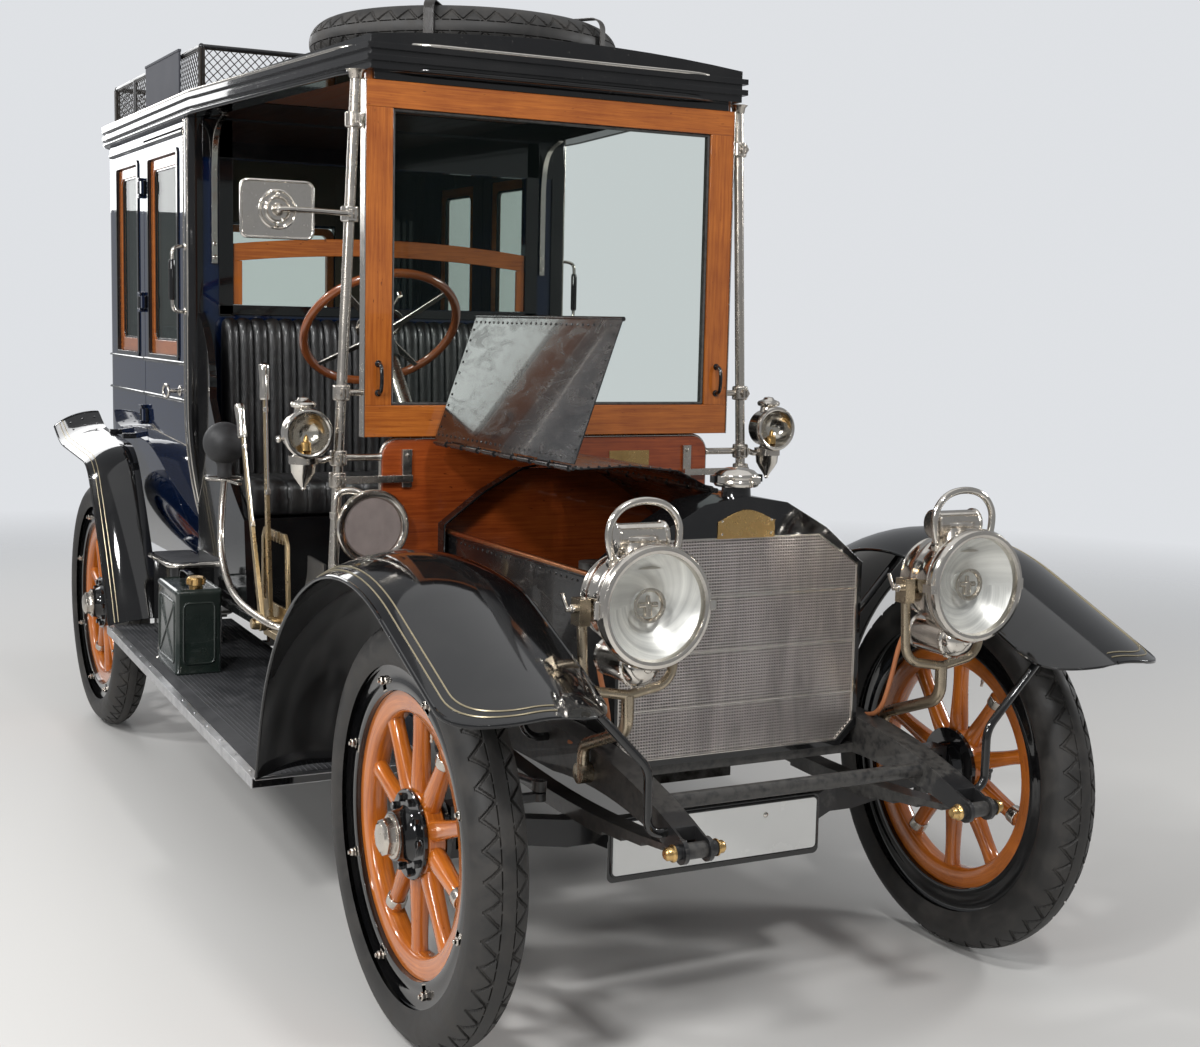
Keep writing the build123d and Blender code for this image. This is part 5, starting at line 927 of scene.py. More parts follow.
for catch_name, catch_x in (("rear", -640), ("front", -180)):
    shut_catch = side_catch.moved(x=catch_x, z=690)
    piece("bonnet_catch_left_" + catch_name, nickel, shut_catch, "bonnet_side_left", bevel=1.0)
    piece("bonnet_catch_right_" + catch_name, nickel, opened(shut_catch.across(), True),
          "bonnet_side_right", bevel=1.0)

# Dash and windscreen
# The dash is one varnished mahogany board with a nickel beading round its edge. The screen above it is a
# mortised frame of orange varnished ash with one pane, two pull rings and cast latches on the dash.
DASH_FRONT = -845
DASH_BACK = -865
DASH_HALF = 472
DASH_SPAN_Z = (640.3, 1183)
DASH_CORNER = 45
SCREEN_X = (-862, -832)
SCREEN_HALF = 524
SCREEN_Z = (1190, 2059)
PANE_HALF = 453.5
PANE_Z = (1269, 1994)


def rounded_outline(half, low, high, corner, steps=10):
    """A rectangle's (y, z) outline with its corners turned as quarter circles."""
    quarter = np.linspace(0, pi / 2, steps)
    arcs = []
    for start, centre_y, centre_z in ((0, half - corner, high - corner), (1, corner - half, high - corner),
                                      (2, corner - half, low + corner), (3, half - corner, low + corner)):
        angle = quarter + start * pi / 2
        arcs.append(np.stack([centre_y + corner * np.cos(angle), centre_z + corner * np.sin(angle)], -1))
    return np.vstack(arcs)


def standing(outline, x):
    """A (y, z) outline's points at one station along the car."""
    return triples(x, *outline.T)


def level(outline, z):
    """An (x, y) outline's points at one height."""
    return triples(*outline.T, z)


def grained_across(shape):
    """The same shape with its grain run across the car."""
    return Shape(shape.corners, shape.faces, shape.corners[:, [1, 2, 0]])


def sheet_of(outline, x_low, x_high):
    """A flat board from a (y, z) outline between two stations; its grain runs across the car."""
    return grained_across(loft(np.stack([standing(outline, x_low), standing(outline, x_high)])))


def glass_finish(name="window_glass", tint=(0.90, 0.93, 0.91), least_sheen=0.05, most_sheen=1.0):
    """Old glass: clear with a faint tint, with a soft mirror sheen that grows at a glance."""
    finish = Finish(name, (0.02, 0.03, 0.028), 0.02)
    ripple = finish.noise(finish.place(), 3.5, 2)
    finish.relief((ripple, 0.05, 0.004))
    glance = finish.node("LayerWeight", {}, output="Facing", Blend=0.5)
    sheen = glance * glance * glance * glance * most_sheen
    clear = finish.tree.nodes.new("ShaderNodeBsdfTransparent")
    clear.inputs["Color"].default_value = (*tint, 1)
    both = finish.tree.nodes.new("ShaderNodeMixShader")
    finish.feed(both.inputs[0], sheen + least_sheen)
    finish.tree.links.new(clear.outputs[0], both.inputs[1])
    finish.tree.links.new(finish.shader.outputs[0], both.inputs[2])
    finish.tree.links.new(both.outputs[0], finish.tree.nodes["Material Output"].inputs["Surface"])
    return finish.material


mahogany = varnished_finish("varnished_mahogany", (0.40, 0.085, 0.016), (0.155, 0.022, 0.005),
                            (0.05, 0.008, 0.002), 0.14)
frame_wood = varnished_finish("varnished_frame", (0.52, 0.155, 0.022), (0.235, 0.050, 0.007),
                              (0.09, 0.02, 0.004))
window_glass = glass_finish()
lamp_glass = glass_finish("lamp_glass", (0.99, 0.99, 0.98), 0.02, 0.35)

dash = sheet_of(rounded_outline(DASH_HALF, *DASH_SPAN_Z, DASH_CORNER), DASH_BACK, DASH_FRONT)
piece("dash", mahogany, dash, replaces=["dash_board"], bevel=2.5)
bead = rounded_outline(DASH_HALF + 1, DASH_SPAN_Z[0] + 2, DASH_SPAN_Z[1] + 1, DASH_CORNER)
bead_path = standing(bead, (DASH_BACK + DASH_FRONT) / 2)
dash_bead = carried(ring(5, 10), bead_path, (1, 0, 0), closed=True)
piece("dash_bead", nickel, dash_bead)
piece("dash_plate", brass, block((DASH_FRONT, DASH_FRONT + 2), (170, 292), (1078, 1146)), bevel=0.8)
for latch_name, y in (("right", -408), ("left", 408)):
    latch = block((DASH_FRONT, DASH_FRONT + 9), (y - 13, y + 13), (1062, 1158))
    latch_screws = turned([(0, 0), (0, 5), (3, 4.4), (4, 0)], "x", 12).copies(
        [(DASH_FRONT + 9, y, 1144), (DASH_FRONT + 9, y, 1078)])
    piece("dash_latch_" + latch_name, nickel, [latch, latch_screws], bevel=3)

rails = [block(SCREEN_X, (-SCREEN_HALF, SCREEN_HALF), (SCREEN_Z[0], PANE_Z[0])),
         block(SCREEN_X, (-SCREEN_HALF, SCREEN_HALF), (PANE_Z[1], SCREEN_Z[1]))]
stiles = [block((SCREEN_X[0] + 0.4, SCREEN_X[1] - 0.4), (side * SCREEN_HALF, side * PANE_HALF)[::side],
                (PANE_Z[0] - 0.5, PANE_Z[1] + 0.5)) for side in (-1, 1)]
piece("screen_frame", frame_wood, rails + stiles, replaces=["windscreen_frame"], bevel=2.2)
pane_bead = rounded_outline(PANE_HALF - 3, PANE_Z[0] + 3, PANE_Z[1] - 3, 2, 2)
bead_rows = [carried([(-4, -4), (4, -4), (4, 2), (0, 4), (-4, 2)],
                     standing(pane_bead, x), (1, 0, 0), closed=True) for x in (-852, -842)]
piece("pane_bead", black_iron, bead_rows)
for pull_name, y in (("right", -489), ("left", 489)):
    pull_line = [(0, y, 1300), (20, y, 1302), (26, y, 1322), (26, y, 1350), (20, y, 1370), (0, y, 1372)]
    pull = tube(pull_line, 5, 12)
    pads = turned([(0, 0), (0, 9), (3, 8), (4, 0)], "x", 20).copies([(0, y, 1300), (0, y, 1372)])
    piece("screen_pull_" + pull_name, black_enamel, (pull + pads).moved(x=SCREEN_X[1]))
for glass_node in ("fixed_glass", "door_glass_left", "door_glass_right"):
    softened(glass_node, window_glass)

# Screen posts
# Two nickel tubes lean in from flanged feet on the floor to the roof. Split collars with pinch bolts tie
# each to the dash and to the screen, and flat nickel irons hold the roof's front to the cabin.
POST_X = -848
POST_FOOT = (607, 641)
POST_HEAD = (545, 2079)
DASH_TIE_Z = 1085
DASH_STAYS_Z = (800, 1139)
SCREEN_TIES = (1300, 1960)


def post_y(z):
    """How far out the leaning post stands at a height."""
    return POST_FOOT[0] + (POST_HEAD[0] - POST_FOOT[0]) * (z - POST_FOOT[1]) / (POST_HEAD[1] - POST_FOOT[1])


def collar(z):
    """A split collar on the post with two ears and a pinch bolt in front."""
    sleeve = turned([(-19, 13), (-19, 19), (-16, 21.5), (16, 21.5), (19, 19), (19, 13), (-19, 13)], "z", 28)
    ears = block((14, 33), (-8, -1.5), (-11, 11)) + block((14, 33), (1.5, 8), (-11, 11))
    bolt = hexagon(8, 14, 7) + hexagon(-12, -8, 6)
    return (sleeve + ears + bolt.moved(x=25)).moved(POST_X, post_y(z), z)


post_tube = tube([(POST_X, *POST_FOOT), (POST_X, *POST_HEAD)], 13, 28, smooth=False)
post_foot = turned([(640.4, 0), (640.4, 27), (646, 27), (650, 21), (664, 17), (680, 13)], "z", 32,
                   (POST_X, POST_FOOT[0], 0))
post_head = turned([(2056, 13), (2060, 17), (2072, 19), (2079, 26), (2079.6, 0)], "z", 32,
                   (POST_X, POST_HEAD[0], 0))
post_parts = [post_tube, post_foot, post_head]
post_parts += [collar(z) for z in (DASH_STAYS_Z[0], DASH_TIE_Z, DASH_STAYS_Z[1], *SCREEN_TIES)]
for z in DASH_STAYS_Z:
    post_parts.append(tube([(POST_X - 7, DASH_HALF + 0.5, z), (POST_X - 7, post_y(z) - 18, z)], 9, 20,
                           smooth=False))
    stay_foot = turned([(0.4, 0), (0.4, 11), (5, 11), (9, 9)], "y", 20, (POST_X - 7, DASH_HALF, z))
    post_parts.append(stay_foot)
front_tie = block((DASH_FRONT + 9.5, DASH_FRONT + 19), (396, post_y(DASH_TIE_Z)),
                  (DASH_TIE_Z - 9, DASH_TIE_Z + 9))
post_parts.append(front_tie)
for z in SCREEN_TIES:
    post_parts.append(tube([(POST_X, SCREEN_HALF + 4, z), (POST_X, post_y(z) - 12, z)], 8, 20, smooth=False))
screen_channel = block((SCREEN_X[0] - 1.5, SCREEN_X[1] + 1.5), (SCREEN_HALF + 0.2, SCREEN_HALF + 3.4),
                       SCREEN_Z)
piece("posts", nickel, joined(post_parts).both(), replaces=["roof_posts"], bevel=1.0)
piece("screen_channels", bright_nickel, screen_channel.both(), bevel=1.0)

brace_path = eased([(-2092, 560, 1640), (-2092, 560, 1800), (-2092, 560, 1960), (-2062, 560, 2050),
                    (-1962, 560, 2079)], 10)
brace = carried([(-3.5, -9), (3.5, -9), (3.5, 9), (-3.5, 9)], brace_path, (0, 1, 0))
brace_screw = turned([(-2088.6, 6.5), (-2086.6, 5.8), (-2085.6, 0)], "x", 16)
brace_screws = brace_screw.copies([(0, 560, 1660), (0, 560, 1700)])
piece("roof_braces", bright_nickel, (brace + brace_screws).both(), bevel=1.2)

# Side lamps, mirror and horn
# The oil side lamps are nickel drums with a thick rim, a round lens and a pointed oil font in a collar. The
# mirror is a nickel case on a ball joint. The horn's mouth is a broad ring over a fine wire mesh.
SIDE_LAMP_AT = (-803, 675, 1202)
MIRROR_Y = -755
MIRROR_Z = 1733
HORN_AT = (-806, -508, 968)


def side_lamp_body():
    """The lamp's drum, thick rim and dished reflector as one turned shell, with chimney and oil font."""
    drum = turned([(-95, 0), (-95, 24), (-91, 31), (-76, 44), (-70, 46), (-67, 50), (-22, 51), (-20, 54),
                   (-16, 54.5), (-15, 59), (-11, 61.5), (-3, 61.5), (2, 59), (3, 54.5), (1, 50.5), (-6, 49),
                   (-18, 44), (-34, 31), (-44, 12), (-46, 0)], "x", 56)
    font = turned([(-38, 0), (-38, 21), (-45, 23), (-50, 20), (-54, 25), (-60, 33), (-66, 34), (-70, 32.5),
                   (-96, 30), (-112, 21), (-126, 11), (-134, 6), (-137, 7), (-141, 3.5), (-143, 0)], "z", 40)
    chimney = turned([(40, 0), (40, 25), (58, 22), (61, 24), (63, 30), (70, 32), (75, 29), (80, 16),
                      (86, 12), (88, 0)], "z", 40)
    knob = turned([(52, 0), (52, 5), (62, 4), (64, 8), (68, 9), (72, 7), (73, 0)], "y", 16)
    return joined([drum, (font + chimney).moved(x=-45), knob.moved(x=-30, z=-14)])


lamp_arm_z = DASH_STAYS_Z[1]
lamp_arm = tube([(POST_X, post_y(lamp_arm_z), lamp_arm_z), (POST_X, 612, lamp_arm_z), (POST_X, 628, 1132),
                 (POST_X, 643, 1134)], 8, 16)
lamp_clip = turned([(1126, 32.8), (1126, 36), (1146, 36), (1146, 32.8), (1126, 32.8)], "z", 40,
                   (POST_X, SIDE_LAMP_AT[1], 0))
side_lamp = side_lamp_body().moved(*SIDE_LAMP_AT)
lens = turned([(-7, 0), (-7, 48.5), (-3, 48.5), (2, 38), (5, 22), (6, 0)], "x", 48).moved(*SIDE_LAMP_AT)
burner = turned([(-42, 0), (-42, 12), (-22, 12), (-20, 7), (-10, 6), (-4, 2.5), (-2, 0)], "z", 20)
burner = burner.moved(SIDE_LAMP_AT[0] - 24, SIDE_LAMP_AT[1], SIDE_LAMP_AT[2])
piece("side_lamp_drums", bright_nickel, side_lamp.both(), replaces=["side_lamps"])
piece("side_lamp_arms", nickel, (lamp_arm + lamp_clip).both())
piece("side_lamp_burners", brass, burner.both())
piece("side_lamp_lenses", lamp_glass, lens.both())

silvered = Finish("silvered_glass", (0.86, 0.87, 0.88), 0.015, metallic=1.0)
silvered.relief((silvered.noise(silvered.place(), 30, 2), 0.01, 0.001))
case = sheet_of(rounded_outline(90, -69, 69, 18), -805, -798)
case_bead = carried(ring(3.4, 10), standing(rounded_outline(87, -66, 66, 17), -799), (1, 0, 0), closed=True)
rings = turned([(-799, 0), (-799, 47), (-795, 47), (-793.5, 44), (-795, 41), (-797, 40), (-797, 33),
                (-794, 32), (-792, 29), (-794, 26), (-796, 25), (-796, 15), (-790, 13), (-784, 9),
                (-780, 9), (-776, 5), (-776, 0)], "x", 56)
screws = turned([(-796, 0), (-796, 6), (-788, 5), (-786, 0)], "x", 12).copies([(0, 0, -34), (0, 0, 34)])
case_parts = joined([case, case_bead, rings, screws]).moved(y=MIRROR_Y, z=MIRROR_Z)
mirror_arm = tube([(POST_X + 20, -post_y(1734), 1734), (POST_X + 34, -612, 1734), (-800, -668, 1735),
                   (-784, -716, 1734), (-781, MIRROR_Y, MIRROR_Z)], 7, 16, upward=(0.1, 0.1, 1))
piece("mirror_case", bright_nickel, case_parts, replaces=["rear_view_mirror"], bevel=0.8)
piece("mirror_arm", bright_nickel, [mirror_arm, collar(1734).across()], bevel=0.8)
pane = sheet_of(rounded_outline(85, -64, 64, 15), -807.6, -805.2)
piece("mirror_pane", silvered.material, pane.moved(y=MIRROR_Y, z=MIRROR_Z))


def mesh_disc(radius, pitch, wire):
    """Woven wire: level and upright wires, each as long as the circle's chord at its place."""
    place = np.arange(-radius + pitch / 2, radius, pitch)
    chord = 2 * np.sqrt(radius ** 2 - place ** 2)
    across = bars(triples(0, 0, place), triples(wire, chord, wire))
    upright = bars(triples(0.4, place, 0), triples(wire, wire, chord))
    return across + upright


horn_mouth = turned([(-150, 0), (-150, 15), (-60, 22), (-44, 27), (-30, 40), (-19, 76), (-14, 81),
                     (-12, 90), (-8, 94.5), (0, 94.5), (4, 91.5), (4, 85), (1, 77), (-4, 74), (-9, 72),
                     (-9, 0)], "x", 64).moved(*HORN_AT)
rivet_angle = np.radians((10, 130, 190, 310))
ring_rivets = turned([(4, 3.6), (5.6, 3), (6.4, 0)], "x", 10).copies(
    triples(0, 88 * np.cos(rivet_angle), 88 * np.sin(rivet_angle))).moved(*HORN_AT)
horn_pipe = tube([(-816, -520, 1046), (-818, -560, 1062), (-820, -596, 1058), (-820, -604, 1030),
                  (-820, -604, 950), (-820, -604, 840), (-820, -600, 700), (-820, -600, 641)], 9.5, 18)
pipe_collars = turned([(-8, 9.5), (-8, 12.5), (8, 12.5), (8, 9.5), (-8, 9.5)], "z", 20).copies(
    [(-820, -604, 1000), (-820, -603.4, 870)])
stand = turned([(640.5, 0), (640.5, 26), (646, 26), (652, 19), (760, 12), (872, 8), (884, 0)], "z", 28,
               (-822, -540, 0))
piece("horn_mouth", bright_nickel, [horn_mouth, ring_rivets, stand], replaces=["horn"])
piece("horn_pipe", nickel, [horn_pipe, pipe_collars])
mesh_metal = Finish("horn_mesh", (0.50, 0.44, 0.42), 0.5, metallic=0.5)
mesh_metal.set("Base Color", mesh_metal.blend(mesh_metal.noise(mesh_metal.place(), 24, 4),
                                              (0.34, 0.28, 0.265), (0.56, 0.48, 0.45)))
mesh_back = turned([(-3.5, 0), (-3.5, 73), (-2.2, 73), (-2.2, 0)], "x", 48)
horn_screen = (mesh_disc(72.5, 3.1, 1.35) + mesh_back).moved(HORN_AT[0] - 4, HORN_AT[1], HORN_AT[2])
piece("horn_mesh", mesh_metal.material, horn_screen)

# Driver's seat and floor
# Floor, toe board, seat box and end boards are one black painted body. The seat has a cushion and a tall
# back of black hide in deep upright pleats, each stuffed as a tube and sewn down between its neighbours.
PLEAT_PITCH = 46
END_ROLL = 20
FLOOR_Z = 640


def leather_finish(name, colour, worn):
    """Black hide: fine pebble grain, soft creases, grey rub marks where people sit."""
    finish = Finish(name, colour, 0.34, coat=0.25)
    here = finish.place()
    grain = finish.node("TexVoronoi", {}, Vector=here, Scale=520)
    creases = finish.noise(finish.place((9, 34, 9)), 5, 6, 0.65, 1.4)
    rub = finish.band(finish.noise(here, 9, 4) + finish.wear(0.3), 0.52, 0.80)
    finish.set("Base Color", finish.blend(rub * 0.45, colour, worn))
    finish.set("Roughness", 0.27 + rub * 0.16 + creases * 0.08)
    finish.relief((grain, 0.16, 0.0004), (creases, 0.42, 0.0035))
    return finish.material


def pleated(section, half, weights, pitch=PLEAT_PITCH, depth=13):
    """Upholstery carried across the car: a closed (x, z) section, sunk along its normals between pleats.

    A pleat's height is the root of a half sine across it, and the section shrinks as a quarter circle at
    both ends.
    """
    outline = eased(section, 6)
    share = np.linspace(0, 1, len(outline))
    weight = np.interp(share, np.linspace(0, 1, len(weights)), weights)
    ahead = np.gradient(outline, axis=0)
    ahead /= np.linalg.norm(ahead, axis=1, keepdims=True)
    normal = np.stack([ahead[:, 1], -ahead[:, 0]], -1)
    count = max(int(round(2 * half / pitch)), 1)
    across = np.linspace(-1, 1, count * 10 + 1)
    y = across * half
    hump = np.abs(np.sin((across + 1) / 2 * count * pi)) ** 0.55
    edge = np.clip((half - np.abs(y)) / END_ROLL, 0, 1)
    shrink = END_ROLL * (1 - np.sqrt(1 - (1 - edge) ** 2))
    sink = depth * (1 - hump[:, None]) * weight[None] + shrink[:, None]
    points = outline[None] - normal[None] * sink[..., None]
    return loft(triples(points[..., 0], y[:, None], points[..., 1])[:, :-1])


black_hide = leather_finish("black_hide", (0.0075, 0.0075, 0.008), (0.06, 0.057, 0.052))
softened("front_body", black_enamel)
seat_back = pleated([(-2050, 904), (-2014, 904), (-2003, 914), (-2003, 1010), (-2007, 1180), (-2016, 1370),
                     (-2026, 1452), (-2054, 1479), (-2088, 1472), (-2096, 1430), (-2096, 1000),
                     (-2095, 912), (-2076, 904), (-2050, 904)], 546,
                    (0, 0.2, 1, 1, 1, 1, 1, 0.9, 0.4, 0, 0, 0, 0, 0))
seat_cushion = pleated([(-1800, 901), (-1640, 901), (-1626, 915), (-1622, 960), (-1628, 1000),
                        (-1660, 1013), (-1760, 1014), (-1900, 1006), (-1980, 998), (-1998, 985),
                        (-1999, 930), (-1990, 901), (-1800, 901)], 586,
                       (0, 0, 0.6, 1, 1, 1, 1, 1, 1, 0.3, 0, 0, 0), pitch=58, depth=9)
rear_back = pleated([(-3240, 903), (-3192, 903), (-3182, 918), (-3184, 1150), (-3196, 1380), (-3214, 1430),
                     (-3262, 1441), (-3310, 1432), (-3316, 1300), (-3300, 960), (-3290, 903), (-3240, 903)],
                    452, (0, 0.2, 1, 1, 1, 1, 0.7, 0.2, 0, 0, 0, 0), pitch=56)
rear_cushion = pleated([(-3000, 901), (-2860, 901), (-2846, 915), (-2842, 960), (-2850, 1000),
                        (-2890, 1011), (-3000, 1011), (-3140, 1006), (-3172, 996), (-3179, 930),
                        (-3168, 901), (-3000, 901)], 452, (0, 0, 0.6, 1, 1, 1, 1, 0.9, 0.4, 0, 0, 0),
                       pitch=64, depth=9)
for cushion_name, cushion_shape, replaced in (("front_seat_back", seat_back, ["seats"]),
                                              ("front_seat_cushion", seat_cushion, ()),
                                              ("rear_seat_back", rear_back, ()),
                                              ("rear_seat_cushion", rear_cushion, ())):
    piece(cushion_name, black_hide, cushion_shape, replaces=replaced, sharp=75)
piece("rear_seat_base", black_hide, block((-3214, -2862), (-451, 451), (661, 900)), bevel=4)
apron_path = eased([(-900, -604, 866), (-905, -604, 800), (-960, -604, 742), (-1080, -604, 690),
                    (-1135, -604, 645)], 6)
apron_skin = [apron_path + shift for shift in ((0, 0, 0), (-150, 6, 4), (-152, 12, 4), (0, 6, 0))]
piece("side_apron", black_hide, grid(np.stack(apron_skin, 1), wrap_v=True), sharp=70)
mat_ribs = bars([(-1350, y, FLOOR_Z + 3.5) for y in np.arange(-448, 449, 16)], [(470, 7, 5)] * 57)
mat_sheet = block((-1596, -1108), (-462, 462), (FLOOR_Z + 0.5, FLOOR_Z + 2.5))
mat_rubber = rubber_finish("mat_rubber", (0.022, 0.021, 0.020), (0.085, 0.078, 0.070))
piece("floor_mat", mat_rubber, [mat_ribs, mat_sheet])

# Steering wheel, levers and bulb horn
# A bent walnut rim on four flat nickel arms turns on the raked column. Two forged bronze levers with nickel
# grips work in a cast gate on the floor's edge, and the horn's rubber bulb sits on a tray beside them.
COLUMN_Y = -250
COLUMN_FOOT = (-640, 600)
WHEEL_HUB = (-1460, 1455)
COLUMN_TILT = degrees(atan2(WHEEL_HUB[0] - COLUMN_FOOT[0], WHEEL_HUB[1] - COLUMN_FOOT[1]))
LEVER_PIVOT = (-1215, 668)
GATE_Y = -632


def on_column(shape, back=0.0):
    """Stands a shape drawn up the Z axis on the column's head, or some way back down it."""
    rake = radians(COLUMN_TILT)
    x, z = WHEEL_HUB[0] - back * sin(rake), WHEEL_HUB[1] - back * cos(rake)
    return shape.turned("Y", COLUMN_TILT).moved(x, COLUMN_Y, z)


rim_section = ring(13, 20) * (1.0, 0.92)
rim_profile = [(z, 222 + r) for r, z in (*rim_section, rim_section[0])]
walnut = varnished_finish("varnished_walnut", (0.30, 0.085, 0.022), (0.12, 0.026, 0.007),
                          (0.04, 0.01, 0.003), 0.14)
piece("wheel_rim", walnut, on_column(turned(rim_profile, "z", 128)), "steering_wheel",
      replaces=["steering_wheel"], sharp=60)
arm_path = eased([(20, 0, -18), (70, 0, -17), (140, 0, -10), (214, 0, -3)], 6)
arm_scale = np.linspace(1.25, 0.8, len(arm_path))
wheel_arm = carried([(-9, -3), (9, -3), (10, 0), (9, 3), (-9, 3), (-10, 0)], arm_path, (0, 0, 1),
                    scale=arm_scale)
wheel_arms = joined([wheel_arm.turned("Z", angle) for angle in (45, 135, 225, 315)])
hub_cap = turned([(-36, 0), (-36, 25), (-32, 30), (-10, 30), (-6, 27), (-4, 22), (2, 20), (8, 12), (10, 0)],
                 "z", 36)
quadrant = turned([(-2, 60), (2, 60), (2, 70), (-2, 70), (-2, 60)], "z", 48).moved(z=14)
throttle_rod = tube([(0, 0, 16), (60, 20, 20), (104, 34, 30)], 3.5, 10)
throttle_knob = turned([(24, 0), (24, 7), (38, 8), (40, 0)], "z", 16, (106, 35, 0))
wheel_metal = joined([wheel_arms, hub_cap, quadrant, throttle_rod, throttle_knob])
piece("wheel_arms", bright_nickel, on_column(wheel_metal), "steering_wheel", bevel=0.8)
sleeve = turned([(0, 0), (0, 21), (10, 24), (24, 24), (30, 21.5), (560, 21.5), (566, 0)], "z", 32)
piece("column_sleeve", nickel, on_column(sleeve, 640))
gate_plate = turned([(0, 0), (0, 28), (60, 26), (62, 0)], "z", 28)
piece("column_gland", cast_metal, on_column(gate_plate, 720))

bronze = nickel_finish("bronze", (0.46, 0.35, 0.20), (0.20, 0.14, 0.08), 0.27)


def lever(top, y):
    """A flat forged lever from the pivot's boss to its grip, with the latch rod that runs beside it."""
    start = np.array((LEVER_PIVOT[0], y, LEVER_PIVOT[1]), float)
    end = np.array((top[0], y, top[1]), float)
    along = (end - start) / np.linalg.norm(end - start)
    bar_path = start + (end - start) * np.linspace(0, 1, 12)[:, None]
    bar = carried([(-5, -11), (5, -11), (5, 11), (-5, 11)], bar_path, (1, 0, 0.1),
                  scale=np.linspace(1.15, 0.7, 12))
    boss = turned([(-9, 0), (-9, 20), (9, 20), (9, 0)], "y", 24, tuple(start))
    rake = degrees(atan2(along[0], along[2]))
    grip = turned([(-86, 6), (-84, 12), (-78, 14), (-40, 12.5), (-10, 14), (4, 15), (10, 13), (14, 6),
                   (15, 0)], "z", 24)
    latch = tube([(16, 0, -20), (20, 0, -60), (14, 0, -110), (12, 0, -330)], 3.2, 10)
    guides = block((0, 17), (-5, 5), (-116, -104)) + block((0, 17), (-5, 5), (-336, -322))
    bright = (grip + latch + guides).turned("Y", rake).moved(*end)
    return bar + boss, bright


levers = [lever((-1270, 1345), -648), lever((-1425, 1230), -670)]
gate_outline = np.array([(-1340, GATE_Y, 626), (-1112, GATE_Y, 626), (-1130, GATE_Y, 905),
                         (-1340, GATE_Y, 905)], float)
gate_sides = gate_outline[[1, 2, 3, 0]] - gate_outline
gate_loop = np.stack([gate_outline + gate_sides * share for share in (0.06, 0.94)], 1).reshape(-1, 3)
gate_bar = carried([(-9, -4.5), (9, -4.5), (9, 4.5), (-9, 4.5)], gate_loop + (0, 4, 0), (0, 1, 0),
                   closed=True)
gate_teeth = bars([(x, -627, 893) for x in np.arange(-1320, -1140, 26)], [(8, 8, 18)] * 7)
gate_foot = block((-1338, -1114), (-631, -622.6), (622, 716))
cross_shaft = turned([(-700, 0), (-700, 13), (-690, 16), (-622, 16), (-622, 0)], "y", 24,
                     (LEVER_PIVOT[0], 0, LEVER_PIVOT[1]))
piece("lever_bars", bronze, [levers[0][0], levers[1][0], gate_bar, gate_teeth, gate_foot, cross_shaft],
      replaces=["hand_levers"], bevel=1.2)
piece("lever_grips", bright_nickel, [levers[0][1], levers[1][1]], bevel=0.6)

bulb_angle = np.radians(np.linspace(-66, 90, 20))
bulb_profile = [(1026, 0), (1026, 19), (1034, 21), (1044, 20), (1056, 21)] + [
    (1123 + 60 * sin(angle), 60 * cos(angle)) for angle in bulb_angle]
bulb_rubber = rubber_finish("bulb_rubber", (0.016, 0.016, 0.017), (0.05, 0.05, 0.052), 0.2)
piece("horn_bulb_rubber", bulb_rubber, turned(bulb_profile, "z", 56, (-1590, -668, 0)),
      replaces=["horn_bulb"])
tray = turned([(1018, 0), (1018, 50), (1020, 54), (1024, 54), (1026, 51), (1024, 48), (1022, 0)], "z", 48,
              (-1590, -668, 0))
bulb_tube = tube([(-1590, -668, 1018), (-1588, -676, 940), (-1560, -690, 830), (-1450, -700, 750),
                  (-1330, -705, 715), (-1180, -700, 698), (-1060, -690, 690), (-1040, -664, 684),
                  (-1036, -634, 680)], 10, 18)
tray_link = block((-1560, -1432), (-674, -662), (1017, 1024))
floor_clip = block((-1058, -1014), (-640, -622.6), (626, 692))
piece("horn_tube", nickel, [tray, bulb_tube, tray_link, floor_clip], bevel=0.8)

# Cabin
# Deep blue panels between black posts and mouldings, varnished sashes in every window, fine bright bead
# lines at the front corners and the waist. Each door has black hinges and a loop handle on a rose.
CABIN_X = (-3400, -2100)
CABIN_HALF = 637
CABIN_TUCK = 117
WAIST_Z = 1200
CABIN_FOOT_Z = 640
CABIN_HEAD_Z = 2078
REAR_CORNER = 190
DOOR_X = (-2693, -2172)
WINDOW_Z = (1350, 1985)
WINDOWS = (("door", -2432.5, 192.5), ("quarter", -2950, 160))
WAIST_BEADS_Z = (1330, 1213)
HINGE_X = -2697
HINGES_Z = (1120, 1500, 1880)
TUCK_RADIUS = ((WAIST_Z - CABIN_FOOT_Z) ** 2 + CABIN_TUCK ** 2) / (2 * CABIN_TUCK)


def cabin_y(z):
    """The cabin's half width at a height: below the waist it tucks under in an arc."""
    below = np.maximum(WAIST_Z - np.asarray(z, float), 0)
    return CABIN_HALF - TUCK_RADIUS + np.sqrt(TUCK_RADIUS ** 2 - below ** 2)


def on_side(side_name, shape):
    """A shape drawn for the car's left side, on the side that is named."""
    return shape.across() if side_name == "right" else shape


def surround(outer, inner, near, far):
    """A flat frame on the car's side between two (x, z) outlines, from one distance out to another."""
    loops = [triples(outline[:, 0], depth, outline[:, 1]) for outline, depth in
             ((outer, near), (outer, far), (inner, far), (inner, near))]
    return grid(np.stack(loops), wrap_u=True, wrap_v=True)


def window_outline(centre, half, low, high, corner):
    """A window's (x, z) outline with round corners."""
    return rounded_outline(half, low, high, corner) + (centre, 0)


def half_round(radius):
    """A half-round moulding's section: flat behind, domed in front."""
    angle = np.linspace(0, pi, 7)
    return np.stack([radius * np.cos(angle), radius * 0.8 * np.sin(angle)], -1)


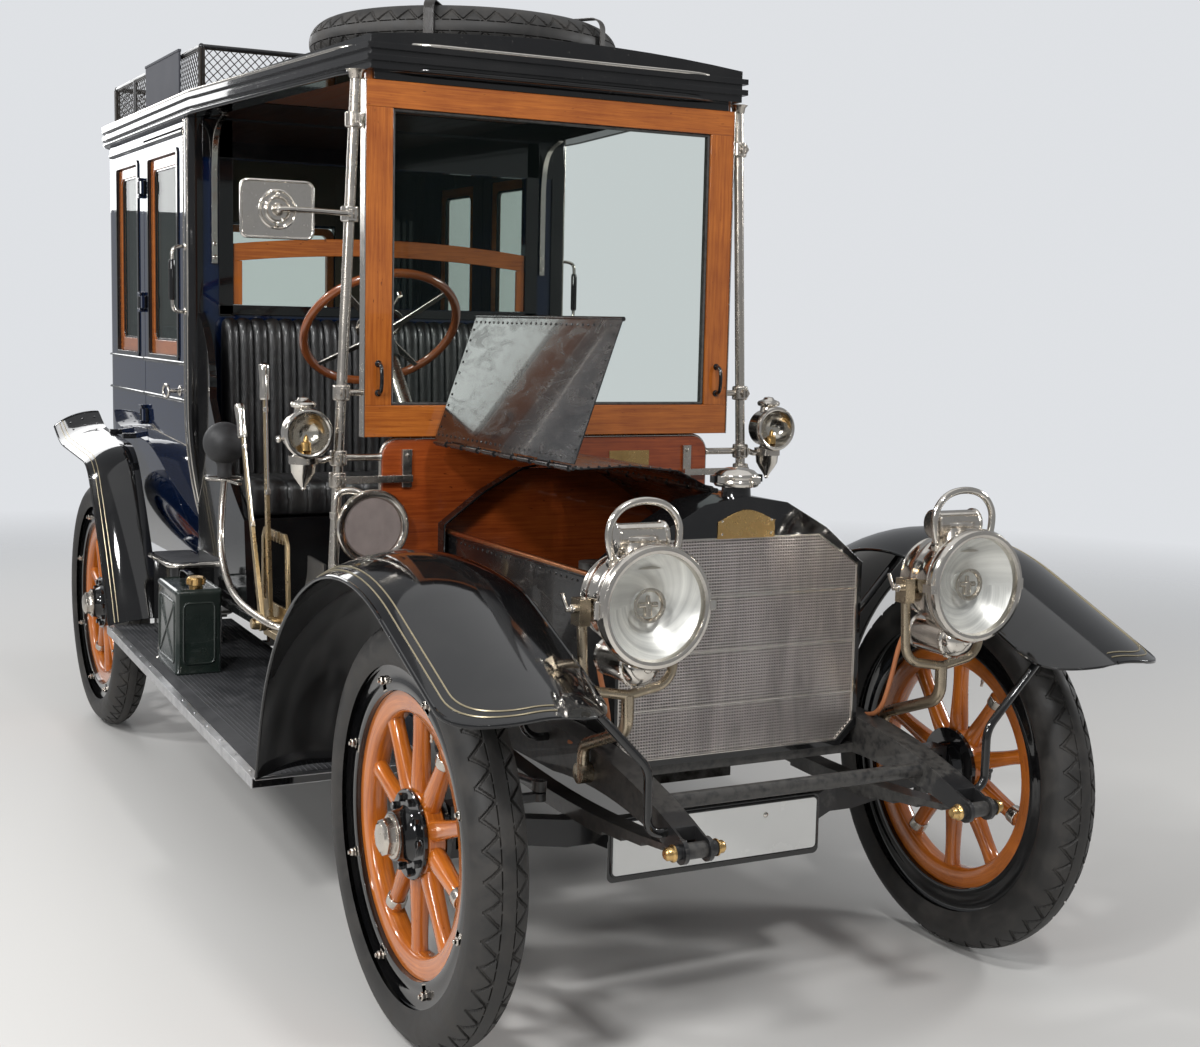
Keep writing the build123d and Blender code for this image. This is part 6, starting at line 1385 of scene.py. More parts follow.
navy_enamel = enamel_finish("navy_enamel", (0.0024, 0.009, 0.035), (0.05, 0.06, 0.08), 0.03, 0.10)
for cabin_node in ("cabin_sides", "cabin_ends"):
    softened(cabin_node, navy_enamel)
softened("cabin_floor", black_enamel)
for side_name in ("left", "right"):
    door = softened("door_" + side_name, navy_enamel)
    door_places = np.empty(len(door.data.vertices) * 3)
    door.data.vertices.foreach_get("co", door_places)
    door_y, door_z = np.abs(door_places.reshape(-1, 3)[:, 1:]).T / MM
    bar_handle = np.flatnonzero((door_y > CABIN_HALF + 1) & (door_z > 1225) & (door_z < 1256))
    door_shell = bmesh.new()
    door_shell.from_mesh(door.data)
    door_shell.verts.ensure_lookup_table()
    bmesh.ops.delete(door_shell, geom=[door_shell.verts[index] for index in bar_handle], context="VERTS")
    door_shell.to_mesh(door.data)
    door_shell.free()

corner_z = np.linspace(CABIN_FOOT_Z + 2, CABIN_HEAD_Z, 24)
corner_section = np.array([(-2146, -4), (-2146, 4), (-2142, 6), (-2104, 7), (-2096, 4), (-2093, -4),
                           (-2094, -42), (-2101, -42), (-2101, -6), (-2140, -4)], float)
corner_y = cabin_y(corner_z)[:, None] + corner_section[:, 1]
corner_post = grid(triples(corner_section[:, 0], corner_y, corner_z[:, None]), wrap_v=True)
opening_side = block((-2102, -2094), (500, 545), (1480, 2078))
opening_head = block((-2102, -2094), (-596, 596), (1962, 2078))
opening_sill = block((-2102, -2094), (-546, 546), (1484, 1514))
front_posts = [corner_post.both(), opening_side.both(), opening_head, opening_sill]
piece("corner_posts", black_enamel, front_posts, bevel=2.0)
bead_line = triples(-2098, cabin_y(corner_z) + 5.5, corner_z)
rear_line = triples(-2144, cabin_y(corner_z) + 5.5, corner_z)
corner_beads = carried(ring(3.0, 8), bead_line, (1, 0, 0)) + carried(ring(1.6, 6), rear_line, (1, 0, 0))
piece("corner_beads", bright_nickel, corner_beads.both())

for window_name, middle, half in WINDOWS:
    opening = window_outline(middle, half - 0.6, WINDOW_Z[0] + 0.6, WINDOW_Z[1] - 0.6, 8)
    sash_inner = window_outline(middle, half - 34, WINDOW_Z[0] + 46, WINDOW_Z[1] - 34, 26)
    sash = surround(opening, sash_inner, 610, 630)
    pane_bead = surround(window_outline(middle, half - 33, WINDOW_Z[0] + 45, WINDOW_Z[1] - 33, 26),
                         window_outline(middle, half - 41, WINDOW_Z[0] + 53, WINDOW_Z[1] - 41, 20), 612, 626)
    trim = surround(window_outline(middle, half + 15, WINDOW_Z[0] - 15, WINDOW_Z[1] + 15, 20), opening,
                    CABIN_HALF - 8, CABIN_HALF + 5)
    for side_name in ("left", "right"):
        carrier = "door_" + side_name if window_name == "door" else "chassis"
        label = "_{}_{}".format(window_name, side_name)
        for part_name, material, shape in (("sash", frame_wood, sash), ("sash_bead", black_enamel, pane_bead),
                                           ("window_trim", black_enamel, trim)):
            piece(part_name + label, material, on_side(side_name, shape), carrier, bevel=1.6)

turn_angle = np.linspace(0, pi / 2, 12)
waist_pieces = []
for z in WAIST_BEADS_Z:
    corner_x = CABIN_X[0] + REAR_CORNER - (REAR_CORNER + 1) * np.sin(turn_angle)
    corner_y = CABIN_HALF - REAR_CORNER + (REAR_CORNER + 1) * np.cos(turn_angle)
    left_half = triples(np.append(-2702, corner_x), np.append(CABIN_HALF + 1, corner_y), z)
    whole_way = np.vstack([left_half, (left_half * (1, -1, 1))[::-1]])
    waist_pieces.append(carried(half_round(8), whole_way))
    front_stub = np.array([(-2147, CABIN_HALF + 1, z), (-2166, CABIN_HALF + 1, z)], float)
    waist_pieces.append(carried(ring(7, 10), front_stub).both())
piece("waist_mouldings", black_enamel, waist_pieces, sharp=50)
head_line = tube([(-2146, CABIN_HALF + 2, 2040), (-3200, CABIN_HALF + 2, 2040)], 9, 12, smooth=False)
sill_path = np.array([(x, float(cabin_y(652)) + 2, 652) for x in (-2104, -2686)])
sill = carried(ring(9, 12), sill_path)
piece("side_mouldings", black_enamel, (head_line + sill).both())
piece("sill_beads", bright_nickel, carried(ring(2, 8), sill_path + (0, 6, 8)).both())

door_lines = joined([tube([(DOOR_X[0], CABIN_HALF + 1, z), (DOOR_X[1], CABIN_HALF + 1, z)], 7, 10,
                          smooth=False) for z in WAIST_BEADS_Z])
barrel = turned([(0.5, 0), (0.5, 9.4), (39.5, 9.4), (39.5, 0)], "z", 20)
barrels = barrel.copies([(HINGE_X, 648, z) for z in HINGES_Z])
hinge_leaves = bars([(-2676, CABIN_HALF + 5, z + 20) for z in HINGES_Z], [(38, 9, 44)] * 3)
rose = turned([(0.2, 0), (0.2, 17), (3, 17), (7, 11), (9, 7), (38, 6), (42, 0)], "y", 24,
              (-2215, CABIN_HALF, 1242))
loop_angle = np.linspace(0, 2 * pi, 33)[:-1]
loop = triples(-2247 + 36 * np.cos(loop_angle), 675, 1240 + 20 * np.sin(loop_angle))
handle = rose + carried(ring(5.2, 10), loop, (0, 1, 0), closed=True)
for side_name in ("left", "right"):
    black_parts = on_side(side_name, joined([door_lines, barrels, hinge_leaves]))
    piece("door_lines_" + side_name, black_enamel, black_parts, "door_" + side_name, bevel=0.8)
    piece("door_loop_" + side_name, bright_nickel, on_side(side_name, handle), "door_" + side_name)
finial = turned([(-7, 0), (-6, 5), (0, 8), (6, 5), (7, 0)], "z", 16)
finials = finial.copies([(HINGE_X, 650, z + lift) for z in HINGES_Z for lift in (-7, 47)])
piece("hinge_finials", black_enamel, finials.both())

grab_ends = [(-2118, 643, z) for z in (1688, 1491)]
grab_bar = tube([grab_ends[0], (-2110, 664, 1690), (-2102, 686, 1682), (-2102, 689, 1655), (-2102, 689, 1520),
                 (-2102, 686, 1496), (-2110, 664, 1489), grab_ends[1]], 5.5, 14)
grab_roses = turned([(-1, 0), (-1, 11), (3, 11), (6, 7), (7, 0)], "y", 20).copies(grab_ends)
piece("grab_bars", bright_nickel, (grab_bar + grab_roses).both())
grab_grip = turned([(1524, 5), (1526, 9), (1532, 10), (1640, 10), (1648, 8.5), (1650, 5)], "z", 20,
                   (-2102, 688.5, 0))
piece("grab_grips", black_enamel, grab_grip.both())

# Partition sash and lining
# The sash behind the driver is let down halfway: its arched top rail and stiles stand in the opening. Drab
# cloth lines the roof and the back of the cabin above the rear seat.
sash_y = np.linspace(-498, 498, 41)
sash_arch = 1650 + 30 * (1 - (sash_y / 498) ** 2)
rail_loops = [triples(x, sash_y, sash_arch + lift)
              for x, lift in ((-2112, 0), (-2101, 0), (-2101, 54), (-2112, 54))]
sash_rail = grained_across(loft(np.stack(rail_loops, 1)))
stile = block((-2112, -2101), (470, 499), (1516, 1652))
piece("partition_sash", frame_wood, [sash_rail, stile.both()], bevel=2.0)
cloth = Finish("drab_cloth", (0.15, 0.115, 0.085), 0.9)
weave = cloth.noise(cloth.place(), 700, 2)
cloth.set("Base Color", cloth.blend(cloth.noise(cloth.place(), 3, 4), (0.11, 0.085, 0.062),
                                    (0.19, 0.15, 0.115)))
cloth.relief((weave, 0.2, 0.0006))
lining = [block((-3190, -2140), (-560, 560), (2128, 2138)), block((-3366, -3360), (-440, 440), (1000, 1470)),
          block((-3366, -3360), (-440, -262), (1470, 2070)), block((-3366, -3360), (262, 440), (1470, 2070)),
          block((-3366, -3360), (-262, 262), (1840, 2070))]
piece("cabin_lining", cloth.material, lining, bevel=1.5)
back_outer = rounded_outline(259, 1481, 1829, 30)
back_inner = rounded_outline(232, 1508, 1802, 22)
back_loops = [standing(outline, x) for outline, x in
              ((back_outer, -3398), (back_outer, -3371), (back_inner, -3371), (back_inner, -3398))]
piece("back_window_frame", frame_wood, grid(np.stack(back_loops), wrap_u=True, wrap_v=True), bevel=1.5)

# Roof, luggage rail and spare tyre
# The roof's black rim carries a bright drip bead, and matchboard lines its front from below. Woven wire
# panels fill the luggage rail, with a bare slate board on the right. The spare tyre lies strapped in front.
ROOF_CORNERS = ((-800, -525), (-800, 525), (-2020, 650), (-3420, 650), (-3420, -650), (-2020, -650))
ROOF_RADII = (200, 200, 600, 200, 200, 600)
RACK_X = (-3320, -2120)
RACK_HALF = 590
RACK_Z = (2156, 2291)
MESH_PITCH = 26
SPARE_AT = (-1470, 0, 2250.3)


def filleted(corners, radii):
    """A closed outline with each corner turned as an arc of its own radius."""
    corners = np.asarray(corners, float)
    arcs = []
    for before, corner, after, radius in zip(np.roll(corners, 1, axis=0), corners,
                                             np.roll(corners, -1, axis=0), radii):
        back = (before - corner) / np.linalg.norm(before - corner)
        ahead = (after - corner) / np.linalg.norm(after - corner)
        half_angle = np.arccos(np.clip(back @ ahead, -1, 1)) / 2
        centre = corner + (back + ahead) / np.linalg.norm(back + ahead) * radius / sin(half_angle)
        first = corner + back * radius / np.tan(half_angle) - centre
        last = corner + ahead * radius / np.tan(half_angle) - centre
        sweep = pi - 2 * half_angle
        share = np.linspace(0, 1, 9)[:, None]
        turned_from = np.sin((1 - share) * sweep) * first + np.sin(share * sweep) * last
        arcs.append(centre + turned_from / sin(sweep))
    return np.vstack(arcs)


def struts(starts, ends, radius):
    """Thin square bars between pairs of points."""
    starts, ends = np.asarray(starts, float), np.asarray(ends, float)
    ahead = (ends - starts) / np.linalg.norm(ends - starts, axis=1, keepdims=True)
    side = np.cross(ahead, (0.31, 0.52, 0.79))
    side *= radius / np.linalg.norm(side, axis=1, keepdims=True)
    up = np.cross(ahead, side)
    around = np.stack([side, up, -side, -up], 1)
    corners = np.concatenate([starts[:, None] + around, ends[:, None] + around], 1).reshape(-1, 3)
    quads = np.array([(0, 1, 5, 4), (1, 2, 6, 5), (2, 3, 7, 6), (3, 0, 4, 7)])
    faces = (quads[None] + 8 * np.arange(len(starts))[:, None, None]).reshape(-1, 4)
    return Shape(corners, [faces])


def wire_panel(start, end):
    """Diamond mesh between two feet of the luggage rail, with wires that slant both ways."""
    start, end = np.asarray(start, float), np.asarray(end, float)
    length = np.linalg.norm(end - start)
    rise = RACK_Z[1] - RACK_Z[0]
    foot = np.arange(MESH_PITCH / 2 - rise, length - 1, MESH_PITCH)
    low, high = np.clip(foot, 0, length), np.clip(foot + rise, 0, length)
    unit = (end - start) / length
    lines = []
    for lean in (1, -1):
        bottom = 0 if lean > 0 else rise
        ends = [np.column_stack([start + unit * along[:, None], RACK_Z[0] + bottom + lean * (along - foot)])
                for along in (low, high)]
        lines.append(struts(*ends, 1.5))
    return joined(lines)


softened("roof", black_enamel)
softened("roof_rack", black_iron)
roof_corners = np.array(ROOF_CORNERS, float)
roof_middle = (filleted(ROOF_CORNERS, ROOF_RADII)[:, 0].mean(), 0)
for bead_name, grow, z, radius, material in (("drip_bead", 9, 2143, 5.0, bright_nickel),
                                             ("rim_bead", 2, 2084, 7.0, black_enamel)):
    bead_plan = filleted(roof_corners + np.sign(roof_corners - roof_middle) * grow,
                         np.array(ROOF_RADII) + grow)
    piece(bead_name, material, carried(ring(radius, 10), level(bead_plan, z), closed=True))
ceiling = bars([(-1475, y, 2136) for y in np.arange(-434, 435, 62)], [(1160, 60, 6)] * 15)
ceiling_wood = varnished_finish("ceiling_boards", (0.26, 0.075, 0.018), (0.11, 0.028, 0.007),
                                (0.04, 0.01, 0.003), 0.3)
piece("matchboard", ceiling_wood, ceiling, bevel=1.5)
header = block((-862, -846), (-520, 520), (2046, 2090))
piece("screen_header", frame_wood, header, bevel=2)

rack_corners = [(RACK_X[1], -RACK_HALF), (RACK_X[1], RACK_HALF), (RACK_X[0], RACK_HALF),
                (RACK_X[0], -RACK_HALF)]
mesh_wires = joined([wire_panel(start, end)
                     for start, end in zip(rack_corners, rack_corners[1:] + rack_corners[:1])])
mesh_iron = Finish("rack_wire", (0.035, 0.028, 0.022), 0.45, metallic=0.7)
piece("rack_mesh", mesh_iron.material, mesh_wires)
bound_edges = []
for z in RACK_Z:
    bound_edges.append(carried(ring(5.5, 8), [(*corner, z) for corner in rack_corners], (0, 0, 1),
                               closed=True))
bound_edges.append(struts([(*corner, RACK_Z[0]) for corner in rack_corners],
                          [(*corner, RACK_Z[1]) for corner in rack_corners], 11))
piece("rack_edges", mesh_iron.material, bound_edges)
slate = Finish("slate_paint", (0.045, 0.047, 0.058), 0.75)
slate.set("Base Color", slate.blend(slate.noise(slate.place(), 7, 4), (0.036, 0.038, 0.048),
                                    (0.060, 0.062, 0.074)))
name_board = block((-2790, -2335), (-607, -600), (2150, 2309))
board_edge = [block((-2793, -2332), (-609, -599), (z - 4, z + 4)) for z in (2150, 2309)]
piece("blank_board", slate.material, [name_board, *board_edge], bevel=1.0)

spare = casing().turned("X", 90).moved(*SPARE_AT)
piece("spare_casing", tyre_rubber, spare, replaces=["spare_tyre"], sharp=30)
strap_rect = rounded_outline(68, -66, 66, 30)
strap_hide = leather_finish("strap_hide", (0.012, 0.010, 0.009), (0.06, 0.05, 0.04))
strap_turns = []
for angle in (35, -35, 180):
    strap_path = triples(strap_rect[:, 0] + TYRE_CENTRE, 0, strap_rect[:, 1])
    strap = carried([(-1.8, -14), (1.8, -14), (1.8, 14), (-1.8, 14)], strap_path, (0, 1, 0), closed=True)
    strap_turns.append(strap.turned("Z", angle).moved(*SPARE_AT))
piece("spare_straps", strap_hide, strap_turns, bevel=0.8)

# Wings and running boards
# Thin black steel: a wired edge runs round each wing, two fine lines follow its outer edge round the front
# wing's nose, and rivets dot the rear wing's flared tail. The boards have grey mats in aluminium edging.
FRONT_WING = ((530, 752), 157, ((None, 420), (560, 43), (620, 54), (None, 128)))
FRONT_OUTER_Y = 845
FRONT_CROWN = ((510, 0), (677.5, 50), (FRONT_OUTER_Y, 0))
FRONT_NOSE_X = 549.5
NOSE_CORNER = 140
REAR_WING = ((-2480, 455), 117, ((3200, 9.5), (160, 49.5), (None, 360), (350, -20), (None, 75)))
REAR_CROWN = ((655, 62), (750, 44.6), (815, 0))
BOARD_ENDS = ((-700, 391), (-2490, 452))
BOARD_OUTER = (FRONT_OUTER_Y, 815)
BOARD_INNER = 402
BOARD_TAPER = 0.0168
VALANCE_TOP = 618
VALANCE_LEAN = 30


def stations_along(start, heading, runs):
    """Places down a chain of (None, length) lines and (radius, turn) arcs in the x-z plane, 4 mm apart."""
    x, z = start
    angle = radians(heading)
    places = [(0.0, x, z, angle)]
    for radius, amount in runs:
        length = amount if radius is None else radius * radians(abs(amount))
        bend = 0 if radius is None else radians(amount) / length
        for step in np.diff(np.linspace(0, length, int(length / 4) + 2)):
            middle = angle + bend * step / 2
            x, z, angle = x + cos(middle) * step, z + sin(middle) * step, angle + bend * step
            places.append((places[-1][0] + step, x, z, angle))
    return np.array(places)


def crown_height(crown, y):
    """How high a wing's arched section stands at a distance across: the circle through three points."""
    (y0, h0), (y1, h1), (y2, h2) = crown
    matrix = np.array([[y0, h0, 1], [y1, h1, 1], [y2, h2, 1]], float)
    squares = -np.array([y0 ** 2 + h0 ** 2, y1 ** 2 + h1 ** 2, y2 ** 2 + h2 ** 2], float)
    b, c, d = np.linalg.solve(matrix, squares)
    return -c / 2 + np.sqrt(np.maximum(c * c / 4 - (np.asarray(y, float) ** 2 + b * y + d), 0))


def on_wing(stations, crown, along, y, lift=0.0):
    """Points on a wing's skin: a distance along its path, a place across it, and a lift off the skin."""
    x, z, angle = (np.interp(along, stations[:, 0], stations[:, column]) for column in (1, 2, 3))
    out = crown_height(crown, y) + lift
    return triples(x + np.sin(angle) * out, y, z - np.cos(angle) * out)


softened("wings", black_enamel)
front_way = stations_along(*FRONT_WING)
rear_way = stations_along(*REAR_WING)
wing_heading = radians(FRONT_WING[1])


def front_edge_line(inset, lift):
    """A line set in from the front wing's outer edge, from its foot round the rounded nose to the middle."""
    corner = NOSE_CORNER - inset
    turn = np.linspace(0, pi / 2, 14)
    plan_x = np.append(FRONT_NOSE_X - NOSE_CORNER + corner * np.sin(turn), [FRONT_NOSE_X - inset] * 6)
    plan_y = np.append(FRONT_OUTER_Y - NOSE_CORNER + corner * np.cos(turn), np.linspace(700, 655, 6))
    raised = crown_height(FRONT_CROWN, plan_y)
    along = (FRONT_WING[0][0] + sin(wing_heading) * raised - plan_x) / -cos(wing_heading)
    plan_z = FRONT_WING[0][1] + sin(wing_heading) * along - cos(wing_heading) * (raised + lift)
    nose = triples(plan_x, plan_y, plan_z)
    edge_run = np.linspace(front_way[-1, 0] - 8, along[0] + 12, 70)
    back = on_wing(front_way, FRONT_CROWN, edge_run, FRONT_OUTER_Y - inset, lift)
    return np.vstack([back, nose])


pinstripe = Finish("wing_line", (0.42, 0.36, 0.24), 0.3, metallic=0.6)
inner_run = np.linspace(150, front_way[-1, 0] - 4, 60)
rear_run = np.linspace(4, rear_way[-1, 0] - 4, 60)
tail_line = on_wing(rear_way, REAR_CROWN, rear_way[-1, 0] - 2, np.linspace(658, 813, 16), -1.0)
wire_edges = [carried(ring(4.2, 8), path, upward) for path, upward in (
    (front_edge_line(3, -2.0), (0, 0.3, 1)),
    (on_wing(front_way, FRONT_CROWN, inner_run, 512, -2.0), (0, 1, 0)),
    (on_wing(rear_way, REAR_CROWN, rear_run, 813, -2.0), (0, 1, 0)),
    (tail_line, (1, 0, 0)))]
rivet_head = turned([(0, 4.4), (1.6, 3.6), (2.4, 0)], "z", 10)
tail_rivets = [rivet_head.copies(on_wing(rear_way, REAR_CROWN, rear_way[-1, 0] - back,
                                         np.array((680, 722, 764)))) for back in (46, 104)]
piece("wing_edges", black_enamel, joined([*wire_edges, *tail_rivets]).both())
fine_lines = [carried(ring(1.7, 6), front_edge_line(inset, 0.6), (0, 0.3, 1)) for inset in (20, 34)]
fine_lines += [carried(ring(1.7, 6), on_wing(rear_way, REAR_CROWN, rear_run, y, 0.6), (0, 1, 0))
               for y in (797, 786)]
piece("wing_lines", pinstripe.material, joined(fine_lines).both())


def board_z(x):
    """The sloping board's top at a station."""
    (front_x, front_z), (rear_x, rear_z) = BOARD_ENDS
    return front_z + (front_x - x) * (rear_z - front_z) / (front_x - rear_x)


board_grey = rubber_finish("board_mat", (0.030, 0.031, 0.034), (0.10, 0.10, 0.105), 0.25)
softened("running_boards", black_enamel)
aluminium = nickel_finish("aluminium", (0.62, 0.62, 0.63), (0.36, 0.36, 0.37), 0.34)
(front_x, front_z), (rear_x, rear_z) = BOARD_ENDS
edge_path = [(front_x, BOARD_OUTER[0], front_z), (rear_x, BOARD_OUTER[1], rear_z)]
edging = carried([(-3, 3), (20, 3), (20, 0.4), (-0.4, 0.4), (-0.4, -24), (-3, -24)], edge_path)
end_path = [(front_x, BOARD_INNER, front_z), (front_x, BOARD_OUTER[0], front_z)]
front_edging = carried([(-20, 3), (3, 3), (3, -24), (0.4, -24), (0.4, 0.4), (-20, 0.4)], end_path)
edge_screws = turned([(3, 4), (4.4, 3), (5, 0)], "z", 10).copies(
    [(x, BOARD_OUTER[0] - 10 - (front_x - x) * BOARD_TAPER, board_z(x)) for x in range(-760, -2440, -140)])
piece("board_edging", aluminium, joined([edging, front_edging, edge_screws]).both(), bevel=0.6)
mat_line = [(front_x - 4, BOARD_INNER), (front_x - 4, 823), (rear_x + 4, 793), (rear_x + 4, BOARD_INNER)]
board_mat = loft(np.array([[(x, y, board_z(x) + lift) for x, y in mat_line] for lift in (0.3, 2.6)]))
ribs_y = np.arange(420, 780, 13.0)
mat_ridges = struts([(front_x - 10, y, board_z(front_x - 10) + 2.4) for y in ribs_y],
                    [(rear_x + 10, y, board_z(rear_x + 10) + 2.4) for y in ribs_y], 2.2)
piece("board_mats", board_grey, joined([board_mat, mat_ridges]).both())
slate_board = enamel_finish("valance_paint", (0.035, 0.045, 0.065), (0.12, 0.12, 0.13), 0.22, 0.35)
valance_strips = []
for low, high in ((0.02, 0.33), (0.345, 0.66), (0.675, 0.98)):
    ends = []
    for x in (-735, -1850):
        foot = board_z(x) + 4
        low_y, high_y = (BOARD_INNER - VALANCE_LEAN * share for share in (low, high))
        low_z, high_z = (foot + (VALANCE_TOP - foot) * share for share in (low, high))
        ends.append([(x, low_y, low_z), (x, high_y, high_z), (x, high_y - 9, high_z), (x, low_y - 9, low_z)])
    valance_strips.append(loft(np.array(ends)))
piece("valance_boards", slate_board, joined(valance_strips).both(), bevel=1.5)

# Fuel can, tool box and step
# A dark can with pressed panels, brass cap and folded handle stands on the right board beside a nickel
# clamp. Behind it the black box carries the door's step plate, bright edged, with a tap on its front.
CAN_AT = (-1858, -704)
CAN_HALF = (117.5, 70)
CAN_TILT = 1.95
STEP_X = (-2405, -2104)
STEP_Y = (-700, -562)
STEP_Z = (693, 707)
STEP_MIDDLE = (-2254, -631)


def stacked(outlines):
    """A closed form through level outlines of one point count, each given with its height."""
    return loft(np.stack([level(outline, z) for outline, z in outlines]))


def can_level(shrink, corner):
    """The can's plan, drawn in a little from its full size."""
    return rounded_outline(CAN_HALF[0] - shrink, -CAN_HALF[1] + shrink, CAN_HALF[1] - shrink, corner)


can_paint = enamel_finish("can_paint", (0.010, 0.017, 0.014), (0.09, 0.095, 0.085), 0.2, 0.45)
can_body = stacked([(can_level(3, 12), 1), (can_level(0, 14), 5), (can_level(0, 14), 9),
                    (can_level(2.5, 12), 13), (can_level(2.5, 12), 236), (can_level(0, 14), 240),
                    (can_level(0, 14), 247), (can_level(3, 12), 253), (can_level(9, 9), 256),
                    (can_level(10, 9), 252)])
panel_frame = rounded_outline(46, 34, 216, 16)
long_frame = rounded_outline(92, 34, 216, 16)
ribs = [carried(ring(3.2, 8), standing(panel_frame, x), (1, 0, 0), closed=True)
        for x in (2 - CAN_HALF[0], CAN_HALF[0] - 2)]
ribs += [carried(ring(3.2, 8), triples(long_frame[:, 0], y, long_frame[:, 1]), (0, 1, 0), closed=True)
         for y in (2 - CAN_HALF[1], CAN_HALF[1] - 2)]
for lean in (1, -1):
    ribs.append(tube([(-82 * lean, -CAN_HALF[1] + 2, 44), (82 * lean, -CAN_HALF[1] + 2, 206)], 3.2, 8,
                     smooth=False))
handle_path = [(-88, 0, 254), (-84, 0, 276), (-66, 0, 284), (6, 0, 284), (24, 0, 276), (28, 0, 254)]
can_handle = carried([(-9, -2), (9, -2), (9, 2), (-9, 2)], eased(handle_path, 6), (0, 0, 1))
can_cap = turned([(250, 0), (250, 20), (262, 20), (264, 25), (284, 25), (288, 21), (289, 0)], "z", 30,
                 (74, 0, 0))
lug_angle = np.radians(np.arange(0, 360, 45))
cap_lugs = bars(triples(74 + 26 * np.cos(lug_angle), 26 * np.sin(lug_angle), 274), [(5, 5, 16)] * 8)


def on_can(shape):
    """Stands a shape drawn at the origin on the sloping board."""
    return shape.turned("Y", CAN_TILT).moved(*CAN_AT, board_z(CAN_AT[0]) + 0.4)


piece("can_body", can_paint, on_can(joined([can_body, *ribs])), replaces=["fuel_can"], sharp=50)
piece("can_handle", black_enamel, on_can(can_handle), bevel=0.8)
piece("can_cap", brass, on_can(can_cap + cap_lugs), bevel=0.8)
clamp_at = (-1976, -760, board_z(-1976) + 3)
clamp_post = turned([(0, 0), (0, 16), (4, 16), (8, 9), (26, 8), (30, 12), (36, 11), (40, 0)], "z", 20,
                    clamp_at)
clamp_wings = tube([(-24, 0, 40), (-10, 0, 28), (10, 0, 28), (24, 0, 40)], 5, 10).moved(*clamp_at)
piece("board_clamp", bright_nickel, [clamp_post, clamp_wings])
softened("tool_box", black_enamel)
step_plan = filleted([(STEP_X[1], STEP_Y[1]), (STEP_X[1], STEP_Y[0]), (STEP_X[0], STEP_Y[0]),
                      (STEP_X[0], STEP_Y[1])], (4, 40, 40, 4))
pad_plan = (step_plan - STEP_MIDDLE) * (0.93, 0.86) + STEP_MIDDLE
step_pad = stacked([(pad_plan, STEP_Z[1] + 0.2), (pad_plan, STEP_Z[1] + 2.4)])
step_edge = carried(ring(8.2, 12), level(step_plan, 700), closed=True)
piece("step_mat", board_grey, step_pad)
piece("step_edge", bright_nickel, step_edge)
tap = turned([(-2113, 0), (-2113, 15), (-2106, 15), (-2104, 9), (-2084, 9), (-2082, 13), (-2070, 13),
              (-2068, 0)], "x", 20, (0, -640, 560))
tap_lever = tube([(-2076, -640, 572), (-2076, -640, 590), (-2066, -640, 596), (-2040, -640, 596)], 4.5, 10)
piece("box_tap", bright_nickel, [tap, tap_lever])

# Headlamps
# Brass-age gas lamps in bright nickel: a deep rolled rim, a spun aluminium reflector with a burner at its
# heart, a vented chimney with a cross drum, a bail, and the generator slung below with its gas hose.
HEADLAMP_AT = (410, 387, 953)


def reflector_finish():
    """Spun aluminium: fine rings about the lamp's axis, and soft bright and dark sectors of painted
    reflection.
    """
    finish = Finish("spun_reflector", (0.72, 0.71, 0.69), 0.16, metallic=0.6)
    grain = finish.noise(finish.along((6, 900, 1)), 2.0, 3)
    reflection_sectors = finish.noise(finish.along((26, 2, 1)), 1.0, 3)
    # The sectors paint bright and dark streaks of reflection into the base colour.
    finish.set("Base Color", finish.blend(finish.band(reflection_sectors, 0.35, 0.65), (0.66, 0.66, 0.65),
                                          (0.97, 0.97, 0.95)))
    finish.set("Roughness", 0.26 + grain * 0.14)
    finish.relief((grain, 0.25, 0.0004))
    return finish.material


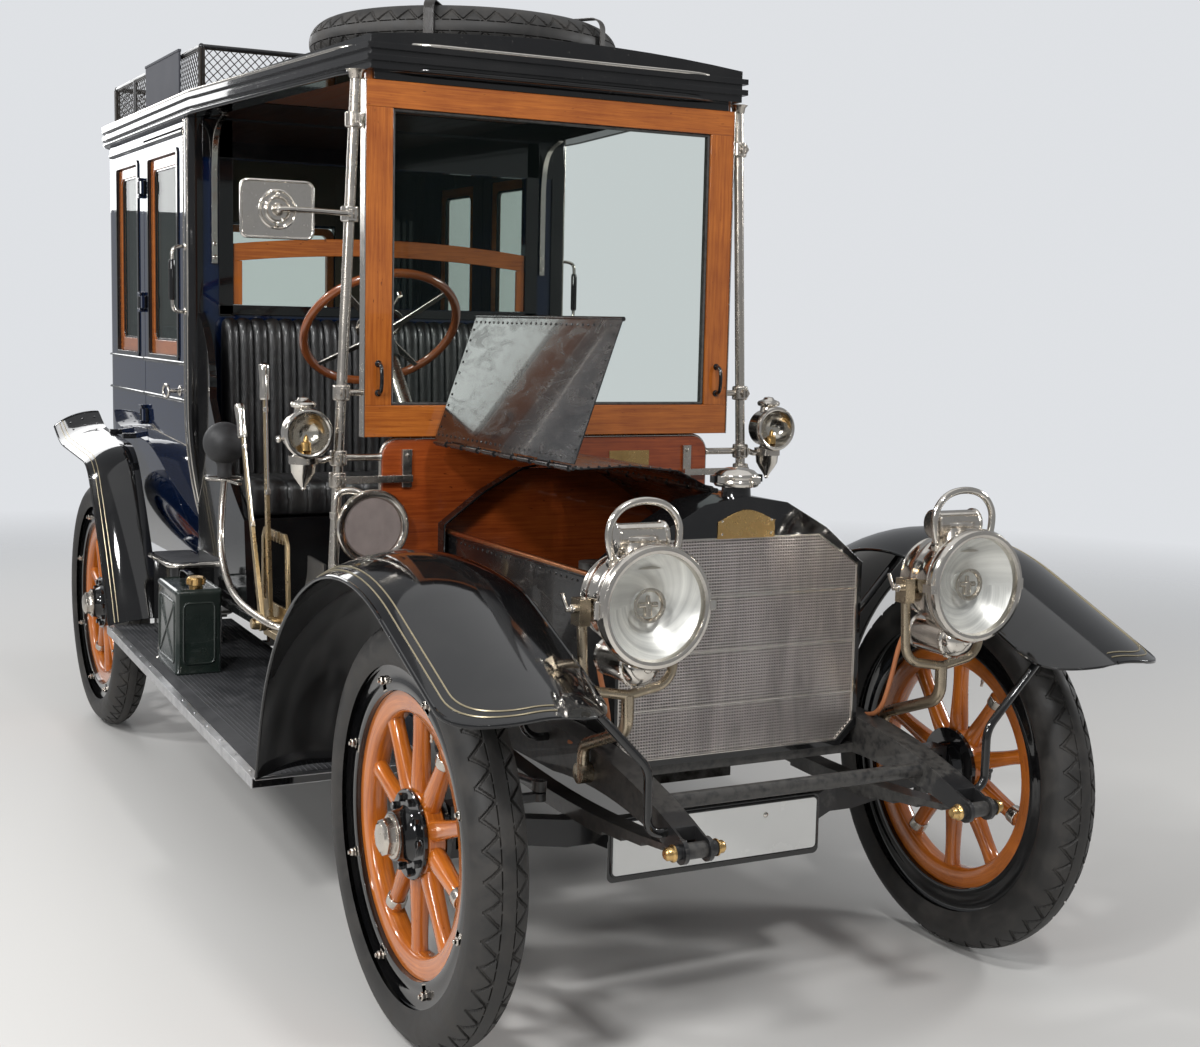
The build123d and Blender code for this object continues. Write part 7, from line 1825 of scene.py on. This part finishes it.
def headlamp_parts():
    """The lamp at the origin: its bright shell, its reflector, its burner and its lens."""
    shell = turned([(-190, 0), (-190, 40), (-186, 52), (-176, 58), (-160, 84), (-156, 86), (-150, 84),
                    (-118, 90), (-112, 94), (-104, 94), (-98, 91), (-72, 93), (-50, 101), (-40, 106),
                    (-38, 112), (-34, 114), (-30, 112), (-28, 116), (-18, 121), (-8, 121), (0, 117),
                    (3, 110), (1, 104), (-5, 102), (-12, 101)], "x", 72)
    reflector = turned([(-12, 101), (-22, 92), (-38, 72), (-54, 48), (-62, 30), (-64, 22), (-60, 20),
                        (-60, 0)], "x", 72)
    inner_ring = turned([(-40, 30), (-34, 34), (-30, 34), (-30, 29), (-36, 26), (-40, 30)], "x", 40)
    burner = joined([turned([(-22, 0), (-22, 9), (4, 9), (6, 5), (18, 4), (19, 0)], "z", 20),
                     turned([(-20, 0), (-20, 5.5), (20, 5.5), (20, 0)], "y", 16)]).moved(x=-40)
    chimney = turned([(70, 60), (84, 46), (92, 42), (118, 40), (122, 43), (128, 43), (130, 38), (134, 0)],
                     "z", 48)
    hood = turned([(-60, 0), (-60, 27), (-57, 31), (-52, 31), (-50, 28), (46, 28), (48, 31), (52, 31),
                   (54, 27), (54, 0)], "y", 48)
    slot_angle = np.radians(np.arange(0, 360, 30))
    slots = bars(triples(41 * np.cos(slot_angle), 41 * np.sin(slot_angle), 104), [(5, 5, 12)] * 12)
    generator = turned([(-200, 0), (-200, 26), (-194, 34), (-186, 38), (-180, 41), (-174, 38), (-168, 40),
                        (-80, 40), (-76, 43), (-70, 43), (-66, 39), (-56, 37), (-46, 31), (-38, 20),
                        (-34, 8), (-30, 8), (-26, 4), (-25, 0)], "x", 48)
    bead_angle = np.radians(np.arange(0, 360, 18))
    beads = turned([(-2.6, 0), (0, 3), (2.6, 0)], "z", 8).copies(
        triples(-70, 44 * np.cos(bead_angle), 44 * np.sin(bead_angle)))
    bail = tube([(-60, -66, 78), (-60, -78, 120), (-60, -76, 158), (-60, -48, 190), (-60, 0, 200),
                 (-60, 48, 190), (-60, 76, 158), (-60, 78, 120), (-60, 66, 78)], 7.5, 16, upward=(1, 0, 0))
    bail_feet = turned([(-6, 0), (-6, 12), (6, 12), (6, 0)], "x", 16).copies([(-60, -67, 80), (-60, 67, 80)])
    trunnions = turned([(80, 12), (100, 11), (100, 0)], "y", 20).both().moved(x=-110, z=-12)
    screws = joined([turned([(118, 9), (128, 9), (130, 5), (140, 5), (141, 0)], "y", 20),
                     tube([(-4, 134, 0), (-10, 138, 14), (-12, 142, 30)], 4, 10)]).both().moved(x=-110, z=-12)
    hinge_pin = turned([(-16, 0), (-16, 7), (16, 7), (16, 0)], "z", 16, (-16, 121, 0))
    hinge = hinge_pin + block((-24, -2), (112, 122), (-12, 12))
    catch = block((-26, 2), (-128, -114), (-9, 9))
    neck = turned([(-92, 22), (-84, 26), (-80, 22)], "z", 24, (-120, 0, 0))
    lamp_shell = joined([shell, (chimney + slots).moved(x=-90), hood.moved(x=-90, z=124),
                         generator.moved(z=-124), beads.moved(z=-124), bail, bail_feet, trunnions, screws,
                         hinge, catch, neck])
    lens = turned([(-7, 0), (-7, 100), (-4, 100), (2, 78), (6, 46), (8, 0)], "x", 64)
    return lamp_shell, reflector, inner_ring + burner, lens


lamp_shell, lamp_reflector, lamp_burner, lamp_lens = [part.moved(*HEADLAMP_AT) for part in headlamp_parts()]
piece("headlamp_shells", bright_nickel, lamp_shell.both(), replaces=["headlamps"], sharp=32)
piece("headlamp_reflectors", reflector_finish(), lamp_reflector.both())
piece("headlamp_burners", nickel, lamp_burner.both())
piece("headlamp_lenses", lamp_glass, lamp_lens.both())
softened("headlamp_brackets", nickel_finish("bracket_nickel", (0.50, 0.42, 0.31), (0.24, 0.19, 0.13), 0.24))

hose_rubber = Finish("gas_hose", (0.50, 0.17, 0.06), 0.55)
hose_rubber.set("Base Color", hose_rubber.blend(hose_rubber.noise(hose_rubber.place(), 14, 4),
                                                (0.40, 0.12, 0.04), (0.60, 0.24, 0.10)))
HOSE_RADIUS = 5.5
for hose_name, side in (("left", 1), ("right", -1)):
    x, y, z = HEADLAMP_AT[0], side * HEADLAMP_AT[1], HEADLAMP_AT[2]
    hose_points = [(x - 200, y, z - 124), (x - 232, y, z - 128), (x - 250, y - side * 8, z - 168),
                   (x - 246, y - side * 30, z - 250), (x - 262, y - side * 42, z - 320),
                   (x - 330, y - side * 30, z - 345), (x - 400, y - side * 22, z - 352)]
    hose_curve = bpy.data.curves.new("gas_hose_" + hose_name, "CURVE")
    hose_curve.dimensions = "3D"
    hose_curve.bevel_depth = HOSE_RADIUS * MM
    hose_curve.bevel_resolution = 4
    hose_line = hose_curve.splines.new("NURBS")
    hose_line.points.add(len(hose_points) - 1)
    for point, place in zip(hose_line.points, hose_points):
        point.co = (place[0] * MM + FRONT_AXLE_X, place[1] * MM, place[2] * MM, 1)
    hose_line.order_u = 3
    hose_line.use_endpoint_u = True
    hose_curve.materials.append(hose_rubber.material)
    hose = bpy.data.objects.new("gas_hose_" + hose_name, hose_curve)
    scene.collection.objects.link(hose)
    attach(hose, "chassis")

# Number plate and front ends
# The plate is bare white enamel in a black holder. Brass grease caps close the spring eyes at the frame's
# front horns.
PLATE_SPAN_Z = (317, 437)
PLATE_MIDDLE_Y = -37
plate_white = enamel_finish("plate_white", (0.70, 0.70, 0.68), (0.50, 0.48, 0.44), 0.22, 0.3)
plate_outline = rounded_outline(262, *PLATE_SPAN_Z, 12) + (PLATE_MIDDLE_Y, 0)
plate_face = sheet_of(plate_outline, 86, 89)
plate_rim = carried(ring(3, 8), standing(plate_outline, 87.5), (1, 0, 0), closed=True)
plate_holder = sheet_of(rounded_outline(270, 304, 443, 14) + (PLATE_MIDDLE_Y, 0), 82, 85.6)
holder_arms = block((22, 82), (-172, -148), (405, 414)) + block((22, 82), (74, 98), (405, 414))
plate_bolt = turned([(89, 6), (91, 6), (93, 3.5), (93.4, 0)], "x", 12)
plate_bolts = plate_bolt.copies([(0, -160, 410), (0, 86, 410)])
piece("plate_face", plate_white, plate_face, replaces=["number_plate"], bevel=0.5)
piece("plate_rim", black_enamel, [plate_rim, plate_holder, holder_arms], bevel=0.6)
piece("plate_bolts", bright_nickel, plate_bolts)
grease_cap = turned([(0, 17), (3, 17), (6, 13), (15, 12.5), (19, 9), (20, 0)], "y", 24)
caps = [grease_cap.moved(490, 340 + 46.2, 500), grease_cap.across().moved(490, 340 - 46.2, 500)]
piece("spring_eye_caps", brass, joined(caps).both())

# Floor
# The studio's plain floor, which isn't part of the car.
floor_mesh = bpy.data.meshes.new("studio_floor")
floor_mesh.from_pydata([(-FLOOR_REACH, -FLOOR_REACH, 0), (FLOOR_REACH, -FLOOR_REACH, 0),
                        (FLOOR_REACH, FLOOR_REACH, 0), (-FLOOR_REACH, FLOOR_REACH, 0)], [], [(0, 1, 2, 3)])
floor = bpy.data.objects.new("studio_floor", floor_mesh)
scene.collection.objects.link(floor)
floor_finish = Finish("studio_floor", FLOOR_TINT, FLOOR_ROUGHNESS)
distance = floor_finish.node("VectorMath", {"operation": "LENGTH"}, floor_finish.place(), output="Value")
floor_finish.set("Alpha", floor_finish.band(distance, *FLOOR_FADE, 1.0, 0.0))
floor_mesh.materials.append(floor_finish.material)
